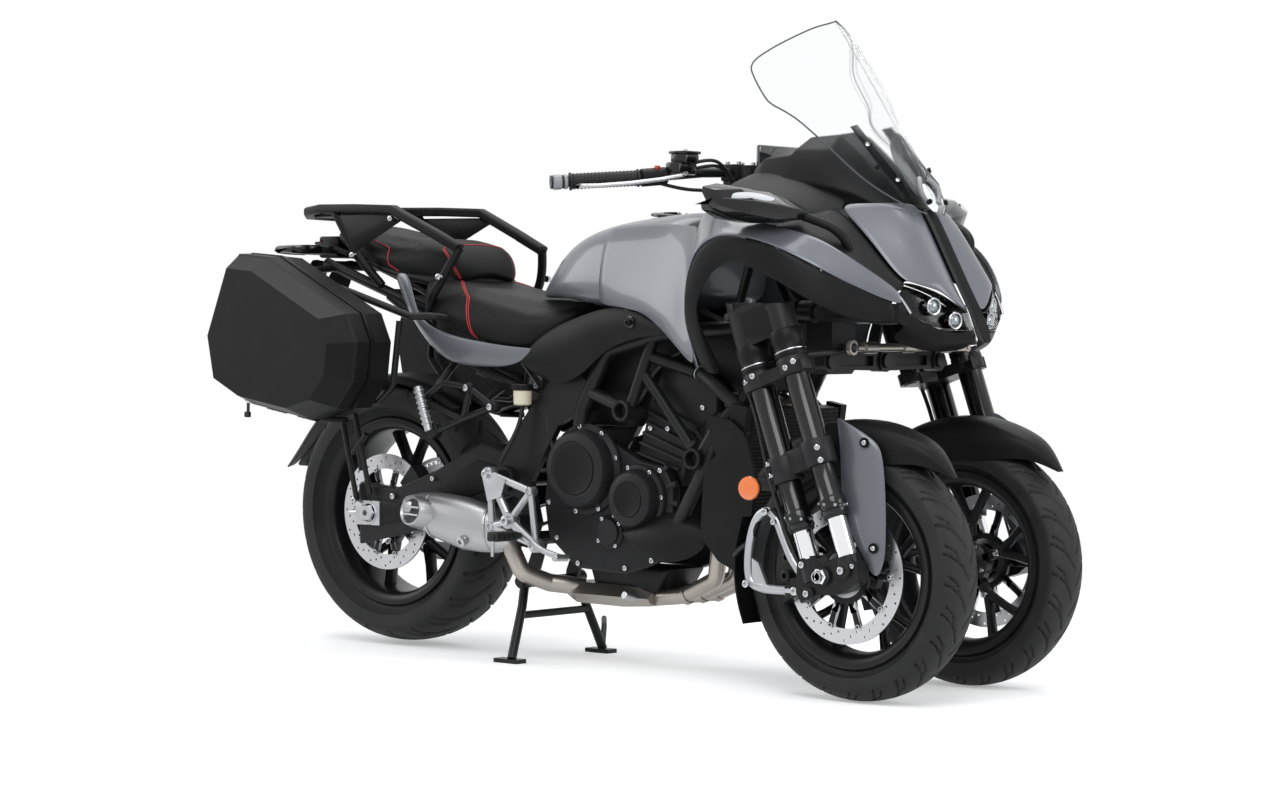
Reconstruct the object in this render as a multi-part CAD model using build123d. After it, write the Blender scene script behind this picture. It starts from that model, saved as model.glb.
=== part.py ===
from build123d import *
import math
import os

os.makedirs("parts", exist_ok=True)

# ---------------------------------------------------------------- overall layout
# X runs forward from the front axle line, Y to the rider's left, Z up from the floor.
# Each finished piece is shifted by ORIGIN_X, so the origin lies under the middle of the length.
WHEELBASE = 1510.0
FRONT_TRACK = 410.0
CASTER_DEG = 20.0
TRAIL = 74.0
REAR_LIFT = 8.0            # rear tyre off the floor while the centre stand carries the rear
ORIGIN_X = 822.0

FRONT_TYRE_R = 274.5
FRONT_TYRE_W = 120.0
FRONT_RIM_R = 190.5
FRONT_RIM_W = 88.0
REAR_TYRE_R = 320.5
REAR_TYRE_W = 190.0
REAR_RIM_R = 216.0
REAR_RIM_W = 140.0
FRONT_DISC_R = 149.0
REAR_DISC_R = 141.0
DISC_T = 4.5
FRONT_DISC_Y = 61.0        # disc plane outboard of the wheel's middle
REAR_DISC_Y = 92.0
FRONT_AXLE_R = 14.0
FRONT_AXLE_BORE = 9.0
REAR_AXLE_R = 13.0
REAR_AXLE_BORE = 8.0
HUB_R = 34.0
RUN = 0.06                 # radial running clearance of shafts and pins

HALF = FRONT_TRACK / 2
TAN = math.tan(math.radians(CASTER_DEG))
SIN = math.sin(math.radians(CASTER_DEG))
COS = math.cos(math.radians(CASTER_DEG))
FRONT_Z = FRONT_TYRE_R
REAR_Z = REAR_TYRE_R + REAR_LIFT

# ---------------------------------------------------------------- tilting front end
ARM_UP_Z = 827.0
ARM_LOW_Z = 722.0
ARM_UP_X = (-168.0, -132.0)
ARM_LOW_X = (-126.0, -90.0)
ARM_PIN_R = 11.0
ARM_BOSS_R = 24.5
ARM_H = 44.0
STEM_R = 15.0
HEAD_TUBE_R = 28.0
HEAD_TUBE_Z = (706.0, 806.0)
LEG_OUT = 122.0            # fork legs outboard of the wheel's middle
LEG_Y = HALF + LEG_OUT
CROWN_LOW_Z = 678.0
CROWN_TOP_Z = 826.0
FORK_TOP_Z = 846.0           # flat top of the fork cover, crown and outer tubes
LEG_FRONT_X600 = -55.0     # front leg centre at a height of 600
LEG_REAR_X600 = -155.0
OUTER_TUBE_R = 27.0
OUTER_LOW_R = 24.5
FRONT_STANCHION_R = 20.5
REAR_STANCHION_R = 21.5
TIE_X = -34.0
TIE_Z = 752.0
TIE_PIN_R = 5.0
TIE_ROD_R = 9.0
TIE_BALL_R = 10.0
TIE_BALL_GAP = 0.5         # the opened ball joint at the right-hand end
TIE_STUD = 23.0            # ball centre to the face of its boss
TIE_BOSS_R = 9.0

# ---------------------------------------------------------------- frame and rear end
SPROCKET_Y = 106.0
FRAME_Y = 150.0
TUBE_R = 18.0
R1 = (-686.0, 599.0)
R2 = (-479.0, 498.0)
PIVOT = (-1060.0, 430.0)       # swingarm pivot
HOSE_R = 4.5
FRONT_SPROCKET = (-915.0, 428.0)
END_TUBE_R = 22.0          # open cross tubes that carry the engine
END_TUBE_BORE = 18.5
PIVOT_PIN_R = 12.0
BOBBIN_AHEAD = 70.0        # stand bobbins, forward of the rear axle
BOBBIN_Z = 330.0
BOBBIN_R = 11.0
BOBBIN_THREAD_R = 3.4
CARRIER_HOLE_R = 4.5
BAR_R = 11.0
GRIP_R = 17.0

# ---------------------------------------------------------------- bodywork
PANEL_T = 3.0
CASE_T = 3.5
CASE_Y = (258.0, 330.0, 440.0)   # inner face, lid seam, outer face
LID_GAP = 1.0
HINGE_R = 5.0
STAND_PIVOT = (-1055.0, 186.0)
STAND_FOOT_X = -1032.0
STAND_FOOT_Y = 165.0
SIDE_STAND_PIVOT = (-900.0, 146.0, 205.0)


# ---------------------------------------------------------------- helpers
def rod(a, b, r, bore=0.0):
    a, b = Vector(*a), Vector(*b)
    low = (Align.CENTER, Align.CENTER, Align.MIN)
    solid = Cylinder(r, (b - a).length, align=low)
    if bore:
        solid -= Cylinder(bore, (b - a).length, align=low)
    return Plane(origin=a, z_dir=b - a) * solid


def ball(c, r):
    return Pos(*c) * Sphere(r)


def pipe(points, r, bend=30.0, bore=0.0):
    path = FilletPolyline(*points, radius=bend) if len(points) > 2 else Line(*points)
    ring = Circle(r) - Circle(bore) if bore else Circle(r)
    return sweep(Plane(origin=path @ 0, z_dir=path % 0) * ring, path=path)


def block(x, y, z):
    return Pos((x[0] + x[1]) / 2, (y[0] + y[1]) / 2, (z[0] + z[1]) / 2) * Box(
        abs(x[1] - x[0]), abs(y[1] - y[0]), abs(z[1] - z[0]))


def slab(outline, y0, y1):
    """Plate with a side-view outline of (x, z) points between two Y planes."""
    face = make_face(Polyline(*[(x, y0, z) for x, z in outline], close=True))
    return extrude(face, amount=y1 - y0, dir=(0, 1, 0))


def ring_y(profile, centre):
    """Ring turned about a Y axis from (radius, y) points."""
    face = make_face(Polyline(*[(r, y, 0) for r, y in profile], close=True))
    return Pos(*centre) * revolve(face, axis=Axis.Y)


def stations(sections, ruled=False, axis="x"):
    """Loft through polygons of (u, v) points that stand at stations along one axis."""
    faces = []
    for at, pts in sections:
        if axis == "x":
            pts3 = [(at, u, v) for u, v in pts]
        elif axis == "z":
            pts3 = [(u, v, at) for u, v in pts]
        else:
            pts3 = [(u, at, v) for u, v in pts]
        faces.append(make_face(Polyline(*pts3, close=True)))
    return loft(faces, ruled=ruled)


def skin(sections, t, axis="x", ruled=True):
    """Thin panel: an open line of (u, v) points at each station, thickened inwards by t."""
    closed = []
    for at, line in sections:
        inner = []
        n = len(line)
        for i, (u, v) in enumerate(line):
            a, b = line[max(i - 1, 0)], line[min(i + 1, n - 1)]
            du, dv = b[0] - a[0], b[1] - a[1]
            length = math.hypot(du, dv)
            inner.append((u - dv / length * t, v + du / length * t))
        closed.append((at, list(line) + inner[::-1]))
    return stations(closed, ruled=ruled, axis=axis)


def mir(shape):
    return mirror(shape, about=Plane.XZ)


def fuse(*shapes):
    return Part() + list(shapes)


def both(*shapes):
    one = fuse(*shapes)
    return fuse(one, mir(one))


def axis_x(z):
    """X of a steering axis at height z."""
    return TRAIL - z * TAN


def leg_x(x600, z):
    return x600 + (600.0 - z) * TAN


made = {}


def save(name, shape):
    shape = Pos(ORIGIN_X, 0, 0) * shape
    made[name] = shape
    export_step(shape, f"parts/{name}.step")


# ---------------------------------------------------------------- wheels
def tyre(radius, width, rim_r, rim_w, centre):
    h = width / 2
    bead = rim_w / 2 - 7
    tall = radius - rim_r
    foot = rim_r + 18
    wall = 9.0
    wide = rim_r + tall * 0.48
    shoulder = (radius - tall * 0.30, h * 0.95)
    in_r = radius - wall - 4
    in_h = h - wall - 2
    edges = [
        ThreePointArc((foot, bead + 1, 0), (wide, h - 1.5, 0), (*shoulder, 0)),
        ThreePointArc((*shoulder, 0), (radius, 0, 0), (shoulder[0], -shoulder[1], 0)),
        ThreePointArc((shoulder[0], -shoulder[1], 0), (wide, -h + 1.5, 0), (foot, -bead - 1, 0)),
        Line((foot, -bead - 1, 0), (rim_r + 1, -bead, 0)),
        Line((rim_r + 1, -bead, 0), (rim_r + 1, -bead + wall, 0)),
        Line((rim_r + 1, -bead + wall, 0), (wide, -in_h, 0)),
        ThreePointArc((wide, -in_h, 0), (in_r, 0, 0), (wide, in_h, 0)),
        Line((wide, in_h, 0), (rim_r + 1, bead - wall, 0)),
        Line((rim_r + 1, bead - wall, 0), (rim_r + 1, bead, 0)),
        Line((rim_r + 1, bead, 0), (foot, bead + 1, 0))]
    return Pos(*centre) * revolve(make_face(edges), axis=Axis.Y)


def rim(rim_r, rim_w, centre, hub_r, bore_r, hub_y, spoke_y, spokes=5, split=15.0, branch=78.0, side=1):
    w = rim_w / 2
    lip = rim_r + 14
    barrel = ring_y([
        (rim_r - 6, -w + 6), (lip - 2, -w + 4), (lip, -w), (lip - 2, -w - 6), (rim_r - 12, -w - 4),
        (rim_r - 24, -w * 0.5), (rim_r - 26, w * 0.5), (rim_r - 12, w + 4), (lip - 2, w + 6),
        (lip, w), (lip - 2, w - 4), (rim_r - 6, w - 6), (rim_r, w - 8), (rim_r, w - 18),
        (rim_r - 16, w * 0.45),
        (rim_r - 16, -w * 0.45), (rim_r, -w + 18), (rim_r, -w + 8)], (0, 0, 0))
    hub = rod((0, hub_y[0], 0), (0, hub_y[1], 0), hub_r)
    web = rod((0, spoke_y[0], 0), (0, spoke_y[1], 0), hub_r + 16)
    arms = []
    y0, y1 = spoke_y
    r_in, r_out = hub_r + 4, rim_r - 20
    for i in range(spokes):
        base = 360.0 / spokes * i + 90
        for sgn in (-1, 1):
            a = math.radians(base)
            b = math.radians(base + sgn * split)
            p0 = (r_in * math.cos(a), r_in * math.sin(a))
            p1 = (branch * math.cos(a), branch * math.sin(a))
            p2 = (r_out * math.cos(b), r_out * math.sin(b))
            n0 = (-math.sin(a), math.cos(a))
            k0, k1, k2 = 13.0, 15.0, 9.0
            d = (p2[0] - p1[0], p2[1] - p1[1])
            dl = math.hypot(*d)
            n2 = (-d[1] / dl, d[0] / dl)
            stem = [(p0[0] + n0[0] * k0, p0[1] + n0[1] * k0), (p1[0] + n0[0] * k1, p1[1] + n0[1] * k1),
                    (p1[0] - n0[0] * k1, p1[1] - n0[1] * k1), (p0[0] - n0[0] * k0, p0[1] - n0[1] * k0)]
            fork_arm = [(p1[0] + n2[0] * 10, p1[1] + n2[1] * 10), (p2[0] + n2[0] * k2, p2[1] + n2[1] * k2),
                        (p2[0] - n2[0] * k2, p2[1] - n2[1] * k2), (p1[0] - n2[0] * 10, p1[1] - n2[1] * 10)]
            if sgn < 0:
                arms.append(slab(stem, y0, y1))
                arms.append(rod((p1[0], y0, p1[1]), (p1[0], y1, p1[1]), 16))
            arms.append(slab(fork_arm, y0 + 3, y1 - 3))
    body = fuse(barrel, hub, web, *arms)
    body -= rod((0, hub_y[0] - 1, 0), (0, hub_y[1] + 1, 0), bore_r)
    return Pos(*centre) * body


def disc(radius, ring_w, centre, y, carrier_r, bore_r, holes):
    face = Circle(radius) - Circle(radius - ring_w)
    marks = []
    for i in range(holes):
        for k in range(3):
            a = math.radians(360.0 / holes * (i + k / 3.0))
            rr = radius - ring_w * (0.25 + 0.25 * k)
            marks.append(Pos(rr * math.cos(a), rr * math.sin(a)) * Circle(2.6))
    face -= marks
    inner_r = radius - ring_w
    spider = Circle(carrier_r) - Circle(bore_r)
    arms = []
    for i in range(10):
        a = 36.0 * i
        arms.append(Rot(0, 0, a) * (Pos((carrier_r + inner_r) / 2, 0) * Rectangle(inner_r - carrier_r + 8,
            15)))
        arms.append(Rot(0, 0, a) * (Pos(inner_r, 0) * Circle(9)))
    ring = extrude(face, amount=DISC_T / 2, both=True)
    carrier = extrude(spider + arms, amount=DISC_T / 2 + 1.5, both=True)
    return Pos(centre[0], centre[1] + y, centre[2]) * (Rot(90, 0, 0) * (ring + carrier))


FL = (0.0, HALF, FRONT_Z)
RR = (-WHEELBASE, 0.0, REAR_Z)

front_tyre = tyre(FRONT_TYRE_R, FRONT_TYRE_W, FRONT_RIM_R, FRONT_RIM_W, FL)
save("left_front_tyre", front_tyre)
save("right_front_tyre", mir(front_tyre))
front_rim = rim(FRONT_RIM_R, FRONT_RIM_W, FL, HUB_R, FRONT_AXLE_R + RUN, (-38, 50), (-14, 14))
save("left_front_rim", front_rim)
save("right_front_rim", mir(front_rim))
front_disc = disc(FRONT_DISC_R, 34, FL, FRONT_DISC_Y, 62, HUB_R + 0.1 + 6, 16)
front_disc += Pos(*FL) * rod((0, 50, 0), (0, FRONT_DISC_Y + 5, 0), 50, HUB_R + 6)
save("left_front_disc", front_disc)
save("right_front_disc", mir(front_disc))

save("rear_tyre", tyre(REAR_TYRE_R, REAR_TYRE_W, REAR_RIM_R, REAR_RIM_W, RR))
save("rear_rim", rim(REAR_RIM_R, REAR_RIM_W, RR, 38, REAR_AXLE_R + RUN, (-84, 84), (-20, 20), branch=95.0))
rear_disc = disc(REAR_DISC_R, 36, RR, -REAR_DISC_Y, 58, 42, 16)
rear_disc += Pos(*RR) * rod((0, -84.2, 0), (0, -REAR_DISC_Y - 4, 0), 46, REAR_AXLE_R + 4)
save("rear_disc", rear_disc)
teeth = [Rot(0, 0, 360.0 / 45 * i) * (Pos(112, 0) * Rectangle(10, 6)) for i in range(45)]
sprocket = extrude(Circle(110) - Circle(84) + teeth, amount=3.5, both=True)
sprocket += extrude(Circle(60) - Circle(42), amount=3.5, both=True)
sprocket += [Rot(0, 0, 60 * i) * (Pos(72, 0, 0) * Box(34, 16, 7)) for i in range(6)]
sprocket = Pos(RR[0], SPROCKET_Y, RR[2]) * (Rot(90, 0, 0) * sprocket)
sprocket += Pos(*RR) * rod((0, 84.2, 0), (0, SPROCKET_Y + 4, 0), 46, REAR_AXLE_R + 4)
save("rear_sprocket", sprocket)


# ---------------------------------------------------------------- steering forks (left side, mirrored)
def along(z, y=HALF, dx=0.0):
    return (axis_x(z) + dx, y, z)


stem = rod(along(CROWN_LOW_Z - 14), along(CROWN_TOP_Z + 12), STEM_R)


def leg_point(x600, z):
    return (leg_x(x600, z), LEG_Y, z)


def tilted_plate(outline, z_axis, t):
    """Plate square to the steering axis; outline in (forward, left) from the axis at height z_axis."""
    plane = Plane(origin=along(z_axis), x_dir=(COS, 0, SIN), z_dir=(-SIN, 0, COS))
    return plane * extrude(make_face(Polyline(*outline, close=True)), amount=t / 2, both=True)


DX_F = (LEG_FRONT_X600 - axis_x(600)) * COS
DX_R = (LEG_REAR_X600 - axis_x(600)) * COS
DY = LEG_Y - HALF


def crown(z_axis, t, grow):
    o = [(-22, 0), (8, 0), (8, 40), (26, DY - 44), (DX_F + grow, DY - grow), (DX_F + grow, DY + grow * 0.8),
         (DX_F + grow * 0.5, DY + grow), (DX_R - grow * 0.5, DY + grow), (DX_R - grow, DY + grow * 0.8),
         (DX_R - grow, DY - grow), (-22, DY - 52)]
    return tilted_plate(o, z_axis, t) + rod(
        along(z_axis - t / 2 * COS), along(z_axis + t / 2 * COS), 23)


lower_crown = crown(CROWN_LOW_Z, 26, 31)
upper_crown = crown(CROWN_TOP_Z, 14, 31)
leg_f = rod(leg_point(LEG_FRONT_X600, 540), leg_point(LEG_FRONT_X600, 838), OUTER_TUBE_R)
leg_r = rod(leg_point(LEG_REAR_X600, 500), leg_point(LEG_REAR_X600, 826), OUTER_TUBE_R)
low_f = rod(leg_point(LEG_FRONT_X600, 412), leg_point(LEG_FRONT_X600, 541), OUTER_LOW_R)
low_r = rod(leg_point(LEG_REAR_X600, 378), leg_point(LEG_REAR_X600, 501), OUTER_LOW_R)
clamp_f = rod(leg_point(LEG_FRONT_X600, 700), leg_point(LEG_FRONT_X600, 774), OUTER_TUBE_R + 6)
clamp_r = rod(leg_point(LEG_REAR_X600, 664), leg_point(LEG_REAR_X600, 736), OUTER_TUBE_R + 6)
mid_f = rod(leg_point(LEG_FRONT_X600, 508), leg_point(LEG_FRONT_X600, 556), OUTER_TUBE_R + 6)
mid_r = rod(leg_point(LEG_REAR_X600, 468), leg_point(LEG_REAR_X600, 516), OUTER_TUBE_R + 6)
mid_web = slab([(-140, 470), (-20, 515), (-38, 550), (-150, 508)], LEG_Y - 16, LEG_Y + 16)
fork_cover = fuse(
    rod(leg_point(LEG_FRONT_X600, 770), leg_point(LEG_FRONT_X600, 842), OUTER_TUBE_R + 6),
    rod(leg_point(LEG_REAR_X600, 730), leg_point(LEG_REAR_X600, 826), OUTER_TUBE_R + 6),
    slab([(-226, 742), (-118, 782), (-140, 838), (-240, 820)], LEG_Y - 28, LEG_Y + 28),
    rod((-248.2, LEG_Y - 10.1, 743), (-250.6, LEG_Y - 10.8, 754), 6.5),
    rod((-250, LEG_Y - 10.6, 751), (-222, LEG_Y - 5, 756), 6))
TIE = Vector(TIE_X, HALF, TIE_Z)
UP = Vector(-SIN, 0, COS)
arm_beam = rod((-84, LEG_Y - 24, 738), (TIE_X, HALF + 5, 727), 8)
left_steer_arm = fuse(arm_beam, rod(TIE - UP * 33, TIE - UP * 20, 9), rod(TIE - UP * 30, TIE + UP * 14, 6))
right_steer_arm = fuse(
    rod((-84, LEG_Y - 24, 738), (TIE_X - TIE_STUD - 9, HALF + 5, 744), 8),
    rod((TIE_X - TIE_STUD - 9, HALF, TIE_Z), (TIE_X - TIE_STUD, HALF, TIE_Z), TIE_BOSS_R),
    rod((TIE_X - TIE_STUD - 3, HALF, TIE_Z), (TIE_X, HALF, TIE_Z), TIE_PIN_R),
    ball((TIE_X, HALF, TIE_Z), TIE_BALL_R))
fork_common = [stem, lower_crown, upper_crown, leg_f, leg_r, low_f, low_r, clamp_f, clamp_r, mid_f, mid_r,
               mid_web, fork_cover]
fork_top = block((-300, -60), (HALF + 30, LEG_Y + 60), (FORK_TOP_Z, FORK_TOP_Z + 60))
save("left_fork", fuse(*fork_common, left_steer_arm) - fork_top)
save("right_fork", mir(fuse(*fork_common, right_steer_arm) - fork_top))

st_f = rod(leg_point(LEG_FRONT_X600, 318), leg_point(LEG_FRONT_X600, 411.8), FRONT_STANCHION_R)
st_r = rod(leg_point(LEG_REAR_X600, 306), leg_point(LEG_REAR_X600, 377.8), REAR_STANCHION_R)
save("left_stanchions", fuse(st_f, st_r))
save("right_stanchions", mir(fuse(st_f, st_r)))

lug = slab([(-70, 300), (-56, 312), (-30, 316), (-2, 300), (22, 312), (66, 318), (86, 300), (90, 270),
            (60, 246),
            (26, 236), (-30, 232), (-58, 214), (-72, 236)], LEG_Y - 22, LEG_Y + 18)
lug -= rod(leg_point(LEG_FRONT_X600, 305), leg_point(LEG_FRONT_X600, 420), FRONT_STANCHION_R + 0.2)
lug -= rod(leg_point(LEG_REAR_X600, 296), leg_point(LEG_REAR_X600, 420), REAR_STANCHION_R + 0.2)
cup_f = rod(leg_point(LEG_FRONT_X600, 290), leg_point(LEG_FRONT_X600, 318), FRONT_STANCHION_R + 5)
cup_r = rod(leg_point(LEG_REAR_X600, 262), leg_point(LEG_REAR_X600, 306), REAR_STANCHION_R + 5)
axle = rod((0, HALF - 44, FRONT_Z), (0, LEG_Y + 26, FRONT_Z), FRONT_AXLE_R)
axle += rod((0, LEG_Y - 44, FRONT_Z), (0, LEG_Y + 16, FRONT_Z), 24)
axle += rod((0, HALF - 52, FRONT_Z), (0, HALF - 39, FRONT_Z), 21)
axle += rod((0, LEG_Y + 16, FRONT_Z), (0, LEG_Y + 26, FRONT_Z), 20)
axle -= rod((0, HALF - 60, FRONT_Z), (0, LEG_Y + 40, FRONT_Z), FRONT_AXLE_BORE)
lug = fuse(lug, cup_f, cup_r, axle)
lug -= rod((0, HALF - 60, FRONT_Z), (0, LEG_Y + 40, FRONT_Z), FRONT_AXLE_BORE)
DISC_Y = HALF + FRONT_DISC_Y


def disc_sector(centre, r0, r1, deg, y0, y1):
    """Block that follows a disc: an annulus sector between two angles and two Y planes."""
    n = 8
    arc = [math.radians(deg[0] + (deg[1] - deg[0]) * i / n) for i in range(n + 1)]
    pts = [(centre[0] + r1 * math.cos(a), centre[1] + r1 * math.sin(a)) for a in arc]
    pts += [(centre[0] + r0 * math.cos(a), centre[1] + r0 * math.sin(a)) for a in reversed(arc)]
    return slab(pts, y0, y1)


WHEEL_XZ = (0.0, FRONT_Z)
caliper_out = disc_sector(WHEEL_XZ, 96, 160, (158, 206), DISC_Y + 7, DISC_Y + 32)
caliper_in = disc_sector(WHEEL_XZ, 100, 160, (158, 206), DISC_Y - 25, DISC_Y - 7)
caliper_top = disc_sector(WHEEL_XZ, 151.5, 160, (158, 206), DISC_Y - 25, DISC_Y + 32)
stay = fuse(
    pipe([(-92, 309, 232), (-200, 309, 236), (-226, 309, 252), (-224, 309, 330), (-196, 309, 398),
          (-158, 309, 402), (-98, 309, 282), (-70, 309, 262)], 8.5, bend=12),
    rod((-112, 295, 236), (-112, 318, 236), 12), rod((-70, 300, 262), (-70, 318, 262), 12))
left_caliper = fuse(caliper_out, caliper_in, caliper_top)
link = slab([(-110, 262), (-60, 268), (-56, 244), (-104, 226)], LEG_Y - 31, LEG_Y - 10)
banjo = rod((-108, 284.2, 303), (-120.6, 291.8, 336), 7)
lug = fuse(lug, link, left_caliper, stay, banjo)

# front brake hoses, held along the rear fork leg
HOSE = [(x, LEG_Y + dy, z) for x, dy, z in (
    (-121, -35, 337), (-136, -26, 376), (-147, -14, 420), (-159, -5, 466), (-172, -1, 514), (-184, 0, 562),
    (-200, -1, 610), (-220, -3, 656), (-238, -7, 700), (-248, -10, 742))]


def hose(points, r):
    pts = [Vector(*p) for p in points]
    radii = []
    for i in range(1, len(pts) - 1):
        a, b = pts[i] - pts[i - 1], pts[i + 1] - pts[i]
        turn = math.radians(a.get_angle(b))
        radii.append(0.45 * min(a.length, b.length) / math.tan(turn / 2))
    path = FilletPolyline(*pts, radius=radii)
    return sweep(Plane(origin=path @ 0, z_dir=path % 0) * Circle(r), path=path)


hose_left = hose(HOSE, HOSE_R)
lug -= hose_left
save("left_axle_bracket", lug)
save("right_axle_bracket", mir(lug))
save("left_brake_hose", hose_left)
save("right_brake_hose", mir(hose_left))

# tie rod: a cross joint on the left steering arm, an open eye round the ball on the right one
swivel = fuse(rod(TIE - UP * 9, TIE + UP * 9, 12),
              rod((TIE_X - 23, HALF, TIE_Z), (TIE_X + 23, HALF, TIE_Z), TIE_PIN_R))
swivel -= rod(TIE - UP * 20, TIE + UP * 20, 6 + RUN)
save("tie_rod_swivel", swivel)
ear = fuse(rod((TIE_X + 14.5, HALF, TIE_Z), (TIE_X + 21, HALF, TIE_Z), 10),
           block((TIE_X + 14.5, TIE_X + 21), (HALF - 44, HALF), (TIE_Z - 8, TIE_Z + 8)),
           rod((TIE_X - 14.5, HALF, TIE_Z), (TIE_X - 21, HALF, TIE_Z), 10),
           block((TIE_X - 21, TIE_X - 14.5), (HALF - 44, HALF), (TIE_Z - 8, TIE_Z + 8)),
           block((TIE_X - 21, TIE_X + 21), (HALF - 44, HALF - 34), (TIE_Z - 8, TIE_Z + 8)))
eye = rod((TIE_X - 5, -HALF, TIE_Z), (TIE_X + 5, -HALF, TIE_Z), 16)
tie = fuse(ear, eye, rod((TIE_X, HALF - 40, TIE_Z), (TIE_X, -HALF + 12, TIE_Z), TIE_ROD_R),
           rod((TIE_X, HALF - 44, TIE_Z), (TIE_X, HALF - 84, TIE_Z), 13),
           rod((TIE_X, -HALF + 84, TIE_Z), (TIE_X, -HALF + 40, TIE_Z), 13),
           rod((TIE_X, 22, TIE_Z), (TIE_X, -22, TIE_Z), 12))
tie -= rod((TIE_X - 30, HALF, TIE_Z), (TIE_X + 30, HALF, TIE_Z), TIE_PIN_R + RUN)
tie -= rod((TIE_X - 30, -HALF, TIE_Z), (TIE_X + 30, -HALF, TIE_Z), TIE_BALL_R + TIE_BALL_GAP)
save("tie_rod", tie)


# ---------------------------------------------------------------- tilting arms and knuckles
def tilt_arm(x, z):
    bosses = [rod((x[0], y, z), (x[1], y, z), ARM_BOSS_R) for y in (-HALF, 0, HALF)]
    h = ARM_H / 2
    web = Plane.YZ * make_face(Polyline((-HALF, -h * 0.8), (0, -h), (HALF, -h * 0.8), (HALF, h * 0.8),
                                        (0, h),
                                        (-HALF, h * 0.8), close=True))
    pocket = Plane.YZ * (Pos(HALF / 2, 0) * Rectangle(HALF - 86, ARM_H * 0.5)
                         + Pos(-HALF / 2, 0) * Rectangle(HALF - 86, ARM_H * 0.5))
    beam = Pos(x[0] + 4, 0, z) * extrude(web, amount=x[1] - x[0] - 8)
    beam -= Pos(x[1] - 14, 0, z) * extrude(pocket, amount=20)
    arm = fuse(beam, *bosses)
    for y in (-HALF, 0, HALF):
        arm -= rod((x[0] - 1, y, z), (x[1] + 1, y, z), ARM_PIN_R + RUN)
    return arm


save("upper_tilt_arm", tilt_arm(ARM_UP_X, ARM_UP_Z))
save("lower_tilt_arm", tilt_arm(ARM_LOW_X, ARM_LOW_Z))


def pivot_pin(y, x0, x_arm, z):
    return fuse(rod((x0, y, z), (x_arm[1] + 6, y, z), ARM_PIN_R),
                rod((x_arm[1] + 0.6, y, z), (x_arm[1] + 7, y, z), ARM_PIN_R + 5))


knuckle = fuse(
    rod(along(HEAD_TUBE_Z[0]), along(HEAD_TUBE_Z[1]), HEAD_TUBE_R),
    slab([(-205, 758), (-171, 762), (-171, 850), (-195, 850), (-196, 802)], HALF - 21, HALF + 21),
    slab([(-178, 708), (-129, 706), (-129, 741), (-190, 748)], HALF - 21, HALF + 21),
    pivot_pin(HALF, -190, ARM_UP_X, ARM_UP_Z), pivot_pin(HALF, -150, ARM_LOW_X, ARM_LOW_Z))
knuckle -= rod(along(600), along(900), STEM_R + RUN)
save("left_knuckle", knuckle)
save("right_knuckle", mir(knuckle))


# ---------------------------------------------------------------- front mudguards
def fender_shape():
    half_w = FRONT_TYRE_W / 2 + 8
    r_in = FRONT_TYRE_R + 16
    t = 3.0
    secs = []
    for deg, w, rise in ((152, 22, 30), (145, 36, 17), (138, 48, 9), (129, 60, 4), (120, half_w, 2),
                         (108, half_w, 2),
                         (96, half_w, 4), (84, half_w, 8), (72, half_w - 1, 13), (60, half_w - 6, 19),
                         (52, 50, 21),
                         (45, 32, 20), (38, 12, 18)):
        a = math.radians(deg)
        rr = r_in + rise
        pts = []
        for k in range(9):
            u = -1 + k / 4.0
            drop = 52 * (w / half_w) ** 2 * abs(u) ** 2.6
            pts.append((u * w, rr - drop))
        inner = [(y, r - t) for y, r in pts]
        ring = [(y, r) for y, r in pts] + inner[::-1]
        secs.append(make_face(Polyline(*[(r * math.cos(a), HALF + y, FRONT_Z + r * math.sin(a)) for y,
                                         r in ring],
                                       close=True)))
    return loft(secs, ruled=True)


fender = fender_shape()
guard = slab([(-13, 601), (20, 592), (83, 562), (101, 542), (110, 440), (117, 320), (100, 274), (66, 320),
              (40, 382), (14, 440), (0, 520)], HALF + 84, HALF + 88)
guard_fin = slab([(-13, 601), (20, 592), (83, 562), (101, 542), (60, 530), (0, 545)], HALF + 64, HALF + 86)
flap_inner = FRONT_TYRE_R + 15
rear_flap = fuse(disc_sector(WHEEL_XZ, flap_inner, flap_inner + 4, (160, 204), HALF - 40, HALF + 78),
                 disc_sector(WHEEL_XZ, FRONT_TYRE_R - 30, flap_inner + 4, (160, 204), HALF + 74, HALF + 78))
save("left_mudguard", fuse(fender, guard, guard_fin, rear_flap))
save("right_mudguard", mir(fuse(fender, guard, guard_fin, rear_flap)))


# ---------------------------------------------------------------- main frame
tubes = [
    pipe([(-840, FRAME_Y, 560), (-834, FRAME_Y, 600), (-760, FRAME_Y, 735), (-600, FRAME_Y, 775),
          (-450, 120, 788), (-300, 40, 800)], TUBE_R, bend=45),
    rod((-815, FRAME_Y, 640), (R1[0], FRAME_Y + 15, R1[1]), TUBE_R - 3),
    rod((-625, FRAME_Y, 765), (R1[0] + 8, FRAME_Y + 15, R1[1] + 10), TUBE_R - 4),
    rod((-655, FRAME_Y + 3, 690), (-505, FRAME_Y + 15, 530), TUBE_R - 5),
    rod((-640, FRAME_Y, 725), (-520, 130, 690), TUBE_R - 4),
    rod((R1[0], FRAME_Y - 20, R1[1]), (R1[0], FRAME_Y + 42, R1[1]), END_TUBE_R),
    rod((R2[0], FRAME_Y - 20, R2[1]), (R2[0], FRAME_Y + 42, R2[1]), END_TUBE_R),
    pipe([(R2[0], FRAME_Y + 10, R2[1]), (-440, FRAME_Y + 5, 560), (-375, 110, 650), (-300, 45, 700)],
         TUBE_R, bend=40),
    rod((-400, 128, 618), (-330, 60, 780), TUBE_R - 6),
]
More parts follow.
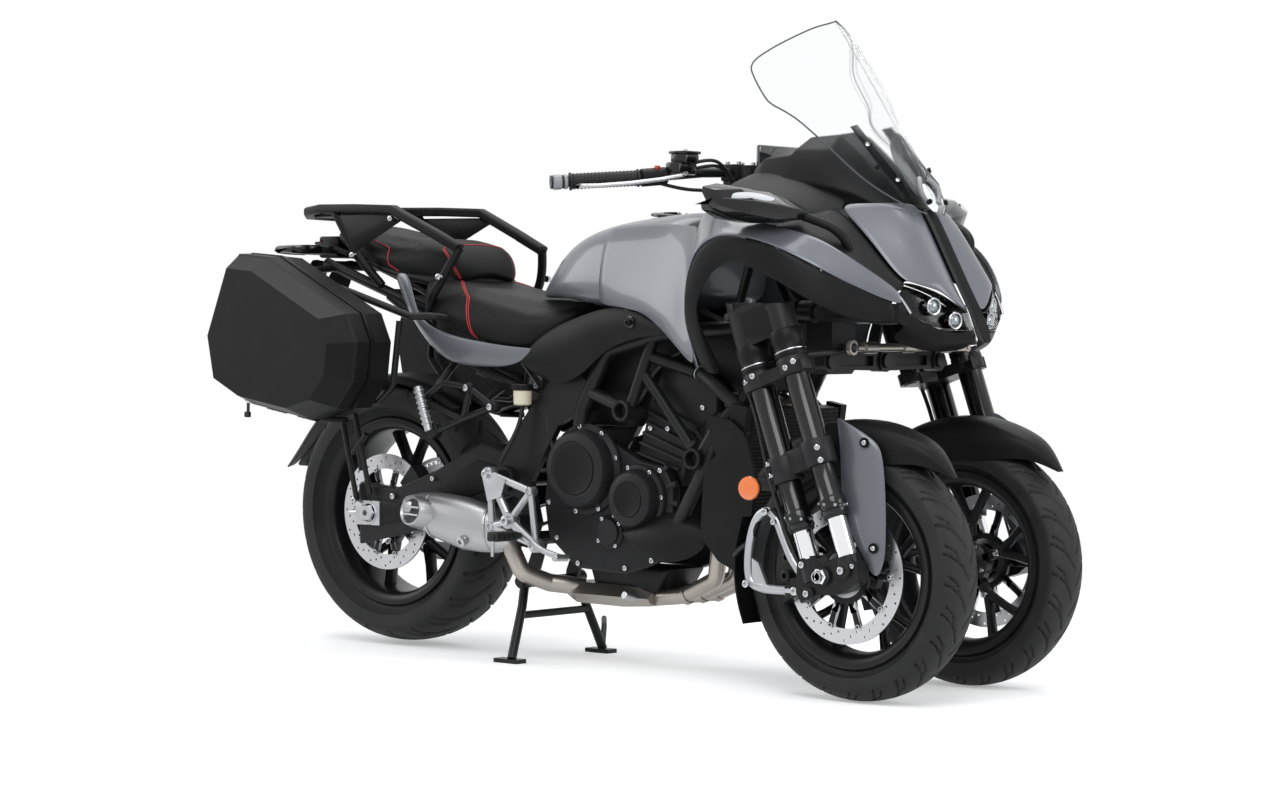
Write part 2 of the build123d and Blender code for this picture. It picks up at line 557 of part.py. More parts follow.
plate = slab([(-800, 650), (-850, 690), (-900, 690), (-985, 600), (-1085, 480), (-1100, 430), (-1080, 398),
              (-1022, 386), (-1006, 330), (-1026, 300), (-1026, 276), (-985, 270), (-958, 330), (-985, 425),
              (-900, 560), (-820, 600)], FRAME_Y - 10, FRAME_Y + 8)
side = fuse(*tubes, plate, rod((PIVOT[0], FRAME_Y - 10, PIVOT[1]), (PIVOT[0], FRAME_Y + 14, PIVOT[1]), 30))
side -= rod((R1[0], FRAME_Y - 30, R1[1]), (R1[0], FRAME_Y + 50, R1[1]), END_TUBE_BORE)
side -= rod((R2[0], FRAME_Y - 30, R2[1]), (R2[0], FRAME_Y + 50, R2[1]), END_TUBE_BORE)
head = slab([(-330, 690), (-214, 690), (-206, 700), (-206, 850), (-220, 862), (-300, 850), (-340, 800)],
            -44, 44)
cross = [rod((-975, -FRAME_Y, 560), (-975, FRAME_Y, 560), 18),
         rod((-1015, -FRAME_Y, 290), (-1015, FRAME_Y, 290), 16),
         rod((-850, -FRAME_Y, 665), (-850, FRAME_Y, 665), 16),
         rod((PIVOT[0], -FRAME_Y - 14, PIVOT[1]), (PIVOT[0], FRAME_Y + 14, PIVOT[1]), PIVOT_PIN_R)]
stand_lug = slab([(STAND_PIVOT[0] - 16, STAND_PIVOT[1] - 14), (STAND_PIVOT[0] - 14, STAND_PIVOT[1] + 16),
                  (-1030, 296), (-1000, 296), (-1020, 232), (STAND_PIVOT[0] + 14, STAND_PIVOT[1] - 14)],
                  70, 80)
stand_lugs = [rod((STAND_PIVOT[0], -112, STAND_PIVOT[1]), (STAND_PIVOT[0], 112, STAND_PIVOT[1]), 9),
              rod((STAND_PIVOT[0], 111, STAND_PIVOT[1]), (STAND_PIVOT[0], 116, STAND_PIVOT[1]), 13),
              rod((STAND_PIVOT[0], -116, STAND_PIVOT[1]), (STAND_PIVOT[0], -111, STAND_PIVOT[1]), 13),
              stand_lug, mir(stand_lug)]
SIDE_AXIS = Vector(-0.111, -0.872, -0.477).normalized()
SSP = Vector(*SIDE_STAND_PIVOT)
lug_end = SSP + SIDE_AXIS * 22
lug_elbow = lug_end + Vector(-0.829, -0.18, 0.531) * 40
side_lug = [rod(SSP - SIDE_AXIS * 18, SSP + SIDE_AXIS * 22, 8),
            rod(SSP - SIDE_AXIS * 18, SSP - SIDE_AXIS * 11, 12),
            rod(SSP + SIDE_AXIS * 11, SSP + SIDE_AXIS * 31, 14),
            pipe([SSP + SIDE_AXIS * 24, lug_elbow, Vector(-1010, 144, 287)], 9, bend=10)]
handle_axis = [Vector(-500, 0, 1130) + UP * k for k in (-175, -92, -60)]
steer_head = [rod(handle_axis[0], handle_axis[1], 25), rod((-436, 0, 985), (-300, 0, 846), 18),
              rod((-440, 20, 975), (-420, 118, 800), 11), rod((-440, -20, 975), (-420, -118, 800), 11)]
frame = fuse(side, mir(side), head, *cross, *stand_lugs, *side_lug, *steer_head,
             pivot_pin(0, -215, ARM_UP_X, ARM_UP_Z), pivot_pin(0, -215, ARM_LOW_X, ARM_LOW_Z))
frame -= rod(handle_axis[0] - UP * 5, handle_axis[1] + UP * 5, 14 + RUN)
save("main_frame", frame)

# rear subframe with the pannier carriers
sub = [
    pipe([(-905, 118, 690), (-1200, 122, 770), (-1700, 112, 935)], 13, bend=60),
    pipe([(-930, 118, 600), (-1180, 128, 690), (-1480, 116, 855)], 12, bend=60),
    pipe([(-1232, 122, 781), (-1236, 168, 802), (-1252, 204, 808), (-1300, 232, 806), (-1560, 236, 880),
          (-1660, 200, 915),
          (-1672, 110, 922)], 9, bend=25),
    pipe([(-1330, 240, 795), (-1350, 240, 640), (-1400, 240, 600), (-1600, 240, 610), (-1680, 240, 700),
          (-1640, 226, 900)], 8, bend=25),
]
sub_side = fuse(*sub)
rear_sub = fuse(sub_side, mir(sub_side), rod((-1100, -122, 742), (-1100, 122, 742), 12),
                rod((-1480, -118, 860), (-1480, 118, 860), 12),
                rod((-1680, -112, 928), (-1680, 112, 928), 12),
                rod((-940, -125, 610), (-940, 125, 610), 12))
save("rear_subframe", rear_sub)

# ---------------------------------------------------------------- engine
crankcase = slab([(-560, 300), (-545, 360), (-560, 440), (-620, 470), (-700, 500), (-820, 540), (-900, 520),
                  (-955, 480), (-965, 360), (-930, 250), (-850, 206), (-700, 200), (-600, 236)], -128, 128)
cylinders = slab([(-560, 430), (-700, 470), (-645, 640), (-500, 585)], -122, 122)
cyl_head = slab([(-652, 620), (-610, 712), (-560, 722), (-455, 655), (-455, 598), (-505, 560)], -112, 112)
engine = fuse(crankcase, cylinders, cyl_head)
engine -= block((-990, -858), (82, 140), (346, 486))
save("engine", engine)

def dome(c, r, y0, y1, flat):
    """Round cover: a drum with a chamfered outer edge, on the side y0 -> y1."""
    s = 1 if y1 > y0 else -1
    return fuse(rod((c[0], y0, c[1]), (c[0], y1 - s * 12, c[1]), r),
                Plane(origin=(c[0], y1 - s * 12, c[1]), z_dir=(0, s, 0)) * loft(
                    [Circle(r).face(), (Pos(0, 0, 12) * Circle(r - flat)).face()], ruled=True))


clutch = dome((-819, 461), 90, -128.3, -200, 16)
crank_cover = dome((-663, 399), 66, -128.3, -192, 14)
right_deck = slab([(-905, 330), (-900, 520), (-820, 552), (-735, 500), (-600, 470), (-590, 330), (-640, 300),
                   (-800, 300)], -150, -128.3)
generator = dome((-663, 399), 84, 128.3, 188, 18)
sprocket_cover = slab([(-950, 400), (-946, 462), (-890, 496), (-830, 450), (-840, 350), (-920, 335)],
                      128.3, 150)
water_pump = dome((-760, 300), 34, 128.3, 165, 8)
save("engine_covers", fuse(clutch, crank_cover, right_deck, generator, sprocket_cover, water_pump))

# ---------------------------------------------------------------- cooling
rad_core = slab([(-334, 610), (-366, 616), (-410, 330), (-376, 322)], -165, 165)
rad_tank = both(slab([(-330, 616), (-372, 624), (-416, 326), (-370, 318)], 165, 186))
shroud = slab([(-368, 588), (-330, 560), (-297, 459), (-318, 300), (-335, 248), (-400, 277), (-450, 330),
               (-440, 480), (-408, 509), (-440, 600)], 188, 196)
save("radiator", fuse(rad_core, rad_tank, both(shroud, block((-400, -360), (180, 190), (380, 560)))))
belly_side = slab([(-699, 326), (-640, 290), (-567, 262), (-495, 270), (-446, 300), (-452, 350), (-520, 372),
                   (-600, 352)], 196, 202)
belly = (both(belly_side, rod((-575, 128.3, 300), (-575, 197, 300), 8),
                         rod((-612, 128.3, 296), (-612, 197, 296), 8)))

# ---------------------------------------------------------------- exhaust
heads = []
for y in (-88, 0, 88):
    heads.append(pipe([(-454.8, y, 626), (-424, y, 626), (-432, y, 520), (-478, y * 0.95, 330),
                       (-502, y * 0.8, 222),
                       (-600, y * 0.62, 178), (-700, y * 0.5, 166)], 19, bend=24))
collector = stations([(-690, [(-70, 148), (70, 148), (84, 166), (60, 186), (-60, 186), (-84, 166)]),
                      (-760, [(-86, 144), (86, 144), (104, 168), (80, 192), (-80, 192), (-104, 168)]),
                      (-900, [(-86, 146), (86, 146), (100, 168), (80, 194), (-80, 194), (-100, 168)]),
                      (-950, [(-60, 158), (60, 158), (70, 172), (60, 190), (-60, 190), (-70, 172)])],
                      ruled=True)
link_pipe = pipe([(-900, -60, 180), (-955, -120, 190), (-990, -178, 215), (-1012, -186, 262),
                  (-1024, -186, 292)],
                 21, bend=26)
exhaust = fuse(*heads, collector, link_pipe)
save("exhaust_headers", exhaust)


def silencer_section(x, zc, hw, hh, yc):
    pts = []
    for i in range(14):
        a = 2 * math.pi * i / 14
        c, s = math.cos(a), math.sin(a)
        pts.append((yc + hw * math.copysign(abs(c) ** 0.75, c), zc + hh * math.copysign(abs(s) ** 0.75, s)))
    return (x, pts)


can = stations([silencer_section(-1026, 296, 24, 28, -184), silencer_section(-1056, 312, 38, 52, -190),
                silencer_section(-1150, 322, 48, 62, -196), silencer_section(-1250, 340, 48, 50, -202),
                silencer_section(-1300, 345, 40, 34, -206)])
can -= stations([silencer_section(-1240, 340, 34, 34, -202), silencer_section(-1330, 348, 34, 27, -207)])
can -= exhaust
save("silencer", can)


# ---------------------------------------------------------------- panels built from ribbons and half sections
def ribbon(pairs, v):
    """Thin panel through pairs of edge points, thickened by the vector v."""
    v = Vector(*v)
    faces = []
    for p, q in pairs:
        p, q = Vector(*p), Vector(*q)
        faces.append(make_face(Polyline(p, q, q + v, p + v, close=True)))
    return loft(faces, ruled=True)


def sym_loft(halves, ruled=True):
    """Solid through half sections (y, z) from bottom centre to top centre, mirrored about the middle."""
    full = []
    for x, half in halves:
        other = [(-y, z) for y, z in reversed(half) if y > 1e-6]
        full.append((x, list(half) + other))
    return stations(full, ruled=ruled)


tank = sym_loft([
    (-1042, [(0, 853), (44, 853), (56, 858), (42, 864), (0, 866)]),
    (-1010, [(0, 855), (74, 855), (94, 868), (76, 896), (0, 908)]),
    (-972, [(0, 856), (92, 856), (120, 874), (98, 930), (0, 948)]),
    (-900, [(0, 852), (112, 852), (152, 878), (132, 972), (0, 1000)]),
    (-800, [(0, 838), (128, 838), (178, 880), (160, 996), (0, 1028)]),
    (-690, [(0, 820), (134, 820), (198, 880), (182, 1002), (0, 1040)]),
    (-600, [(0, 830), (120, 830), (196, 892), (180, 1008), (0, 1048)]),
    (-548, [(0, 850), (96, 850), (176, 900), (160, 990), (0, 1010)])])
save("fuel_tank", tank)

knee = slab([(-1010, 696), (-963, 681), (-886, 653), (-820, 655), (-770, 760), (-640, 812), (-625, 826),
             (-738, 830), (-813, 820), (-894, 790)], 172, 182)
side_cowl = ribbon([
    ((-869, 178, 842), (-869, 176, 836)), ((-800, 196, 900), (-780, 192, 835)),
    ((-700, 214, 950), (-690, 206, 835)),
    ((-600, 240, 1000), (-612, 218, 829)), ((-500, 278, 1030), (-509, 236, 774)),
    ((-430, 305, 1042), (-412, 262, 712)), ((-385, 334, 1040), (-385, 288, 700))], (0, -3, 0))
save("side_cowls", both(side_cowl))
save("side_covers", fuse(belly, both(knee, rod((-870, 158.2, 680), (-870, 173, 680), 8))))

arch = ribbon([
    ((-368, 302, 700), (-328, 306, 690)), ((-380, 334, 790), (-342, 338, 793)),
    ((-366, 354, 840), (-336, 356, 840)),
    ((-358, 364, 896), (-306, 366, 887)), ((-336, 368, 952), (-276, 370, 916)),
    ((-296, 368, 980), (-240, 370, 930)),
    ((-248, 368, 987), (-212, 370, 926)), ((-186, 368, 978), (-176, 370, 912)),
    ((-118, 366, 958), (-116, 368, 888)),
    ((-60, 350, 928), (-44, 350, 842)), ((-10, 310, 893), (7, 294, 812)), ((40, 238, 855), (33, 230, 800)),
    ((62, 202, 838), (74, 190, 806))], (-1.5, -4, 0))


shoulder = ribbon([
    ((-366, 318, 1046), (-356, 363, 908)), ((-330, 314, 1044), (-336, 365, 963)),
    ((-262, 312, 1032), (-296, 365, 992)),
    ((-205, 312, 1024), (-186, 364, 988)), ((-98, 306, 1002), (-118, 362, 968)),
    ((-58, 296, 984), (-60, 345, 938)),
    ((12, 264, 938), (-10, 308, 904)), ((60, 218, 892), (40, 241, 868)), ((78, 194, 868), (62, 206, 854))],
    (-1, -3, 0))


def nose_line(z, xs):
    return (z, [(x, y) for y, x in xs])


nose = skin([
    nose_line(1062, [(26, 0), (90, -18), (158, -112), (216, -190)]),
    nose_line(1020, [(26, 30), (95, 34), (165, -56), (222, -129)]),
    nose_line(960, [(26, 64), (96, 72), (168, 12), (222, -36)]),
    nose_line(905, [(26, 98), (98, 112), (170, 76), (222, 38)]),
    nose_line(884, [(26, 106), (98, 124), (172, 96), (222, 54)])], -3.0, axis="z")
front_panels = both(shoulder, nose)
save("front_panels", front_panels)

strip = ribbon([((26, 22, 1046), (26, -22, 1046)), ((62, 22, 964), (62, -22, 964)),
                ((100, 22, 890), (100, -22, 890)),
                ((140, 22, 814), (140, -22, 814)), ((166, 20, 768), (166, -20, 768))], (-6, 0, -3))
chin = ribbon([((150, 24, 764), (120, 24, 742)), ((118, 96, 758), (96, 90, 738)),
               ((70, 160, 764), (56, 150, 742)),
               ((84, 180, 800), (36, 178, 770))], (-3, -1, 2))
save("fairing_trim", fuse(strip, both(chin), both(arch)))

lamp_half = stations([
    (878, [(102, 24), (118, 92), (88, 162), (50, 184), (22, 184), (22, 24)]),
    (816, [(134, 24), (132, 84), (90, 160), (50, 176), (22, 176), (22, 24)]),
    (772, [(150, 24), (112, 92), (68, 154), (44, 160), (22, 156), (22, 24)])], ruled=True, axis="z")
lamp_back = block((16, 22), (-180, 180), (776, 874))
save("headlight_unit", fuse(both(lamp_half), lamp_back))

dash = sym_loft([
    (-385, [(0, 1100), (88, 1100), (104, 1122), (88, 1150), (0, 1156)]),
    (-300, [(0, 1068), (116, 1068), (138, 1112), (116, 1164), (0, 1178)]),
    (-200, [(0, 1056), (120, 1056), (144, 1106), (108, 1168), (0, 1184)]),
    (-110, [(0, 1046), (104, 1046), (120, 1082), (84, 1118), (0, 1134)]),
    (-20, [(0, 1010), (66, 1010), (78, 1030), (50, 1052), (0, 1058)])])
dash_side = ribbon([((-350, 132, 1120), (-372, 302, 1048)), ((-250, 138, 1116), (-262, 296, 1032)),
                    ((-212, 130, 1108), (-208, 292, 1020))], (0, -1, -4))
dash_wing = ribbon([((-213, 130, 1108), (-214, 222, 1070)), ((-132, 110, 1090), (-134, 158, 1072))],
                   (0, -1, -4))
dash_stay = rod((-330, 100, 1080), (-322, 30, 856), 8)
save("dash_cover", fuse(dash, both(dash_side, dash_wing), both(dash_stay)))

screen_half = skin([
    (1056, [(36, 0), (32, 30), (18, 66), (-2, 98)]),
    (1100, [(14, 0), (8, 40), (-12, 86), (-48, 128)]),
    (1200, [(-50, 0), (-58, 50), (-88, 110), (-150, 158)]),
    (1284, [(-105, 0), (-116, 60), (-160, 130), (-268, 192)]),
    (1370, [(-165, 0), (-178, 60), (-225, 130), (-330, 194)]),
    (1425, [(-203, 0), (-213, 45), (-240, 96), (-290, 138)]),
    (1464, [(-232, 0), (-234, 16), (-240, 34), (-250, 52)])], -4.0, axis="z")
save("windscreen", screen_half + mir(screen_half))

mirror_body = stations([
    (262, [(-140, 1024), (-108, 1026), (-106, 1042), (-140, 1046)]),
    (320, [(-206, 1018), (-122, 1020), (-112, 1056), (-206, 1078)]),
    (392, [(-254, 1026), (-160, 1026), (-146, 1064), (-250, 1096)]),
    (440, [(-266, 1046), (-216, 1048), (-210, 1070), (-262, 1090)])], ruled=True, axis="y")
mirror_stem = pipe([(-130, 280, 1034), (-70, 262, 1012), (-20, 246, 968)], 9, bend=12)
save("mirrors", both(mirror_body, mirror_stem) - front_panels)

# ---------------------------------------------------------------- seats and tail
rider = sym_loft([
    (-905, [(0, 800), (56, 800), (72, 822), (56, 840), (0, 844)]),
    (-985, [(0, 752), (104, 752), (124, 792), (104, 832), (0, 838)]),
    (-1120, [(0, 772), (140, 772), (160, 822), (136, 856), (0, 860)]),
    (-1260, [(0, 812), (140, 812), (162, 850), (136, 874), (0, 870)]),
    (-1340, [(0, 838), (126, 838), (146, 866), (124, 884), (0, 876)])])
save("rider_seat", rider)
pillion = sym_loft([
    (-1262, [(0, 906), (84, 906), (96, 922), (80, 940), (0, 946)]),
    (-1300, [(0, 894), (112, 894), (128, 930), (108, 980), (0, 984)]),
    (-1450, [(0, 908), (118, 908), (134, 950), (112, 984), (0, 988)]),
    (-1600, [(0, 952), (108, 952), (124, 984), (100, 1008), (0, 1012)]),
    (-1700, [(0, 992), (72, 992), (84, 1002), (68, 1014), (0, 1016)])])
save("pillion_seat", pillion)
tail_side = ribbon([((-966, 162, 735), (-1027, 160, 692)), ((-1234, 170, 772), (-1245, 166, 696)),
                    ((-1336, 166, 838), (-1348, 162, 776)), ((-1385, 156, 902), (-1412, 152, 868)),
                    ((-1440, 150, 920), (-1450, 148, 905))], (0, -3, 0))
tail_under = ribbon([((-1380, 108, 882), (-1380, -108, 882)), ((-1560, 98, 936), (-1560, -98, 936)),
                     ((-1712, 76, 984), (-1712, -76, 984))], (0, 0, -4))
tail = fuse(both(tail_side, rod((-1100, 134, 724), (-1100, 162, 724), 7),
                 rod((-1380, 132, 846), (-1380, 158, 856), 7)),
            tail_under)

rail = pipe([(-1225, 150, 972), (-1404, 158, 1048), (-1440, 156, 1062), (-1700, 138, 1066),
             (-1782, 96, 1052),
             (-1782, -96, 1052), (-1700, -138, 1066), (-1440, -156, 1062), (-1404, -158, 1048),
             (-1225, -150, 972)],
            12, bend=24)
STAY_PATH = [(-1640, 146, 1062), (-1560, 148, 950), (-1502, 122, 880)]
FOOT_PATH = [(-1225, 150, 972), (-1246, 180, 900), (-1290, 182, 840), (-1320, 150, 812), (-1328, 124, 812)]
rail_stay = pipe(STAY_PATH, 10, bend=30)
rail_foot = pipe(FOOT_PATH, 9, bend=16)
tail -= both(pipe(FOOT_PATH, 11, bend=16), pipe(STAY_PATH, 12, bend=30))
save("tail_panels", tail)
carrier = block((-1776, -1712), (-92, 92), (1044, 1054))
for cx in (-1762, -1726):
    for cy in (-50, 50):
        carrier -= Pos(cx, cy, 1049) * Cylinder(CARRIER_HOLE_R, 30)
save("grab_rail", fuse(rail, both(rail_stay), carrier, both(rail_foot)) - rear_sub)

lamp = block((-1786, -1716), (-64, 64), (946, 1000))
stalk = rod((-1730, 60, 965), (-1736, 120, 966), 7)
blinker = stations([(118, [(-1770, 955), (-1700, 955), (-1700, 977), (-1770, 977)]),
                    (196, [(-1800, 958), (-1726, 960), (-1726, 974), (-1800, 974)])], ruled=True, axis="y")
save("tail_light", fuse(lamp, both(stalk, blinker)))

# ---------------------------------------------------------------- swingarm and rear end
arm_line = [(RR[0] - 42, 400), (RR[0] + 81, 392), (-1298, 440), (-1150, 512), (-1074, 490), (-1036, 440),
            (-1044, 412), (-1104, 376), (-1296, 322), (RR[0] + 115, 292), (RR[0] - 40, 262)]
arm_side = slab(arm_line, 117, 139)
arm_side -= slab([(-1280, 400), (-1160, 460), (-1110, 440), (-1130, 410), (-1290, 360)], 131, 141)
swing = fuse(both(arm_side), block((-1165, -1105), (-119, 119), (480, 508)),
             rod((PIVOT[0], -139, PIVOT[1]), (PIVOT[0], 139, PIVOT[1]), 20),
             both(block((RR[0] - 38, RR[0] + 40), (138, 146), (300, 356))),
             rod((RR[0], -156, RR[2]), (RR[0], 156, RR[2]), REAR_AXLE_R),
             rod((RR[0], -118, RR[2]), (RR[0], -97, RR[2]), 20),
             rod((RR[0], 110.3, RR[2]), (RR[0], 118, RR[2]), 20),
             both(rod((RR[0], 145, RR[2]), (RR[0], 156, RR[2]), 22)))
swing -= rod((PIVOT[0], -140, PIVOT[1]), (PIVOT[0], 140, PIVOT[1]), PIVOT_PIN_R + 0.1)
swing -= rod((RR[0], -160, RR[2]), (RR[0], 160, RR[2]), REAR_AXLE_BORE)
BOBBIN = (RR[0] + BOBBIN_AHEAD, BOBBIN_Z)
swing = fuse(swing, both(rod((BOBBIN[0], 134, BOBBIN[1]), (BOBBIN[0], 150, BOBBIN[1]), BOBBIN_R)))
for s in (-1, 1):
    swing -= rod((BOBBIN[0], s * 124, BOBBIN[1]), (BOBBIN[0], s * 154, BOBBIN[1]), BOBBIN_THREAD_R)
REAR_XZ = (RR[0], RR[2])
rear_cal = fuse(disc_sector(REAR_XZ, 96, 152, (14, 50), -110, -REAR_DISC_Y - 7),
                disc_sector(REAR_XZ, 100, 152, (14, 50), -REAR_DISC_Y + 7, -66),
                disc_sector(REAR_XZ, 143.5, 152, (14, 50), -110, -66),
                block((RR[0] + 110, RR[0] + 125), (-118, -96), (352, 392)))
save("swingarm", fuse(swing, rear_cal))
shock = fuse(rod((-1013, 0, 320), (-986, 0, 528), 24), rod((-1015, 0, 306), (-1008, 0, 352), 12),
             rod((-990, 0, 500), (-984, 0, 545), 12))
shock -= frame
save("rear_shock", shock)

HUG = ((56, 334, 70), (66, 335, 80), (78, 336, 84), (90, 337, 86), (102, 338, 86), (114, 339, 86),
       (126, 342, 84), (138, 348, 80), (148, 358, 74), (158, 378, 62), (167, 417, 46))
hug = []
for deg, r, w in HUG:
    c, s = math.cos(math.radians(deg)), math.sin(math.radians(deg))
    near = (RR[0] + r * c, RR[2] + r * s)
    far = (near[0] + 4 * c, near[1] + 4 * s)
    hug.append(make_face(Polyline((near[0], w, near[1]), (near[0], -w, near[1]), (far[0], -w, far[1]),
                                  (far[0], w, far[1]), close=True)))
hug_top = loft(hug, ruled=True)
truss = slab([(RR[0] + dx, z) for dx, z in (
    (-35, 356), (10, 356), (40, 392), (-10, 480), (-70, 606), (-114, 654), (-130, 636), (-90, 570))], 151,
    156)
truss -= slab([(RR[0] + dx, z) for dx, z in (
    (-20, 390), (5, 395), (-50, 520), (-90, 580), (-70, 520))], 145, 160)
save("rear_hugger", fuse(hug_top, both(truss, rod((RR[0] - 104, 82, 652), (RR[0] - 108, 154, 636), 8))))
chain_out = make_hull([*(Pos(RR[0], RR[2]) * Circle(127)).edges(),
                       *(Pos(*FRONT_SPROCKET) * Circle(44)).edges()])
chain_in = make_hull([*(Pos(RR[0], RR[2]) * Circle(118.6)).edges(),
                      *(Pos(*FRONT_SPROCKET) * Circle(35.6)).edges()])
chain = extrude(Rot(90, 0, 0) * (chain_out - chain_in), amount=6, both=True)
chain = Pos(0, SPROCKET_Y, 0) * chain
save("drive_chain", chain)

# ---------------------------------------------------------------- footrests
hanger = slab([(-1073, 451), (-1048, 461), (-973, 432), (-936, 417), (-911, 400), (-888, 286), (-903, 262),
               (-980, 274), (-1027, 313), (-1059, 370)], 236, 244)
hanger -= slab([(-1040, 420), (-985, 405), (-960, 385), (-1000, 350), (-1030, 370)], 230, 250)
hanger = fuse(hanger, rod((-1048, 164.2, 440), (-1048, 238, 440), 12),
              rod((-985, 158.2, 338), (-985, 238, 338), 9))
peg = fuse(rod((-940, 243, 300), (-948, 262, 302), 10), rod((-948, 258, 302), (-972, 338, 310), 13))
pillion_plate = slab([(-1069, 598), (-1148, 640), (-1220, 650), (-1315, 603), (-1259, 526), (-1190, 545)],
                     176, 184)
pillion_plate -= slab([(-1110, 600), (-1150, 622), (-1210, 630), (-1250, 600), (-1225, 562), (-1185, 570)],
                      170, 190)
pillion_peg = fuse(rod((-1262, 184, 545), (-1262, 200, 545), 9),
                   rod((-1262, 200, 545), (-1170, 206, 556), 11))
pillion_set = fuse(pillion_plate, pillion_peg, rod((-1100, 132, 640), (-1100, 178, 615), 9),
                   rod((-1260, 126, 700), (-1260, 180, 625), 8))
pedal = fuse(rod((-905, -243, 300), (-905, -262, 300), 9), rod((-905, -256, 300), (-790, -262, 262), 7),
             rod((-790, -250, 262), (-790, -290, 262), 8))
shifter = mir(pedal)
save("footrests", fuse(both(hanger, peg), both(pillion_set), pedal, shifter))

# ---------------------------------------------------------------- handlebar and controls
BAR = [(-687, 410, 1108), (-571, 270, 1120), (-515, 120, 1136), (-500, 60, 1138)]
bar = pipe(BAR + [(x, -y, z) for x, y, z in reversed(BAR)], BAR_R, bend=40)
stem_bar = rod(handle_axis[0], Vector(-500, 0, 1130), 14)
riser = block((-522, -478), (-34, 34), (1096, 1152))
cup = rod(handle_axis[1] + UP * 1, handle_axis[1] + UP * 10, 24)
weights = both(rod((-675, 396, 1109), (-699, 425, 1107), 15))
handlebar = fuse(bar, stem_bar, riser, cup, weights)
save("handlebar", handlebar)
grip = rod((-573, 272.5, 1119.8), (-672, 392, 1109.3), GRIP_R, BAR_R)
switch = rod((-548, 230, 1124), (-572, 271, 1120), 19, BAR_R)
master = fuse(block((-530, -486), (170, 226), (1128, 1178)), rod((-540, 196, 1127), (-552, 234, 1123), 16))
master -= rod((-515, 120, 1136), (-571, 270, 1120), BAR_R)
lever = pipe([(-500, 206, 1132), (-492, 232, 1124), (-560, 310, 1108), (-640, 396, 1100)], 6.5, bend=14)
controls = both(grip, switch, master, lever) - handlebar
save("hand_controls", controls)

# ---------------------------------------------------------------- stands
leg_c = pipe([(STAND_PIVOT[0] + 1, 97, STAND_PIVOT[1] - 13), (STAND_PIVOT[0] + 8, 112, 130),
              (STAND_FOOT_X, STAND_FOOT_Y, 10)],
             11, bend=30)
sleeve = rod((STAND_PIVOT[0], 82, STAND_PIVOT[1]), (STAND_PIVOT[0], 110, STAND_PIVOT[1]), 17)
foot = block((STAND_FOOT_X - 42, STAND_FOOT_X + 30), (STAND_FOOT_Y - 17, STAND_FOOT_Y + 17), (0, 10))
stand_brace = rod((STAND_PIVOT[0] + 11, -124, 108), (STAND_PIVOT[0] + 11, 124, 108), 9)
tang = pipe([(STAND_FOOT_X, STAND_FOOT_Y, 26), (STAND_FOOT_X - 30, 205, 60), (STAND_FOOT_X - 60, 240, 74)],
            7, bend=15)
centre = fuse(both(leg_c, sleeve, foot), stand_brace, tang)
centre -= rod((STAND_PIVOT[0], -130, STAND_PIVOT[1]), (STAND_PIVOT[0], 130, STAND_PIVOT[1]), 9 + RUN)
save("centre_stand", centre)
d0 = Vector(-0.99, 0.06, 0.12).normalized()
side_leg = fuse(rod(SSP - SIDE_AXIS * 10, SSP + SIDE_AXIS * 10, 16), rod(SSP + d0 * 8, SSP + d0 * 205, 10),
                Pos(*(SSP + d0 * 208)) * Box(16, 34, 46))
side_leg -= rod(SSP - SIDE_AXIS * 30, SSP + SIDE_AXIS * 30, 8 + RUN)
save("side_stand", side_leg)

# ---------------------------------------------------------------- panniers
CASE_LINE = [(-1740, 952), (-1640, 944), (-1372, 812), (-1340, 745), (-1350, 655), (-1405, 588),
             (-1500, 562),
             (-1690, 592), (-1790, 640), (-1816, 760)]
HINGE_A, HINGE_B = Vector(-1502, 331, 556), Vector(-1688, 331, 585.4)


def inset(line, d):
    face = offset(make_face(Polyline(*[(x, z, 0) for x, z in line], close=True)), amount=-d)
    verts = face.faces()[0].outer_wire().order_edges()
    return [((e @ 0).X, (e @ 0).Y) for e in verts]


def tapered(line, y0, y1, d):
    """Shell body whose outline shrinks by d from y0 to y1."""
    cx = sum(p[0] for p in line) / len(line)
    cz = sum(p[1] for p in line) / len(line)
    k = 1 - d / 220.0
    small = [(cx + (x - cx) * k, cz + (z - cz) * k) for x, z in line]
    return stations([(y0, line), (y1, small)], ruled=True, axis="y")


inner_line = inset(CASE_LINE, CASE_T)
case = slab(CASE_LINE, CASE_Y[0], CASE_Y[1]) - slab(inner_line, CASE_Y[0] + CASE_T, CASE_Y[1] + 1)
lid = fuse(slab(CASE_LINE, CASE_Y[1] + LID_GAP, CASE_Y[1] + 40),
           tapered(CASE_LINE, CASE_Y[1] + 40, CASE_Y[2], 34))
lid_void = fuse(slab(inner_line, CASE_Y[1] - 1, CASE_Y[1] + 40),
                tapered(inner_line, CASE_Y[1] + 40, CASE_Y[2] - CASE_T, 34))
lid -= lid_void
hu = (HINGE_B - HINGE_A).normalized()
span = (HINGE_B - HINGE_A).length
case_knuckles, lid_knuckles, lid_bores = [], [], []
for k in range(2):
    p = HINGE_A + hu * (span * (0.22 + 0.56 * k))
    for off, who in ((-22, case_knuckles), (0, lid_knuckles), (22, case_knuckles)):
        a, b = p + hu * (off - 10), p + hu * (off + 10)
        tab_y = (CASE_Y[1] - 9, CASE_Y[1] - 0.5) if who is case_knuckles else (CASE_Y[1] + 1.5,
            CASE_Y[1] + 10)
        who.append(rod(a, b, HINGE_R))
        who.append(block((a.X, b.X), tab_y, (a.Z - 1, a.Z + 14)))
    case_knuckles.append(rod(p - hu * 32, p + hu * 32, 2.5))
    lid_bores.append(rod(p - hu * 11, p + hu * 11, 2.5 + RUN))
case = fuse(case, *case_knuckles)
lid = fuse(lid, *lid_knuckles)
for bore_cut in lid_bores:
    lid -= bore_cut
save("left_pannier_case", case)
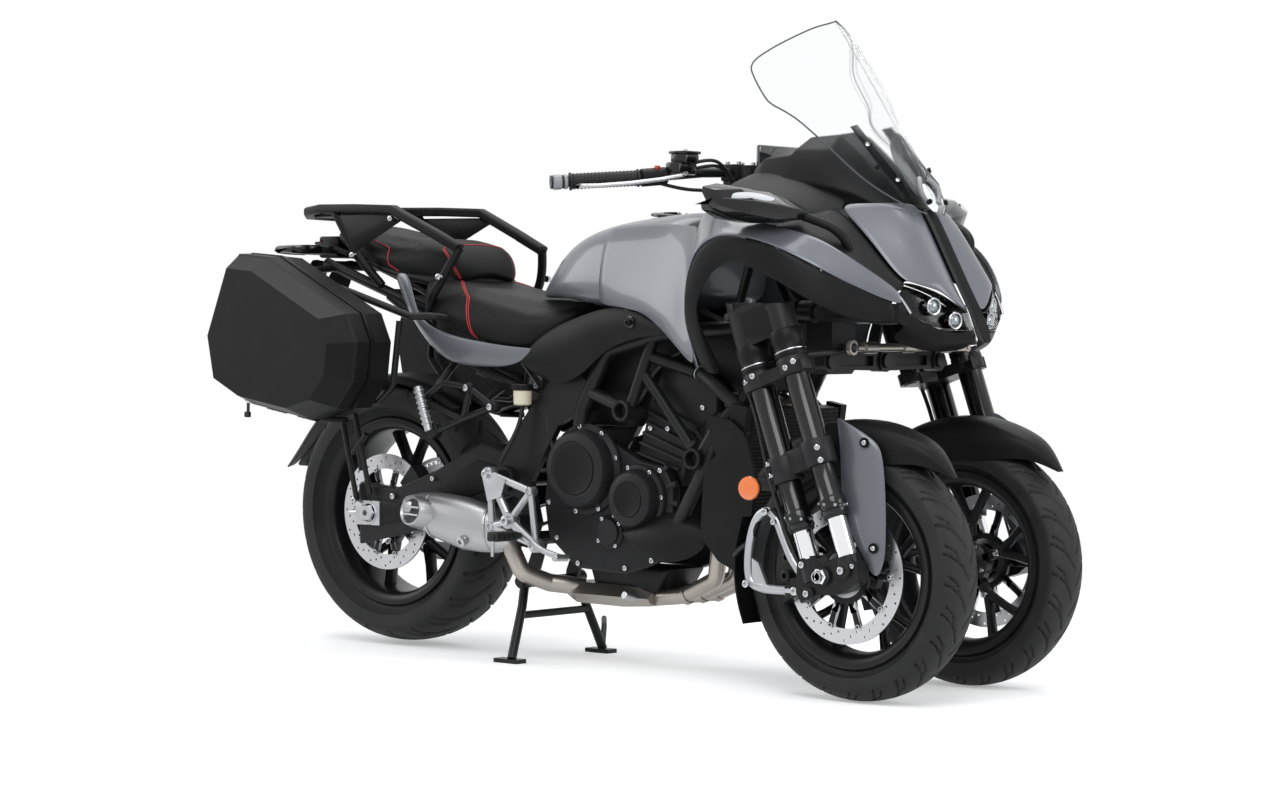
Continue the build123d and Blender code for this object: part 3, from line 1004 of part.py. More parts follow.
save("right_pannier_case", mir(case))
save("left_pannier_lid", lid)
save("right_pannier_lid", mir(lid))
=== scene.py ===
import math
import bpy
import bmesh
from mathutils import Matrix, Vector


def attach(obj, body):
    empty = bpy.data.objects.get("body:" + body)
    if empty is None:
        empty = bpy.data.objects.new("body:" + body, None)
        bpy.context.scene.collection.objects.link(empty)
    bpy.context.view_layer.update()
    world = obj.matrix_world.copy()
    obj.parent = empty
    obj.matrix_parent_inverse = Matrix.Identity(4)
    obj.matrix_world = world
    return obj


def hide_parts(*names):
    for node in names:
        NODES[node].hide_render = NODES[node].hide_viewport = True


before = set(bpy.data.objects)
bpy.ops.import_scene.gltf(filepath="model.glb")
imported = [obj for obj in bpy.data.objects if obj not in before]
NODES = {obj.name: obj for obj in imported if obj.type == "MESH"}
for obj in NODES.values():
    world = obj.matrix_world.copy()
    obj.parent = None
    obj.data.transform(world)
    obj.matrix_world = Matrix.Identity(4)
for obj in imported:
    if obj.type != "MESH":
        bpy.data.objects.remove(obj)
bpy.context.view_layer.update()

MM = 1000.0             # millimetres in a metre
AXLE_X = 0.822          # metres to the front axle line in the row frame; the shapes are drawn from it
REAR_X = -1510          # millimetres from the front axle line to the rear axle
HALF_TRACK = 205        # millimetres, like the two axle heights
FRONT_Z = 274.5
REAR_Z = 328.5


# ---------------------------------------------------------------- shader nodes
def set_inputs(tree, made, inputs):
    """Links each input that is given a socket, and sets the others to their value."""
    for key, value in inputs.items():
        if isinstance(value, bpy.types.NodeSocket):
            tree.links.new(value, made.inputs[key])
        else:
            made.inputs[key].default_value = value


def add_node(tree, kind, inputs=None, **settings):
    """A new shader node with its settings and inputs."""
    made = tree.nodes.new("ShaderNode" + kind)
    for key, value in settings.items():
        setattr(made, key, value)
    set_inputs(tree, made, inputs or {})
    return made


# ---------------------------------------------------------------- camera, lamps, floor
LENS = 93.51            # millimetres, as is the sensor's width
SENSOR = 36.0
ROLL = 0.00983424       # radians
EYE = (4.12128 + AXLE_X, -5.95618, 0.83978)
AIM = (-0.787325 + AXLE_X, 0.0, 0.618096)
LAMPS = (               # place, aim, size and power
    ("key_lamp", (2.6, -3.4, 4.2), (0, 0, 0.6), (3.0, 3.0), 150),
    ("top_lamp", (-0.4, 0.6, 4.4), (0, 0, 0.5), (4.5, 3.0), 130),
    ("front_lamp", (4.6, 0.8, 1.8), (0, 0, 0.6), (2.2, 2.6), 60),
    ("rear_lamp", (-4.2, -2.2, 2.4), (0, 0, 0.6), (2.4, 2.4), 60))
FLOOR_SIZE = 40
FLOOR_FADE = (1.2, 2.6)     # the floor goes to plain white between these distances


def build_camera():
    eye, aim = Vector(EYE), Vector(AIM)
    ahead = (aim - eye).normalized()
    right = ahead.cross(Vector((0, 0, 1))).normalized()
    up = right.cross(ahead)
    tilted_right = right * math.cos(ROLL) + up * math.sin(ROLL)
    tilted_up = up * math.cos(ROLL) - right * math.sin(ROLL)
    turn = Matrix((tilted_right, tilted_up, -ahead)).transposed()
    data = bpy.data.cameras.new("camera")
    data.lens = LENS
    data.sensor_width = SENSOR
    data.clip_end = 60.0
    cam = bpy.data.objects.new("camera", data)
    cam.matrix_world = Matrix.Translation(eye) @ turn.to_4x4()
    bpy.context.scene.collection.objects.link(cam)
    bpy.context.scene.camera = cam


def area_lamp(name, place, aim, size, power):
    data = bpy.data.lights.new(name, "AREA")
    data.shape = "RECTANGLE"
    data.size, data.size_y = size
    data.energy = power
    lamp = bpy.data.objects.new(name, data)
    lamp.location = place
    lamp.rotation_euler = (Vector(aim) - Vector(place)).to_track_quat("-Z", "Y").to_euler()
    bpy.context.scene.collection.objects.link(lamp)


def backdrop_ray(tree):
    """1 on rays that see the backdrop directly, in gloss or through glass."""
    path = add_node(tree, "LightPath")
    seen = path.outputs["Is Camera Ray"]
    for ray in ("Is Glossy Ray", "Is Transmission Ray"):
        seen = add_node(tree, "Math", {0: seen, 1: path.outputs[ray]}, operation="MAXIMUM").outputs[0]
    return seen


def build_world():
    world = bpy.data.worlds.new("studio")
    bpy.context.scene.world = world
    world.use_nodes = True
    tree = world.node_tree
    tree.nodes.clear()
    soft = add_node(tree, "Background", {"Color": (0.93, 0.96, 1.0, 1), "Strength": 0.55})
    white = add_node(tree, "Background", {"Color": (1, 1, 1, 1), "Strength": 1.0})
    mix = add_node(tree, "MixShader", {0: backdrop_ray(tree), 1: soft.outputs[0], 2: white.outputs[0]})
    add_node(tree, "OutputWorld", {"Surface": mix.outputs[0]})


def build_floor():
    """A pale floor that takes the shadow and fades to plain white further out."""
    bpy.ops.mesh.primitive_plane_add(size=FLOOR_SIZE, location=(0, 0, 0))
    floor = bpy.context.object
    floor.name = "floor"
    paint = bpy.data.materials.new("floor_white")
    paint.use_nodes = True
    tree = paint.node_tree
    tree.nodes.clear()
    base = add_node(tree, "BsdfDiffuse", {"Color": (0.82, 0.82, 0.82, 1)})
    glow = add_node(tree, "Emission", {"Strength": 0.34})
    near = add_node(tree, "AddShader", {0: base.outputs[0], 1: glow.outputs[0]})
    far_white = add_node(tree, "Emission")
    where = add_node(tree, "TexCoord")
    reach = add_node(tree, "VectorMath", {0: where.outputs["Object"]}, operation="LENGTH")
    fade = add_node(tree, "MapRange", {"From Min": FLOOR_FADE[0], "From Max": FLOOR_FADE[1],
                                       "Value": reach.outputs["Value"]})
    seen = add_node(tree, "MixShader", {0: fade.outputs["Result"], 1: near.outputs[0],
            2: far_white.outputs[0]})
    mix = add_node(tree, "MixShader", {0: backdrop_ray(tree), 1: base.outputs[0], 2: seen.outputs[0]})
    add_node(tree, "OutputMaterial", {"Surface": mix.outputs[0]})
    floor.data.materials.append(paint)


def build_studio():
    bpy.context.scene.view_settings.view_transform = "Standard"
    build_world()
    for lamp in LAMPS:
        area_lamp(*lamp)
    build_floor()


# ---------------------------------------------------------------- shared shader groups
COLOUR, FLOAT, VECTOR = "NodeSocketColor", "NodeSocketFloat", "NodeSocketVector"
GREY = (0.5, 0.5, 0.5, 1)
DUST_COLOUR = (0.35, 0.34, 0.32, 1)


def new_group(name, inputs, outputs):
    group = bpy.data.node_groups.new(name, "ShaderNodeTree")
    for label, kind, value in inputs:
        group.interface.new_socket(label, in_out="INPUT", socket_type=kind).default_value = value
    for label, kind in outputs:
        group.interface.new_socket(label, in_out="OUTPUT", socket_type=kind)
    return group, group.nodes.new("NodeGroupInput").outputs, group.nodes.new("NodeGroupOutput")


def surface_grain_group():
    """Fine grain: a height for bump, a roughness and a slightly varied colour."""
    group, given, result = new_group("surface_grain", [
        ("Color", COLOUR, GREY), ("Scale", FLOAT, 400.0), ("Roughness", FLOAT, 0.4),
        ("Roughness Range", FLOAT, 0.1), ("Colour Range", FLOAT, 0.05), ("Stretch", VECTOR, (1, 1, 1))],
        [("Color", COLOUR), ("Roughness", FLOAT), ("Height", FLOAT)])
    where = add_node(group, "TexCoord").outputs["Object"]
    stretch = add_node(group, "VectorMath", {0: where, 1: given["Stretch"]}, operation="MULTIPLY")
    fine = add_node(group, "TexNoise", {"Detail": 3.0, "Vector": stretch.outputs[0], "Scale": given["Scale"]})
    cloud = add_node(group, "TexNoise", {"Scale": 9.0, "Detail": 4.0, "Vector": where})
    centred = add_node(group, "Math", {0: cloud.outputs["Fac"], 1: 0.5}, operation="SUBTRACT").outputs[0]
    rough = add_node(group, "Math", {0: centred, 1: given["Roughness Range"], 2: given["Roughness"]},
                     operation="MULTIPLY_ADD", use_clamp=True)
    gain = add_node(group, "Math", {0: centred, 1: given["Colour Range"], 2: 1.0}, operation="MULTIPLY_ADD")
    tint = add_node(group, "VectorMath", {0: given["Color"], "Scale": gain.outputs[0]}, operation="SCALE")
    set_inputs(group, result, {"Color": tint.outputs[0], "Roughness": rough.outputs[0],
            "Height": fine.outputs["Fac"]})
    return group


def edge_dust_group():
    """Lightens noisy patches with a little dust and brightens worn edges."""
    group, given, result = new_group(
        "edge_dust",
        [("Color", COLOUR, GREY), ("Wear Color", COLOUR, GREY), ("Wear", FLOAT, 0.2), ("Dust", FLOAT, 0.1)],
        [("Color", COLOUR)])
    shape = add_node(group, "NewGeometry")
    edge = add_node(group, "MapRange", {"From Min": 0.52, "From Max": 0.62,
            "Value": shape.outputs["Pointiness"]})
    wear = add_node(group, "Math", {0: edge.outputs["Result"], 1: given["Wear"]}, operation="MULTIPLY")
    worn = add_node(group, "Mix", {0: wear.outputs[0], 6: given["Color"], 7: given["Wear Color"]},
                    data_type="RGBA")
    where = add_node(group, "TexCoord")
    patch = add_node(group, "TexNoise", {"Scale": 14.0, "Detail": 6.0, "Vector": where.outputs["Object"]})
    low = add_node(group, "MapRange", {"From Min": 0.45, "From Max": 0.8, "Value": patch.outputs["Fac"]})
    dust = add_node(group, "Math", {0: low.outputs["Result"], 1: given["Dust"]}, operation="MULTIPLY")
    dusty = add_node(group, "Mix", {0: dust.outputs[0], 6: worn.outputs[2], 7: DUST_COLOUR}, data_type="RGBA")
    set_inputs(group, result, {"Color": dusty.outputs[2]})
    return group


GRAIN, EDGE = surface_grain_group(), edge_dust_group()
FINISH = {}


def new_material(name):
    mat = bpy.data.materials.new(name)
    mat.use_nodes = True
    FINISH[name] = mat
    return mat.node_tree, mat.node_tree.nodes["Principled BSDF"]


def finish(name, colour, rough, metallic=0.0, coat=0.0, grain=500.0, bump=0.05, rough_range=0.12,
           colour_range=0.08, stretch=(1, 1, 1), wear=0.0, wear_colour=(0.4, 0.4, 0.4), dust=0.0, sheen=0.0,
           specular=0.5):
    """An opaque material with its own grain, and wear and dust where they are given."""
    tree, shader = new_material(name)
    grained = add_node(tree, "Group", node_tree=GRAIN)
    set_inputs(tree, grained, {"Color": (*colour, 1), "Scale": grain, "Roughness": rough,
            "Colour Range": colour_range, "Roughness Range": rough_range, "Stretch": stretch})
    colour_out = grained.outputs["Color"]
    if wear or dust:
        worn = add_node(tree, "Group", node_tree=EDGE)
        set_inputs(tree, worn, {"Wear": wear, "Dust": dust, "Wear Color": (*wear_colour, 1),
                                "Color": colour_out})
        colour_out = worn.outputs["Color"]
    lift = add_node(tree, "Bump", {"Strength": bump, "Distance": 0.001, "Height": grained.outputs["Height"]})
    set_inputs(tree, shader, {"Metallic": metallic, "Coat Weight": coat, "Coat Roughness": 0.06,
                              "Sheen Weight": sheen, "Specular IOR Level": specular, "Base Color": colour_out,
                              "Roughness": grained.outputs["Roughness"], "Normal": lift.outputs["Normal"]})


def clear_finish(name, colour, rough, alpha):
    """A clear or tinted material; one that is mostly opaque isn't also see-through glass."""
    tree, shader = new_material(name)
    where = add_node(tree, "TexCoord")
    smoke = add_node(tree, "TexNoise", {"Scale": 3.0, "Vector": where.outputs["Object"]})
    lift = add_node(tree, "Bump", {"Strength": 0.01, "Height": smoke.outputs["Fac"]})
    set_inputs(tree, shader, {"Base Color": (*colour, 1), "Roughness": rough,
                              "Transmission Weight": 1.0 if alpha < 0.5 else 0.0, "IOR": 1.03,
                              "Normal": lift.outputs["Normal"], "Alpha": alpha})


def build_finishes():
    finish("paint_grey", (0.112, 0.120, 0.136), 0.38, metallic=0.25, coat=0.4, grain=2600, bump=0.02,
           rough_range=0.05, colour_range=0.04)
    finish("satin_black", (0.007, 0.007, 0.0075), 0.42, grain=1500, bump=0.10, dust=0.01, specular=0.12)
    finish("grained_black", (0.008, 0.008, 0.0085), 0.48, grain=900, bump=0.20, dust=0.01, specular=0.13)
    finish("gloss_black", (0.004, 0.004, 0.0045), 0.16, coat=0.25, grain=300, bump=0.01, specular=0.3)
    finish("black_metal", (0.009, 0.009, 0.0095), 0.34, metallic=0.1, grain=700, bump=0.08, wear=0.10,
           wear_colour=(0.08, 0.08, 0.08), dust=0.01, specular=0.2)
    finish("cast_black", (0.011, 0.011, 0.012), 0.44, metallic=0.15, grain=420, bump=0.22, wear=0.10,
           wear_colour=(0.09, 0.09, 0.09), dust=0.02, specular=0.2)
    finish("satin_silver", (0.40, 0.41, 0.43), 0.34, metallic=0.9, grain=900, bump=0.05, wear=0.1,
           wear_colour=(0.75, 0.75, 0.76), dust=0.05)
    finish("bright_steel", (0.48, 0.48, 0.50), 0.22, metallic=1.0, grain=200, bump=0.03)
    finish("ground_steel", (0.50, 0.50, 0.52), 0.30, metallic=1.0, grain=900, bump=0.06, colour_range=0.15)
    finish("chrome", (0.85, 0.85, 0.87), 0.07, metallic=1.0, grain=200, bump=0.0, rough_range=0.03)
    finish("header_metal", (0.36, 0.33, 0.30), 0.33, metallic=0.95, grain=120, bump=0.05, colour_range=0.5,
           rough_range=0.25, dust=0.08)
    finish("silencer_metal", (0.38, 0.38, 0.39), 0.38, metallic=0.95, grain=700, bump=0.06, colour_range=0.1)
    finish("tyre_rubber", (0.010, 0.010, 0.0105), 0.62, grain=1400, bump=0.25, dust=0.03, specular=0.3)
    finish("soft_rubber", (0.008, 0.008, 0.008), 0.55, grain=1200, bump=0.2, dust=0.02, specular=0.3)
    finish("lens_dark", (0.02, 0.02, 0.022), 0.06, coat=1.0, grain=60, bump=0.0, rough_range=0.02)
    finish("seat_black", (0.008, 0.008, 0.0085), 0.50, grain=650, bump=0.4, sheen=0.01, specular=0.12)
    finish("seat_grey", (0.019, 0.019, 0.020), 0.58, grain=650, bump=0.5, sheen=0.02, specular=0.15)
    finish("orange_lens", (0.75, 0.16, 0.02), 0.12, coat=1.0, grain=60, bump=0.0)
    finish("red_lens", (0.32, 0.01, 0.01), 0.10, coat=1.0, grain=60, bump=0.0)
    finish("cream_plastic", (0.62, 0.58, 0.44), 0.4, grain=300, bump=0.02)
    finish("projector_glass", (0.25, 0.28, 0.30), 0.05, metallic=0.7, coat=1.0, grain=60, bump=0.0)
    finish("lamp_white", (0.78, 0.80, 0.82), 0.2, coat=1.0, grain=60, bump=0.0)
    finish("carbon_weave", (0.020, 0.020, 0.022), 0.3, coat=0.5, grain=900, bump=0.3, stretch=(1, 1, 0.2))
    finish("grey_plastic", (0.22, 0.23, 0.24), 0.4, grain=600, bump=0.1)
    finish("red_thread", (0.42, 0.010, 0.012), 0.55, grain=1600, bump=0.3)
    finish("mirror_glass", (0.85, 0.87, 0.9), 0.03, metallic=1.0, grain=50, bump=0.0, rough_range=0.01)
    clear_finish("screen_clear", (0.93, 0.95, 0.96), 0.03, 0.35)
    clear_finish("smoke_tint", (0.10, 0.105, 0.11), 0.08, 0.62)
    # painted shade: a grey tint that paints the dark look of the clear screen's edge
    clear_finish("painted_screen_edge_shade", (0.10, 0.11, 0.115), 0.2, 0.9)
    clear_finish("lens_clear", (0.95, 0.96, 0.97), 0.02, 0.30)
    clear_finish("lens_clear_ribbed", (0.62, 0.64, 0.66), 0.12, 0.85)


NODE_FINISH = {         # what each CAD node wears; a star stands for left and right
    "paint_grey": "fuel_tank side_cowls front_panels tail_panels",
    "satin_black": "fairing_trim dash_cover side_covers rear_hugger radiator grab_rail *_mudguard",
    "grained_black": "*_pannier_case *_pannier_lid",
    "black_metal": "main_frame rear_subframe swingarm upper_tilt_arm lower_tilt_arm *_knuckle *_fork "
                   "*_axle_bracket centre_stand side_stand handlebar *_front_rim rear_rim",
    "cast_black": "engine engine_covers rear_shock",
    "header_metal": "exhaust_headers tie_rod tie_rod_swivel",
    "silencer_metal": "silencer",
    "satin_silver": "footrests",
    "chrome": "*_stanchions",
    "ground_steel": "*_front_disc rear_disc rear_sprocket drive_chain",
    "tyre_rubber": "*_front_tyre rear_tyre",
    "soft_rubber": "hand_controls *_brake_hose",
    "seat_black": "rider_seat pillion_seat",
    "lens_dark": "headlight_unit tail_light",
    "gloss_black": "mirrors",
    "screen_clear": "windscreen"}


def dress_nodes():
    """Every CAD node gets its finish; a replaced node keeps it unseen."""
    for finish_name, names in NODE_FINISH.items():
        for name in names.split():
            for side in ("left", "right"):
                for slot in NODES[name.replace("*", side)].material_slots:
                    slot.material = FINISH[finish_name]


# ---------------------------------------------------------------- modelling helpers
SIDES = (("left", 1), ("right", -1))
WELD = 1e-5             # metres between points that become one
SPIN_WELD = 2e-6
MIRROR_WELD = 0.0004


def at(x, y, z):
    """A place in millimetres from the front axle line, given in metres in the row frame."""
    return Vector((x / MM + AXLE_X, y / MM, z / MM))


def in_mm(place):
    """The way back: a place in metres as millimetres from the front axle line."""
    return (place - Vector((AXLE_X, 0, 0))) * MM


def rows_at(rows):
    return [[at(*point) for point in row] for row in rows]


def sided(points, sign):
    """Points of the left side, or their mirror images on the right."""
    return [(x, sign * y, z) for x, y, z in points]


def on_both_sides(make):
    for side, sign in SIDES:
        make(side, sign)


def let_go():
    if bpy.context.object and bpy.context.object.mode != "OBJECT":
        bpy.ops.object.mode_set(mode="OBJECT")
    bpy.ops.object.select_all(action="DESELECT")


def take(obj):
    """Makes one piece the selected and active one."""
    let_go()
    obj.select_set(True)
    bpy.context.view_layer.objects.active = obj
    return obj


def named(obj, name):
    obj.name = name
    obj.data.name = name
    return obj


def edit(obj, action="SELECT"):
    """Opens a piece in edit mode with everything selected, or nothing with DESELECT."""
    take(obj)
    bpy.ops.object.mode_set(mode="EDIT")
    bpy.ops.mesh.select_all(action=action)
    return bmesh.from_edit_mesh(obj.data)


def close_edit():
    """Points all faces outwards and leaves edit mode."""
    bpy.ops.mesh.select_all(action="SELECT")
    bpy.ops.mesh.normals_make_consistent(inside=False)
    bpy.ops.object.mode_set(mode="OBJECT")


def apply_modifier(obj, kind, **settings):
    take(obj)
    mod = obj.modifiers.new(kind.lower(), kind)
    for key, value in settings.items():
        setattr(mod, key, value)
    bpy.ops.object.modifier_apply(modifier=mod.name)
    return obj


def merge_doubles(obj):
    edit(obj)
    bpy.ops.mesh.remove_doubles(threshold=WELD)
    close_edit()
    return obj


def closed_line(name, points, fill="NOTHING"):
    """A closed line, or with NGON a face, through points in metres."""
    let_go()
    bpy.ops.mesh.primitive_circle_add(vertices=len(points), radius=1, fill_type=fill)
    obj = named(bpy.context.object, name)
    for vert, point in zip(obj.data.vertices, points):
        vert.co = point
    return obj


def grid_sheet(name, rows):
    """A sheet of faces bent through rows of points (metres)."""
    let_go()
    bpy.ops.mesh.primitive_grid_add(x_subdivisions=len(rows[0]) - 1, y_subdivisions=len(rows) - 1, size=1)
    obj = named(bpy.context.object, name)
    points = [p for row in rows for p in row]
    for vert, point in zip(obj.data.vertices, points):
        vert.co = point
    return obj


def ring_loft(name, rings, caps=True):
    """A skin through rings with the same number of points, drawn out ring by ring and closed by caps."""
    obj = closed_line(name, rings[0])
    edit(obj)
    if caps:
        bpy.ops.mesh.edge_face_add()
        bpy.ops.mesh.select_all(action="SELECT")
    draw_out = bpy.ops.mesh.extrude_region_move if caps else bpy.ops.mesh.extrude_edges_move
    for ring in rings[1:]:
        draw_out()
        mesh = bmesh.from_edit_mesh(obj.data)
        mesh.verts.ensure_lookup_table()
        for vert, point in zip(mesh.verts[-len(ring):], ring):
            vert.co = point
        bmesh.update_edit_mesh(obj.data)
    close_edit()
    return obj


def turned_to(way, place):
    """The matrix that carries a shape drawn up the z axis to a direction and a place (metres)."""
    turn = Vector((0, 0, 1)).rotation_difference(Vector(way).normalized())
    return Matrix.Translation(place) @ turn.to_matrix().to_4x4()


def lathe(name, profile, centre, way=(0, 1, 0), steps=48):
    """A turned piece: a closed outline of (radius, along) millimetres spun about an axis through centre."""
    obj = closed_line(name, [Vector((radius / MM, 0, along / MM)) for radius, along in profile])
    edit(obj)
    bpy.ops.mesh.spin(steps=steps, angle=math.tau, center=(0, 0, 0), axis=(0, 0, 1))
    bpy.ops.mesh.select_all(action="SELECT")
    bpy.ops.mesh.remove_doubles(threshold=SPIN_WELD)
    close_edit()
    obj.data.transform(turned_to(way, centre))
    return obj


def side_lathe(name, profile, x, y, z, sign, steps=64):
    """A turned piece that faces outwards from the side of the vehicle."""
    return lathe(name, profile, at(x, sign * y, z), (0, sign, 0), steps)


def soften(obj, width=1.5, segments=2, angle=35):
    """Rounds the sharp edges by width millimetres."""
    return apply_modifier(obj, "BEVEL", width=width / MM, segments=segments, limit_method="ANGLE",
                          angle_limit=math.radians(angle), harden_normals=False)


def slab(name, corners, push):
    """A flat face through corners, pushed out to a solid piece (metres)."""
    obj = closed_line(name, corners, "NGON")
    edit(obj)
    bpy.ops.mesh.extrude_region_move(TRANSFORM_OT_translate={"value": push})
    close_edit()
    return obj


def plate(name, outline, y0, y1, edge=1.5):
    """A flat piece with a side-view outline of (x, z) millimetres between two Y planes."""
    return soften(slab(name, [at(x, y0, z) for x, z in outline], (0, (y1 - y0) / MM, 0)), edge)


def plate_between(name, corners, sign, thick):
    """A thin flat piece through a closed line of corners on the left side, or mirrored to the right."""
    corners = [at(*corner) for corner in sided(corners, sign)]
    return soften(slab(name, corners, (-thick / MM, -sign * thick / MM, 0)), 0.8)


def box_piece(name, low, high, edge=2.0, segments=2):
    let_go()
    bpy.ops.mesh.primitive_cube_add(size=1)
    obj = named(bpy.context.object, name)
    a, b = at(*low), at(*high)
    for vert in obj.data.vertices:
        vert.co = Vector([a[i] if vert.co[i] < 0 else b[i] for i in range(3)])
    merge_doubles(obj)
    return soften(obj, edge, segments)


def side_box(name, low, high, sign, edge=2.0):
    """A box between two corners of the left side, or its mirror image on the right."""
    near, far = sorted((sign * low[1], sign * high[1]))
    return box_piece(name, (low[0], near, low[2]), (high[0], far, high[2]), edge)


def tube(name, points, radius, resolution=6, round_steps=6, smooth=True):
    """A round tube along a line of points (millimetres)."""
    let_go()
    data = bpy.data.curves.new(name, "CURVE")
    data.dimensions = "3D"
    line = data.splines.new("NURBS" if smooth else "POLY")
    line.points.add(len(points) - 1)
    for spot, point in zip(line.points, points):
        spot.co = (*at(*point), 1)
    if smooth:
        line.order_u = 3
        line.use_endpoint_u = True
        data.resolution_u = resolution
    data.bevel_depth = radius / MM
    data.bevel_resolution = round_steps
    data.use_fill_caps = True
    obj = bpy.data.objects.new(name, data)
    bpy.context.scene.collection.objects.link(obj)
    take(obj)
    bpy.ops.object.convert(target="MESH")
    return merge_doubles(named(bpy.context.object, name))


def rod_piece(name, a, b, radius, edge=1.0, sides=24):
    a, b = at(*a), at(*b)
    length = (b - a).length * MM
    edge = min(edge, radius * 0.4, length * 0.4)
    outline = [(0, 0), (radius - edge, 0), (radius, edge), (radius, length - edge), (radius - edge, length),
               (0, length)]
    return lathe(name, outline, a, (b - a), sides)


def bolt_shape(radius):
    """A socket head screw, its seat at z = 0, head up; the socket is inset, raised at its rim and sunk."""
    let_go()
    size = radius / MM
    bpy.ops.mesh.primitive_cylinder_add(vertices=18, radius=size, depth=size * 1.1,
            location=(0, 0, size * 0.45))
    obj = named(bpy.context.object, "screw")
    mesh = edit(obj, "DESELECT")
    bpy.ops.mesh.select_mode(type="FACE")
    mesh.faces.ensure_lookup_table()
    top = max(mesh.faces, key=lambda f: f.calc_center_median().z)
    top.select = True
    bmesh.update_edit_mesh(obj.data)
    bpy.ops.mesh.inset(thickness=size * 0.14)
    bpy.ops.transform.translate(value=(0, 0, size * 0.10))
    bpy.ops.mesh.inset(thickness=size * 0.34)
    bpy.ops.mesh.extrude_region_move(TRANSFORM_OT_translate={"value": (0, 0, -size * 0.6)})
    bpy.ops.object.mode_set(mode="OBJECT")
    obj.data.transform(Matrix.Translation(obj.location))
    obj.location = (0, 0, 0)
    return obj


def screws(name, body, places, finish_name="bright_steel"):
    """Socket screws at (place in millimetres, outward direction, head radius) on one body."""
    copies = []
    for place, way, radius in places:
        one = bolt_shape(radius)
        one.data.transform(turned_to(way, at(*place)))
        copies.append(one)
    return finished(join(name, copies), finish_name, body, smooth=40)


def side_spots(spots, sign, head=None):
    """Places for screws that face outwards: (x, y, z, head), or (x, y, z) and one head radius for all."""
    return [((s[0], sign * s[1], s[2]), (0, sign, 0), head or s[3]) for s in spots]


def join(name, pieces):
    if len(pieces) > 1:
        let_go()
        for piece in pieces:
            piece.select_set(True)
        bpy.context.view_layer.objects.active = pieces[0]
        bpy.ops.object.join()
    return named(pieces[0], name)


def mirrored(obj):
    """Adds the other half across the middle plane, merging what meets there."""
    return apply_modifier(obj, "MIRROR", use_axis=(False, True, False), use_clip=True, use_mirror_merge=True,
                          merge_threshold=MIRROR_WELD)


def rounded(obj, levels=2):
    return apply_modifier(obj, "SUBSURF", levels=levels, render_levels=levels)


def thicken(obj, thickness):
    """Gives a sheet its wall; a negative value grows it outwards."""
    return apply_modifier(obj, "SOLIDIFY", thickness=thickness / MM, offset=-1, use_even_offset=False)


def face_sideways(obj, sign=1):
    """Turns a side panel's faces away from the middle of the vehicle."""
    if sign * sum(f.normal.y * f.area for f in obj.data.polygons) < 0:
        obj.data.flip_normals()


def panel(name, rows, wall=2.5, levels=2):
    """A moulded panel through rows of points on the left side; the right one is its mirror image."""
    sheet = rounded(grid_sheet(name, rows_at(rows)), levels)
    edit(sheet)
    close_edit()
    face_sideways(sheet)
    thicken(sheet, wall)
    return mirrored(soften(sheet, 0.7, 1, 60))


def panel_side(name, rows, sign, wall):
    """A moulded panel on one side only."""
    sheet = rounded(grid_sheet(name, rows_at([sided(row, sign) for row in rows])))
    face_sideways(sheet, sign)
    return thicken(sheet, wall)


def closed_half(name, table):
    """A closed shell through lines of (y, z) at each x, drawn for the left half."""
    shell = mirrored(grid_sheet(name, rows_at([[(x, y, z) for y, z in line] for x, line in table])))
    edit(shell, "DESELECT")
    bpy.ops.mesh.select_mode(type="EDGE")
    bpy.ops.mesh.select_non_manifold(extend=False)
    bpy.ops.mesh.fill_holes(sides=0)
    close_edit()
    return shell


def finished(obj, finish_name, body="chassis", replaces=(), smooth=35):
    """Shades and dresses a piece and puts it on its body; it may stand for CAD nodes."""
    take(obj)
    bpy.ops.object.shade_smooth_by_angle(angle=math.radians(smooth))
    obj.data.materials.clear()
    obj.data.materials.append(FINISH[finish_name])
    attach(obj, body)
    if replaces:
        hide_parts(*replaces)
    return obj


# ---------------------------------------------------------------- wheels
GROOVES = (             # start and stop across the half tread, shift, slant, hook and half width round it
    (0.06, 0.62, 0.0, 0.85, 0.50, 0.060),
    (0.34, 0.97, 0.42, 0.55, -0.10, 0.055),
    (0.50, 0.90, 0.80, 0.40, 0.0, 0.040))
GROOVE_DEPTH = 4.2
HOOK_START = 0.7
CROWN_STEPS = 40
CROWN_ANGLE = 78        # degrees of the crown's arc to each side
CROWN_WIDTH = 0.985     # share of the half width
TREAD_STEPS = 560
SPOKE_COUNT = 5
CARRIER_ARMS = 10
BUTTONS = 10
FRONT_RIM, REAR_RIM = (190.5, 88), (216, 140)       # radius and width


def groove_depth(turn_share, across, blocks, flip):
    """How deep the tread is cut, 0 to 1: slanted grooves that hook back near the shoulder."""
    v = abs(across)
    depth = 0.0
    for start, stop, shift, slant, hook, width in GROOVES:
        if not start < v < stop:
            continue
        s = (v - start) / (stop - start)
        line = shift + slant * s * 0.9 + hook * max(s - HOOK_START, 0.0) + (0.5 if across > 0 else 0.0)
        off = (turn_share * blocks * flip - line + 0.5) % 1.0 - 0.5
        taper = min(1.0, s / 0.12, (1 - s) / 0.10)
        if abs(off) < width * (0.5 + 0.5 * taper):
            depth = max(depth, 1.0 - (abs(off) / width) ** 4)
    return depth


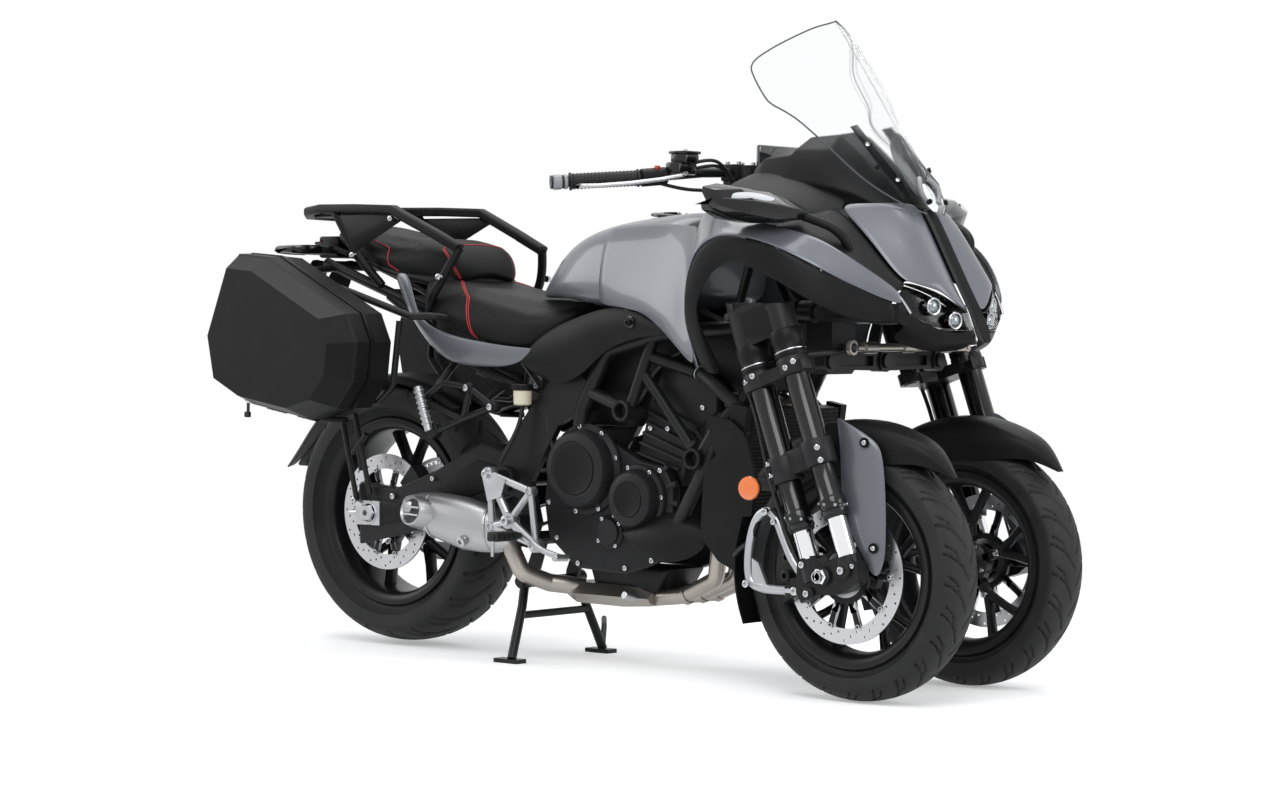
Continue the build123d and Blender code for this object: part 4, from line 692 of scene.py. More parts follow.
def tyre_piece(name, node, body, centre, radius, width, rim_r, rim_w, blocks, flip):
    """A turned tyre with its tread pattern pressed into the points of its crown."""
    half = width / 2.0
    crown = []
    tall = radius - rim_r
    for i in range(CROWN_STEPS + 1):
        a = math.radians(-CROWN_ANGLE + 2.0 * CROWN_ANGLE * i / CROWN_STEPS)
        y = half * math.sin(a) / math.sin(math.radians(CROWN_ANGLE)) * CROWN_WIDTH
        drop = (1 - math.cos(a)) * tall * 0.40
        crown.append((radius - drop, y))
    bead = rim_w / 2 - 6
    left = [(crown[0][0] - tall * 0.12, -half), (rim_r + tall * 0.36, -half * CROWN_WIDTH),
            (rim_r + 26, -bead - 7), (rim_r + 21, -bead - 4), (rim_r + 17, -bead - 4.5),
            (rim_r + 15, -bead - 1), (rim_r + 3, -bead), (rim_r + 3, -bead + 9)]
    inner = [(rim_r + tall * 0.45, -half + 11), (radius - tall * 0.25, -half * 0.72), (radius - 13, 0)]
    right, inner_right = [(r, -y) for r, y in left], [(r, -y) for r, y in inner[:2]]
    outline = left[::-1] + crown + right + inner_right + inner[::-1]
    obj = lathe(name, outline, Vector((0, 0, 0)), steps=TREAD_STEPS)
    edge = half * CROWN_WIDTH / MM
    for vert in obj.data.vertices:
        r = math.hypot(vert.co.x, vert.co.z)
        inside = r * MM < radius - 12.9 and abs(vert.co.y) < 0.01
        if inside or r * MM < radius - tall * 0.36:
            continue
        across = vert.co.y / edge
        turn_share = math.atan2(vert.co.z, vert.co.x) / math.tau
        cut = groove_depth(turn_share, across, blocks, flip) * GROOVE_DEPTH / MM
        if cut:
            scale = (r - cut) / r
            vert.co.x *= scale
            vert.co.z *= scale
            vert.co.y -= math.copysign(cut * 0.5 * abs(across), vert.co.y)
    obj.data.transform(Matrix.Translation(centre))
    return finished(obj, "tyre_rubber", body, replaces=(node,), smooth=50)


SPOKE_SECTION = ((-1, -0.55), (-0.55, -1), (0.55, -1), (1, -0.55), (1, 0.55), (0.55, 1), (-0.55, 1),
                 (-1, 0.55))
CARRIER_SECTION = ((-1, -1), (1, -1), (1, 1), (-1, 1))


def spoke_ring(name, centre, hub_r, branch, rim_r, split, y0, y1):
    """Y spokes: one stem from the hub that forks into two arms before the rim."""
    pieces = []
    mid = (y0 + y1) / 2
    for i in range(SPOKE_COUNT):
        base = math.tau / SPOKE_COUNT * i + math.pi / 2
        for sign in (-1, 1):
            b = base + sign * math.radians(split)
            stem = Vector((math.cos(base), 0, math.sin(base)))
            end = Vector((math.cos(b), 0, math.sin(b)))
            inner, middle, outer = stem * hub_r * 0.8, stem * branch, end * rim_r
            rings = []
            line = [(inner, 13, 1.0), (inner.lerp(middle, 0.55), 10.5, 1.0), (middle, 9.5, 0.96),
                    (middle.lerp(outer, 0.5), 7.6, 0.80), (outer, 10, 0.86)]
            for k, (point, wide, tall) in enumerate(line):
                before = line[max(k - 1, 0)][0]
                after = line[min(k + 1, len(line) - 1)][0]
                along = (after - before).normalized()
                across = Vector((-along.z, 0, along.x))
                half = (y1 - y0) / 2 * tall
                rings.append([(point + across * (u * wide)) / MM + Vector((0, (mid + v * half) / MM, 0))
                              + centre for u, v in SPOKE_SECTION])
            pieces.append(ring_loft("spoke", rings))
    return join(name, pieces)


def rim_piece(name, node, body, centre, rim_r, rim_w, hub_r, hub_y, spoke_y, branch, split, bore, bolt_side):
    """A cast rim: turned barrel and hub, forked spokes, and screws where the spokes fork and between them."""
    w = rim_w / 2.0
    lip = rim_r + 14
    barrel = lathe(name, [(rim_r - 4, -w + 8), (rim_r + 8, -w + 5), (lip - 3, -w + 3), (lip, -w - 1),
                          (lip - 2, -w - 6), (rim_r + 4, -w - 6.5), (rim_r - 8, -w - 3), (rim_r - 15, -w + 6),
                          (rim_r - 20, -w * 0.5), (rim_r - 22, 0), (rim_r - 20, w * 0.5), (rim_r - 15, w - 6),
                          (rim_r - 8, w + 3), (rim_r + 4, w + 6.5), (lip - 2, w + 6), (lip, w + 1),
                          (lip - 3, w - 3), (rim_r + 8, w - 5), (rim_r - 4, w - 8), (rim_r - 3, w - 16),
                          (rim_r - 13, w * 0.45), (rim_r - 13, -w * 0.45), (rim_r - 3, -w + 16)], centre,
                          steps=96)
    mid = (spoke_y[0] + spoke_y[1]) / 2
    half = (spoke_y[1] - spoke_y[0]) / 2
    hub = lathe("hub", [(bore, hub_y[0]), (hub_r - 2, hub_y[0]), (hub_r, hub_y[0] + 2),
                        (hub_r, mid - half - 6), (hub_r + 10, mid - half), (hub_r + 16, mid - half + 4),
                        (hub_r + 16, mid + half - 4), (hub_r + 10, mid + half), (hub_r, mid + half + 6),
                        (hub_r, hub_y[1] - 2), (hub_r - 2, hub_y[1]), (bore, hub_y[1])], centre, steps=64)
    spokes = spoke_ring("spokes", centre, hub_r, branch, rim_r - 14, split, *spoke_y)
    obj = join(name, [barrel, hub, spokes])
    finished(obj, "black_metal", body, replaces=(node,), smooth=40)
    spots = []
    c = in_mm(centre)
    y = spoke_y[1] + 1 if bolt_side > 0 else spoke_y[0] - 1
    for i in range(SPOKE_COUNT):
        a = math.tau / SPOKE_COUNT * i + math.pi / 2
        spots.append((
            (c.x + branch * math.cos(a), c.y + y, c.z + branch * math.sin(a)), (0, bolt_side, 0), 7.0))
        b = a + math.pi / SPOKE_COUNT
        reach = hub_r + 9
        spots.append((
            (c.x + reach * math.cos(b), c.y + y, c.z + reach * math.sin(b)), (0, bolt_side, 0), 5.0))
    screws(name + "_screws", body, spots)


def disc_buttons(name, body, centre, radius, y, side):
    spots = []
    c = in_mm(centre)
    for i in range(BUTTONS):
        a = math.tau / BUTTONS * i
        spots.append(((c.x + radius * math.cos(a), c.y + y, c.z + radius * math.sin(a)), (0, side, 0), 5.5))
    screws(name, body, spots, "satin_silver")


def disc_carrier(name, body, centre, y, inner_r, outer_r):
    """Black spider that carries the ring, laid over the middle of the disc."""
    pieces = []
    for i in range(CARRIER_ARMS):
        a = math.tau / CARRIER_ARMS * i
        along = Vector((math.cos(a), 0, math.sin(a)))
        across = Vector((-along.z, 0, along.x))
        rings = []
        waist = inner_r + (outer_r - inner_r) * 0.4
        for reach, wide in ((inner_r - 6, 11), (waist, 6.5), (outer_r - 5, 7.5), (outer_r + 5, 8.5)):
            rings.append([centre + (along * reach + across * (u * wide)) / MM + Vector(
                (0, (y + v * 4.4) / MM, 0)) for u, v in CARRIER_SECTION])
        pieces.append(soften(ring_loft("arm", rings), 1.2))
    ring = [(inner_r - 22, y - 4.6), (inner_r, y - 4.6), (inner_r + 1, y), (inner_r, y + 4.6),
            (inner_r - 22, y + 4.6)]
    pieces.append(lathe("ring", ring, centre))
    finished(join(name, pieces), "black_metal", body)


def build_wheels():
    for side, sign in SIDES:
        hub = at(0, sign * HALF_TRACK, FRONT_Z)
        body = side + "_front_wheel"
        tyre_piece(side + "_tyre", side + "_front_tyre", body, hub, 273.6, 119, *FRONT_RIM, 25, 1)
        hub_y = (-38, 50) if sign > 0 else (-50, 38)
        rim_piece(side + "_rim", side + "_front_rim", body, hub, *FRONT_RIM, 34, hub_y, (-15, 15), 84, 15,
                  14.06, -sign)
        disc_carrier(side + "_disc_carrier", body, hub, sign * 61, 62, 114)
        disc_buttons(side + "_disc_buttons", body, hub, 115, sign * 60.9, sign)
    rear = at(REAR_X, 0, REAR_Z)
    tyre_piece("rear_tyre_tread", "rear_tyre", "rear_wheel", rear, 319.4, 189, *REAR_RIM, 24, -1)
    rim_piece("rear_rim_cast", "rear_rim", "rear_wheel", rear, *REAR_RIM, 38, (-84, 84), (-20, 20), 98, 15,
              13.06, -1)
    disc_carrier("rear_disc_carrier", "rear_wheel", rear, -92, 60, 104)
    disc_buttons("rear_disc_buttons", "rear_wheel", rear, 105, -92.2, -1)


# ---------------------------------------------------------------- tank, cowls and nose
TANK = ((-1044, ((0, 868), (20, 867), (34, 864), (42, 861), (46, 858), (46, 855), (42, 853), (30, 852),
                 (0, 852))), (-1018, ((0, 898), (36, 895), (56, 886), (68, 876), (76, 868), (78, 862),
                 (74, 856), (60, 853), (0, 852))), (-972, ((0, 950), (48, 946), (80, 930), (98, 908),
                 (110, 888), (114, 872), (108, 860), (90, 855), (0, 852))),
                 (-917, ((0, 995), (56, 991), (98, 974), (122, 946), (138, 912), (144, 884), (138, 860),
                         (110, 850), (0, 848))), (-838, ((0, 1022), (64, 1018), (114, 1004), (142, 976),
                         (156, 930), (164, 888), (160, 850), (120, 838), (0, 836))),
                         (-760, ((0, 1036), (70, 1032), (126, 1015), (153, 984), (166, 935), (174, 888),
        (170, 842), (124, 826), (0, 824))), (-690, ((0, 1044), (76, 1040), (138, 1020), (163, 986),
        (176, 935), (186, 888), (184, 838), (124, 822), (0, 820))),
        (-618, ((0, 1050), (80, 1046), (148, 1022), (173, 986), (186, 935), (194, 888), (192, 836),
                (118, 830), (0, 828))), (-572, ((0, 1054), (80, 1050), (150, 1024), (176, 985), (190, 935),
                (196, 888), (186, 846), (110, 838), (0, 836))),
                (-545, ((0, 1030), (76, 1026), (140, 1000), (160, 968), (168, 930), (170, 896), (150, 866),
                        (96, 852), (0, 850))), (-540, ((0, 990), (50, 985), (90, 970), (108, 950), (112, 930),
                        (108, 900), (90, 880), (60, 870), (0, 868))))


def build_tank():
    shell = rounded(closed_half("tank_shell", TANK), 3)
    finished(shell, "paint_grey", replaces=("fuel_tank",), smooth=60)
    cover = panel("tank_side_covers", (
        ((-772, 128, 1017), (-771, 155, 986), (-769, 168.5, 936), (-768, 176.5, 889), (-768, 174, 856),
         (-768, 170, 838)),
        ((-690, 141, 1021.5), (-690, 165.5, 988), (-690, 178.5, 936), (-690, 188.5, 889), (-690, 193, 855),
         (-690, 189, 832)),
        ((-618, 152, 1023), (-618, 176, 988), (-618, 189, 936), (-618, 201, 889), (-618, 208, 850),
         (-618, 205, 825)),
        ((-560, 166, 1021), (-560, 187, 985), (-560, 201, 932), (-560, 215, 875), (-560, 225, 828),
         (-562, 222, 797)),
        ((-508, 190, 1017), (-508, 204, 975), (-505, 220, 918), (-503, 234, 862), (-504, 246, 808),
         (-509, 242, 768)),
        ((-462, 214, 1014), (-470, 219, 966), (-468, 231, 902), (-466, 240, 842), (-460, 254, 778),
         (-444, 262, 722)),
        ((-438, 229, 1013), (-449, 233, 964), (-446, 243, 901), (-443, 250, 841), (-432, 264, 772),
         (-400, 281, 704))))
    finished(cover, "paint_grey", smooth=60)
    cap = lathe("filler_cap", [(0, 0), (46, 0), (48, 2), (47, 6), (40, 9), (28, 9.5), (26, 8), (0, 8)],
                at(-700, 0, 1040), Vector((0.1, 0, 1)))
    finished(cap, "gloss_black")
    latch = box_piece("filler_flap", (-722, -12, 1047), (-680, 12, 1053), 3)
    finished(latch, "satin_black")
    screws("filler_screws", "chassis", [
        ((-700 + 36 * math.cos(a), 36 * math.sin(a), 1048.5), (0.1, 0, 1), 2.6)
        for a in (0.5, 1.6, 2.7, 3.8, 4.9, 5.9)])


FRONT_COWL = (
    ((-371, 303, 698), (-388, 292, 702), (-400, 281, 704)),
    ((-384, 340, 790), (-414, 296, 780), (-432, 266, 771)),
    ((-371, 361, 838), (-414, 298, 838), (-443, 251, 840)),
    ((-364, 365, 896), (-412, 298, 898), (-446, 244, 900)),
    ((-342, 367, 955), (-400, 296, 962), (-449, 234, 964)),
    ((-300, 367, 986), (-372, 302, 1004), (-438, 230, 1014)),
    ((-250, 366, 993), (-322, 322, 1022), (-394, 264, 1044)),
    ((-188, 363, 985), (-255, 345, 1020), (-330, 312, 1048)),
    ((-118, 358, 965), (-160, 343, 994), (-205, 308, 1018)),
    ((-60, 338, 936), (-78, 322, 968), (-98, 299, 997)),
    ((-10, 301, 902), (-28, 303, 940), (-45, 285, 976)),
    ((40, 240, 867), (22, 262, 902), (10, 258, 936)),
    ((68, 206, 850), (64, 220, 874), (58, 216, 895)),
    ((84, 188, 846), (82, 194, 858), (80, 192, 870)))

ARCH = (
    ((-366, 302, 700), (-345, 305, 694), (-326, 306, 690), (-324, 276, 692)),
    ((-380, 342, 790), (-362, 347, 791), (-342, 347, 793), (-348, 340, 800)),
    ((-367, 362, 840), (-352, 366, 840), (-334, 364, 841), (-340, 357, 848)),
    ((-359, 366, 896), (-332, 371, 892), (-306, 368, 887), (-312, 361, 894)),
    ((-336, 368, 951), (-305, 373, 935), (-276, 370, 916), (-282, 363, 923)),
    ((-297, 368, 980), (-268, 373, 956), (-240, 370, 930), (-246, 363, 937)),
    ((-249, 367, 988), (-230, 372, 958), (-212, 370, 927), (-212, 363, 934)),
    ((-188, 364, 980), (-182, 370, 947), (-176, 370, 913), (-176, 363, 920)),
    ((-119, 359, 960), (-117, 366, 925), (-116, 366, 889), (-116, 359, 896)),
    ((-62, 339, 931), (-53, 345, 887), (-44, 344, 844), (-44, 337, 851)),
    ((-12, 302, 898), (0, 300, 855), (7, 290, 813), (7, 283, 820)),
    ((38, 238, 870), (37, 236, 830), (34, 230, 801), (28, 204, 800)),
    ((66, 203, 856), (70, 198, 824), (74, 190, 806), (66, 166, 804)))


def build_front():
    cowl = panel("front_cowl", FRONT_COWL)
    finished(cowl, "paint_grey", replaces=("front_panels", "side_cowls"), smooth=60)
    arch = panel("arch_moulding", ARCH, 2.5)
    finished(arch, "satin_black", smooth=50)
    nose = panel("nose_panels", (
        ((4, 26, 1062), (0, 60, 1062), (-16, 96, 1064), (-64, 130, 1062), (-112, 158, 1060)),
        ((32, 26, 1018), (36, 60, 1020), (34, 96, 1024), (-8, 130, 1020), (-58, 161, 1018)),
        ((64, 26, 960), (70, 60, 962), (72, 97, 966), (40, 132, 960), (2, 163, 960)),
        ((98, 26, 898), (108, 60, 902), (110, 98, 908), (84, 132, 908), (48, 164, 912)),
        ((122, 26, 858), (126, 60, 870), (122, 97, 884), (100, 130, 890), (72, 158, 896)),
        ((142, 27, 830), (134, 60, 850), (118, 95, 874), (98, 126, 884), (76, 152, 893))))
    finished(nose, "paint_grey", smooth=60)
    cheek = panel("cheek_gaps", (
        ((-116, 158, 1056), (-124, 190, 1046), (-134, 226, 1036), (-208, 306, 1010)),
        ((-62, 161, 1014), (-64, 196, 1008), (-70, 236, 1000), (-102, 296, 990)),
        ((-2, 163, 956), (-6, 196, 952), (-8, 230, 948), (-50, 282, 968)),
        ((44, 164, 908), (42, 186, 904), (38, 206, 900), (6, 254, 928)),
        ((70, 156, 890), (70, 172, 880), (70, 186, 870), (54, 212, 888))))
    finished(cheek, "satin_black", smooth=50)
    strip = panel("nose_strip", (
        ((8, 0, 1052), (12, 14, 1052), (10, 23, 1056)), ((28, 0, 1022), (33, 14, 1022), (34, 24, 1021)),
        ((60, 0, 962), (65, 14, 962), (67, 24, 961)), ((100, 0, 888), (104, 14, 890), (104, 24, 894)),
        ((126, 0, 842), (129, 14, 846), (130, 24, 850)), ((142, 0, 812), (147, 14, 814), (148, 25, 818)),
        ((150, 0, 790), (154, 14, 790), (158, 26, 788)), ((166, 0, 764), (168, 12, 764), (166, 26, 768))))
    finished(strip, "satin_black", replaces=("fairing_trim",), smooth=50)
    chin = panel("chin", (
        ((160, 26, 788), (152, 52, 786), (132, 92, 786), (108, 140, 804), (98, 168, 822)),
        ((162, 26, 778), (150, 52, 774), (128, 92, 772), (98, 140, 786), (88, 174, 808)),
        ((150, 24, 762), (138, 52, 758), (116, 92, 756), (84, 136, 764), (64, 172, 786)),
        ((120, 22, 748), (110, 52, 746), (92, 88, 744), (62, 128, 752), (36, 166, 774))))
    finished(chin, "satin_black", smooth=40)
    ears = panel("chin_ears", (
        ((74, 152, 884), (70, 176, 872), (58, 198, 860)), ((96, 156, 834), (92, 174, 844), (78, 194, 850)),
        ((98, 160, 812), (94, 178, 822), (80, 198, 834)),
        ((84, 160, 796), (78, 182, 800), (70, 196, 812))))
    finished(ears, "satin_black", smooth=40)


LAMP_FACE = (
    ((152, 30, 826), (140, 62, 842), (122, 96, 866), (100, 128, 880), (78, 150, 889)),
    ((156, 30, 812), (146, 62, 824), (130, 96, 842), (110, 128, 858), (88, 150, 868)),
    ((158, 30, 800), (150, 62, 806), (136, 96, 818), (116, 128, 832), (96, 150, 842)),
    ((158, 30, 790), (150, 62, 790), (134, 92, 790), (114, 130, 802), (102, 150, 818)))


LAMP_DEPTH = 34


def build_lamps():
    recess = [[(x - LAMP_DEPTH, y, z) for x, y, z in row] for row in LAMP_FACE]
    bowl = panel("lamp_bowls", recess, 2.0, 1)
    finished(bowl, "gloss_black", replaces=("headlight_unit",), smooth=40)
    brow, sill = LAMP_FACE[0], LAMP_FACE[-1]
    top = panel("lamp_brows", [brow, [(x - LAMP_DEPTH, y, z + 1) for x, y, z in brow]], 2.0, 1)
    finished(top, "gloss_black")
    base = panel("lamp_sills", [sill, [(x - LAMP_DEPTH, y, z) for x, y, z in sill]], 2.0, 1)
    finished(base, "gloss_black")
    glass = panel("lamp_glass", LAMP_FACE, 1.6, 2)
    finished(glass, "lens_clear", smooth=50)
    for side, sign in SIDES:
        slit = tube(side + "_slit_lamp", sided([(96, 176, 826), (84, 182, 848), (66, 190, 872),
                (52, 194, 884)], sign), 3.0, round_steps=3)
        finished(slit, "bright_steel", smooth=60)
        for tag, x, y, z in (("inner", 136, 66, 812), ("outer", 112, 112, 842)):
            way = Vector((0.96, sign * 0.22, -0.08))
            ring = lathe(f"{side}_{tag}_projector_ring", [
                (14, -14), (19, -10), (19.5, 4), (18, 6), (15, 5), (14, 0)], at(x - 4, sign * y, z), way,
                steps=40)
            finished(ring, "bright_steel")
            ball = lathe(f"{side}_{tag}_projector", [(0, -12), (15, -10), (15, 1), (12, 6), (7, 9.5),
                    (0, 11)], at(x - 6, sign * y, z), way, steps=40)
            finished(ball, "projector_glass", smooth=60)


def build_shade_liner():
    """Dark inner skin close behind the outer panels of the nose and the wheel arches; it paints the shade in
    the gaps between them and partly stands for the dark inner panels.
    """
    skin = panel("front_shade_liner", (
        ((-30, 0, 1056), (-34, 60, 1056), (-50, 96, 1056), (-90, 130, 1054), (-138, 160, 1048),
         (-144, 228, 1028)),
        ((6, 0, 1014), (6, 60, 1014), (4, 96, 1014), (-30, 130, 1010), (-76, 161, 1006), (-78, 234, 994)),
        ((38, 0, 952), (40, 60, 952), (42, 97, 952), (14, 130, 948), (-20, 163, 946), (-18, 228, 941)),
        ((70, 0, 890), (74, 60, 890), (78, 98, 894), (56, 130, 896), (26, 164, 896), (26, 204, 892))), 3, 1)
    finished(skin, "satin_black", smooth=50)
    # A grey tube along the screen's outline is painted shade: the dark look of clear glass seen edge-on.
    top, middle = SCREEN_LEVELS[0][:2]
    outline = [(middle, 0, top)] + [(rim, width + 1.2, z - 4) for z, _, rim, width in SCREEN_LEVELS]
    edge = [tube("screen_edge", sided(outline, sign), 1.8, round_steps=2) for sign in (-1, 1)]
    finished(join("screen_edge_painted_shade", edge), "painted_screen_edge_shade", smooth=60)


DASH = (
    (-388, ((0, 1150), (50, 1149), (92, 1142), (106, 1124), (92, 1104), (0, 1100))),
    (-352, ((0, 1176), (54, 1174), (104, 1166), (124, 1124), (106, 1088), (0, 1084))),
    (-272, ((0, 1184), (58, 1183), (114, 1172), (140, 1114), (118, 1070), (0, 1066))),
    (-262, ((0, 1216), (58, 1212), (108, 1184), (140, 1114), (118, 1068), (0, 1064))),
    (-180, ((0, 1224), (54, 1216), (96, 1180), (138, 1106), (114, 1058), (0, 1054))),
    (-100, ((0, 1160), (50, 1152), (90, 1122), (118, 1084), (98, 1048), (0, 1046))),
    (-30, ((0, 1090), (40, 1084), (62, 1066), (76, 1044), (62, 1022), (0, 1018))),
    (-10, ((0, 1058), (30, 1054), (50, 1046), (58, 1036), (50, 1024), (0, 1020))))

SCREEN_LEVELS = ((1470, -237, -238, 8), (1458, -229, -250, 56), (1436, -212, -268, 104),
                 (1408, -192, -298, 150), (1372, -166, -330, 192), (1335, -140, -310, 194),
                 (1300, -116, -286, 193), (1284, -104, -276, 186), (1268, -94, -256, 158),
                 (1250, -82, -236, 136), (1225, -66, -208, 126), (1190, -44, -160, 126),
                 (1150, -18, -108, 130), (1110, 8, -56, 124), (1078, 27, -10, 100), (1056, 38, 18, 66),
                 (1044, 43, 36, 30))


SCREEN_CURVE = 2.1      # how the glass goes from its middle line to its edge
SCREEN_COLUMNS = 6


def screen_spot(y, z):
    """A point just inside the screen's glass."""
    for (z0, m0, e0, w0), (z1, m1, e1, w1) in zip(SCREEN_LEVELS, SCREEN_LEVELS[1:]):
        if z1 <= z <= z0:
            t = (z0 - z) / (z0 - z1)
            middle, edge, wide = m0 + (m1 - m0) * t, e0 + (e1 - e0) * t, w0 + (w1 - w0) * t
            return (middle + (edge - middle) * min(1.0, y / wide) ** SCREEN_CURVE - 6, y, z)


SMOKE_LINE = (          # outer height and width, inner height and width of the tinted patch
    (1222, 0, 1196, 0), (1216, 18, 1190, 8), (1186, 44, 1168, 20), (1150, 52, 1144, 26), (1118, 50, 1122, 14),
    (1096, 46, 1116, 5), (1072, 38, 1112, 0))


def build_screen():
    rows = []
    for z, middle, edge, width in SCREEN_LEVELS:
        shares = [k / SCREEN_COLUMNS for k in range(SCREEN_COLUMNS + 1)]
        rows.append([(middle + (edge - middle) * t ** SCREEN_CURVE, width * t, z - 4 * t * t)
                     for t in shares])
    glass = panel("screen_shell", rows, 4.0, 2)
    finished(glass, "screen_clear", replaces=("windscreen",), smooth=70)
    lobe = [[screen_spot(inner, z_in), screen_spot((inner + out) / 2, (z_in + z_out) / 2),
             screen_spot(out, z_out)] for z_out, out, z_in, inner in SMOKE_LINE]
    finished(panel("screen_smoke", lobe, 1.0, 2), "smoke_tint", smooth=70)
    badge = [[screen_spot(y * wide, z) for y in (0, 0.5, 1)] for z, wide in (
        (1108, 3), (1098, 22), (1076, 30), (1056, 20), (1046, 6))]
    finished(panel("blank_screen_base", badge, 1.2, 1), "lamp_white", smooth=60)
    hood = soften(closed_half("dash_hood", DASH), 6, 3, 20)
    finished(hood, "satin_black", replaces=("dash_cover",), smooth=40)
    wing = panel("dash_wings", (
        ((-392, 110, 1128), (-398, 200, 1096), (-404, 262, 1056)),
        ((-350, 122, 1136), (-366, 220, 1100), (-372, 296, 1056)),
        ((-262, 132, 1124), (-270, 220, 1082), (-278, 306, 1032)),
        ((-180, 128, 1104), (-186, 210, 1056), (-196, 298, 1004)),
        ((-110, 110, 1070), (-118, 150, 1046), (-126, 176, 1028))), 3)
    finished(wing, "satin_black", smooth=40)
    face = box_piece("instrument_face", (-397, -78, 1120), (-385, 78, 1198), 5)
    finished(face, "lens_dark")
    for side, sign in SIDES:
        stay = plate_between(side + "_screen_stay", [
            (-150, 62, 1232), (-128, 66, 1236), (-4, 70, 1110), (14, 60, 1078), (-8, 50, 1078),
            (-60, 56, 1130)], sign, 3)
        finished(stay, "carbon_weave")
        screws(side + "_screen_stay_screws", "chassis", [((-100, sign * 66, 1190), (0.5, sign * 0.6, 0.4), 5),
                                                         ((-20, sign * 64, 1112), (0.5, sign * 0.6, 0.4), 5)])
        bracket = tube(side + "_screen_bracket", sided([
            (2, 16, 1118), (16, 34, 1104), (22, 34, 1082), (28, 18, 1064)], sign), 6, round_steps=4)
        finished(bracket, "grey_plastic")
        screws(side + "_screen_screws", "chassis", [
            ((38, sign * 30, 1066), (0.9, sign * 0.3, 0.4), 6),
            ((-52, sign * 96, 1140), (0.8, sign * 0.5, 0.3), 6)], "satin_black")


MIRROR = (
    (258, ((-140, 1026), (-124, 1024), (-106, 1028), (-104, 1040), (-118, 1046), (-138, 1046))),
    (300, ((-196, 1019), (-150, 1016), (-112, 1022), (-104, 1044), (-128, 1062), (-190, 1070))),
    (350, ((-234, 1016), (-180, 1014), (-130, 1022), (-118, 1052), (-150, 1080), (-230, 1092))),
    (400, ((-256, 1024), (-208, 1022), (-162, 1032), (-150, 1060), (-186, 1086), (-254, 1099))),
    (434, ((-266, 1042), (-236, 1040), (-212, 1048), (-208, 1066), (-232, 1084), (-264, 1092))),
    (440, ((-264, 1054), (-246, 1054), (-232, 1058), (-230, 1068), (-246, 1078), (-262, 1080))))


def build_mirrors():
    for side, sign in SIDES:
        rings = [[at(x, sign * y, z) for x, z in ring] for y, ring in MIRROR]
        shell = soften(ring_loft(side + "_mirror", rings), 4, 3, 20)
        pieces = ("mirrors",) if sign > 0 else ()
        finished(shell, "gloss_black", replaces=pieces, smooth=45)
        face = panel_side(side + "_mirror_face", (
            ((-199, 306, 1030), (-235, 350, 1028), (-256, 394, 1036), (-262, 416, 1050)),
            ((-199, 306, 1046), (-235, 350, 1054), (-256, 394, 1062), (-263, 418, 1064)),
            ((-199, 306, 1062), (-235, 350, 1080), (-256, 394, 1088), (-262, 416, 1078))), sign, 1.5)
        finished(face, "mirror_glass")
        stem = tube(side + "_mirror_stem", sided([
            (-124, 276, 1034), (-84, 262, 1020), (-50, 250, 1004), (-30, 238, 980),
            (-30, 226, 960)], sign), 10)
        finished(stem, "satin_black", smooth=60)
        lens = panel_side(side + "_mirror_indicator", (
            ((-128, 342, 1040), (-148, 372, 1044), (-172, 402, 1050), (-200, 424, 1058)),
            ((-120, 340, 1050), (-132, 372, 1060), (-150, 402, 1068), (-190, 426, 1070)),
            ((-128, 336, 1062), (-144, 366, 1074), (-166, 396, 1080), (-196, 418, 1078))), sign, 2.5)
        finished(lens, "lens_clear_ribbed", smooth=50)


# ---------------------------------------------------------------- forks, mudguards and hoses
CASTER = math.tan(math.radians(20))
LEG_Y = 327.0
FRONT_LEG, REAR_LEG = -55.0, -155.0
CAP_R = 128             # caliper caps, from the axle
FLAP_R = 291


def leg_at(leg, z, sign):
    return (leg + (600.0 - z) * CASTER, sign * LEG_Y, z)


def along_leg(name, leg, sign, z0, profile, finish_name, body):
    """A turned sleeve on a fork leg; outline of (radius, height above z0)."""
    way = Vector((-CASTER, 0, 1))
    outline = [(r, h * way.length) for r, h in profile]
    finished(lathe(name, outline, at(*leg_at(leg, z0, sign)), way), finish_name, body, smooth=40)


def fork_cover(name, sign, body):
    """A box with round ends over the tops of both legs."""
    rings = []
    for z, reach, wide in ((846, 39, 30), (843, 42, 33), (828, 44, 34.5), (800, 44, 34.5), (776, 43, 34.5),
                           (770, 40, 32)):
        ring = []
        for leg, start, inward in ((REAR_LEG, 90, 4), (FRONT_LEG, -90, -4)):
            x = leg_at(leg, z, 1)[0] + inward
            for i in range(9):
                a = math.radians(start + 22.5 * i)
                ring.append(at(x + reach * 0.88 * math.cos(a), sign * (LEG_Y - 2 + wide * math.sin(a)), z))
        rings.append(ring)
    shell = soften(ring_loft(name, rings), 2.0, 2, 25)
    return finished(shell, "satin_black", body, smooth=45)


CLAMP_SCREWS = (        # leg, height and how far the screw faces forwards
    (FRONT_LEG, 724, 0.6), (FRONT_LEG, 710, 0.1), (REAR_LEG, 690, 0.2), (REAR_LEG, 676, -0.4),
    (FRONT_LEG, 545, 0.6), (FRONT_LEG, 519, 0.6), (REAR_LEG, 504, -0.5), (REAR_LEG, 480, -0.5))
LEGS = (                # the leg, then the heights of its cover, upper tube, lower tube and two clamps
    ("front", FRONT_LEG, 776, 548, 412, 700, 508), ("rear", REAR_LEG, 742, 508, 378, 664, 468))


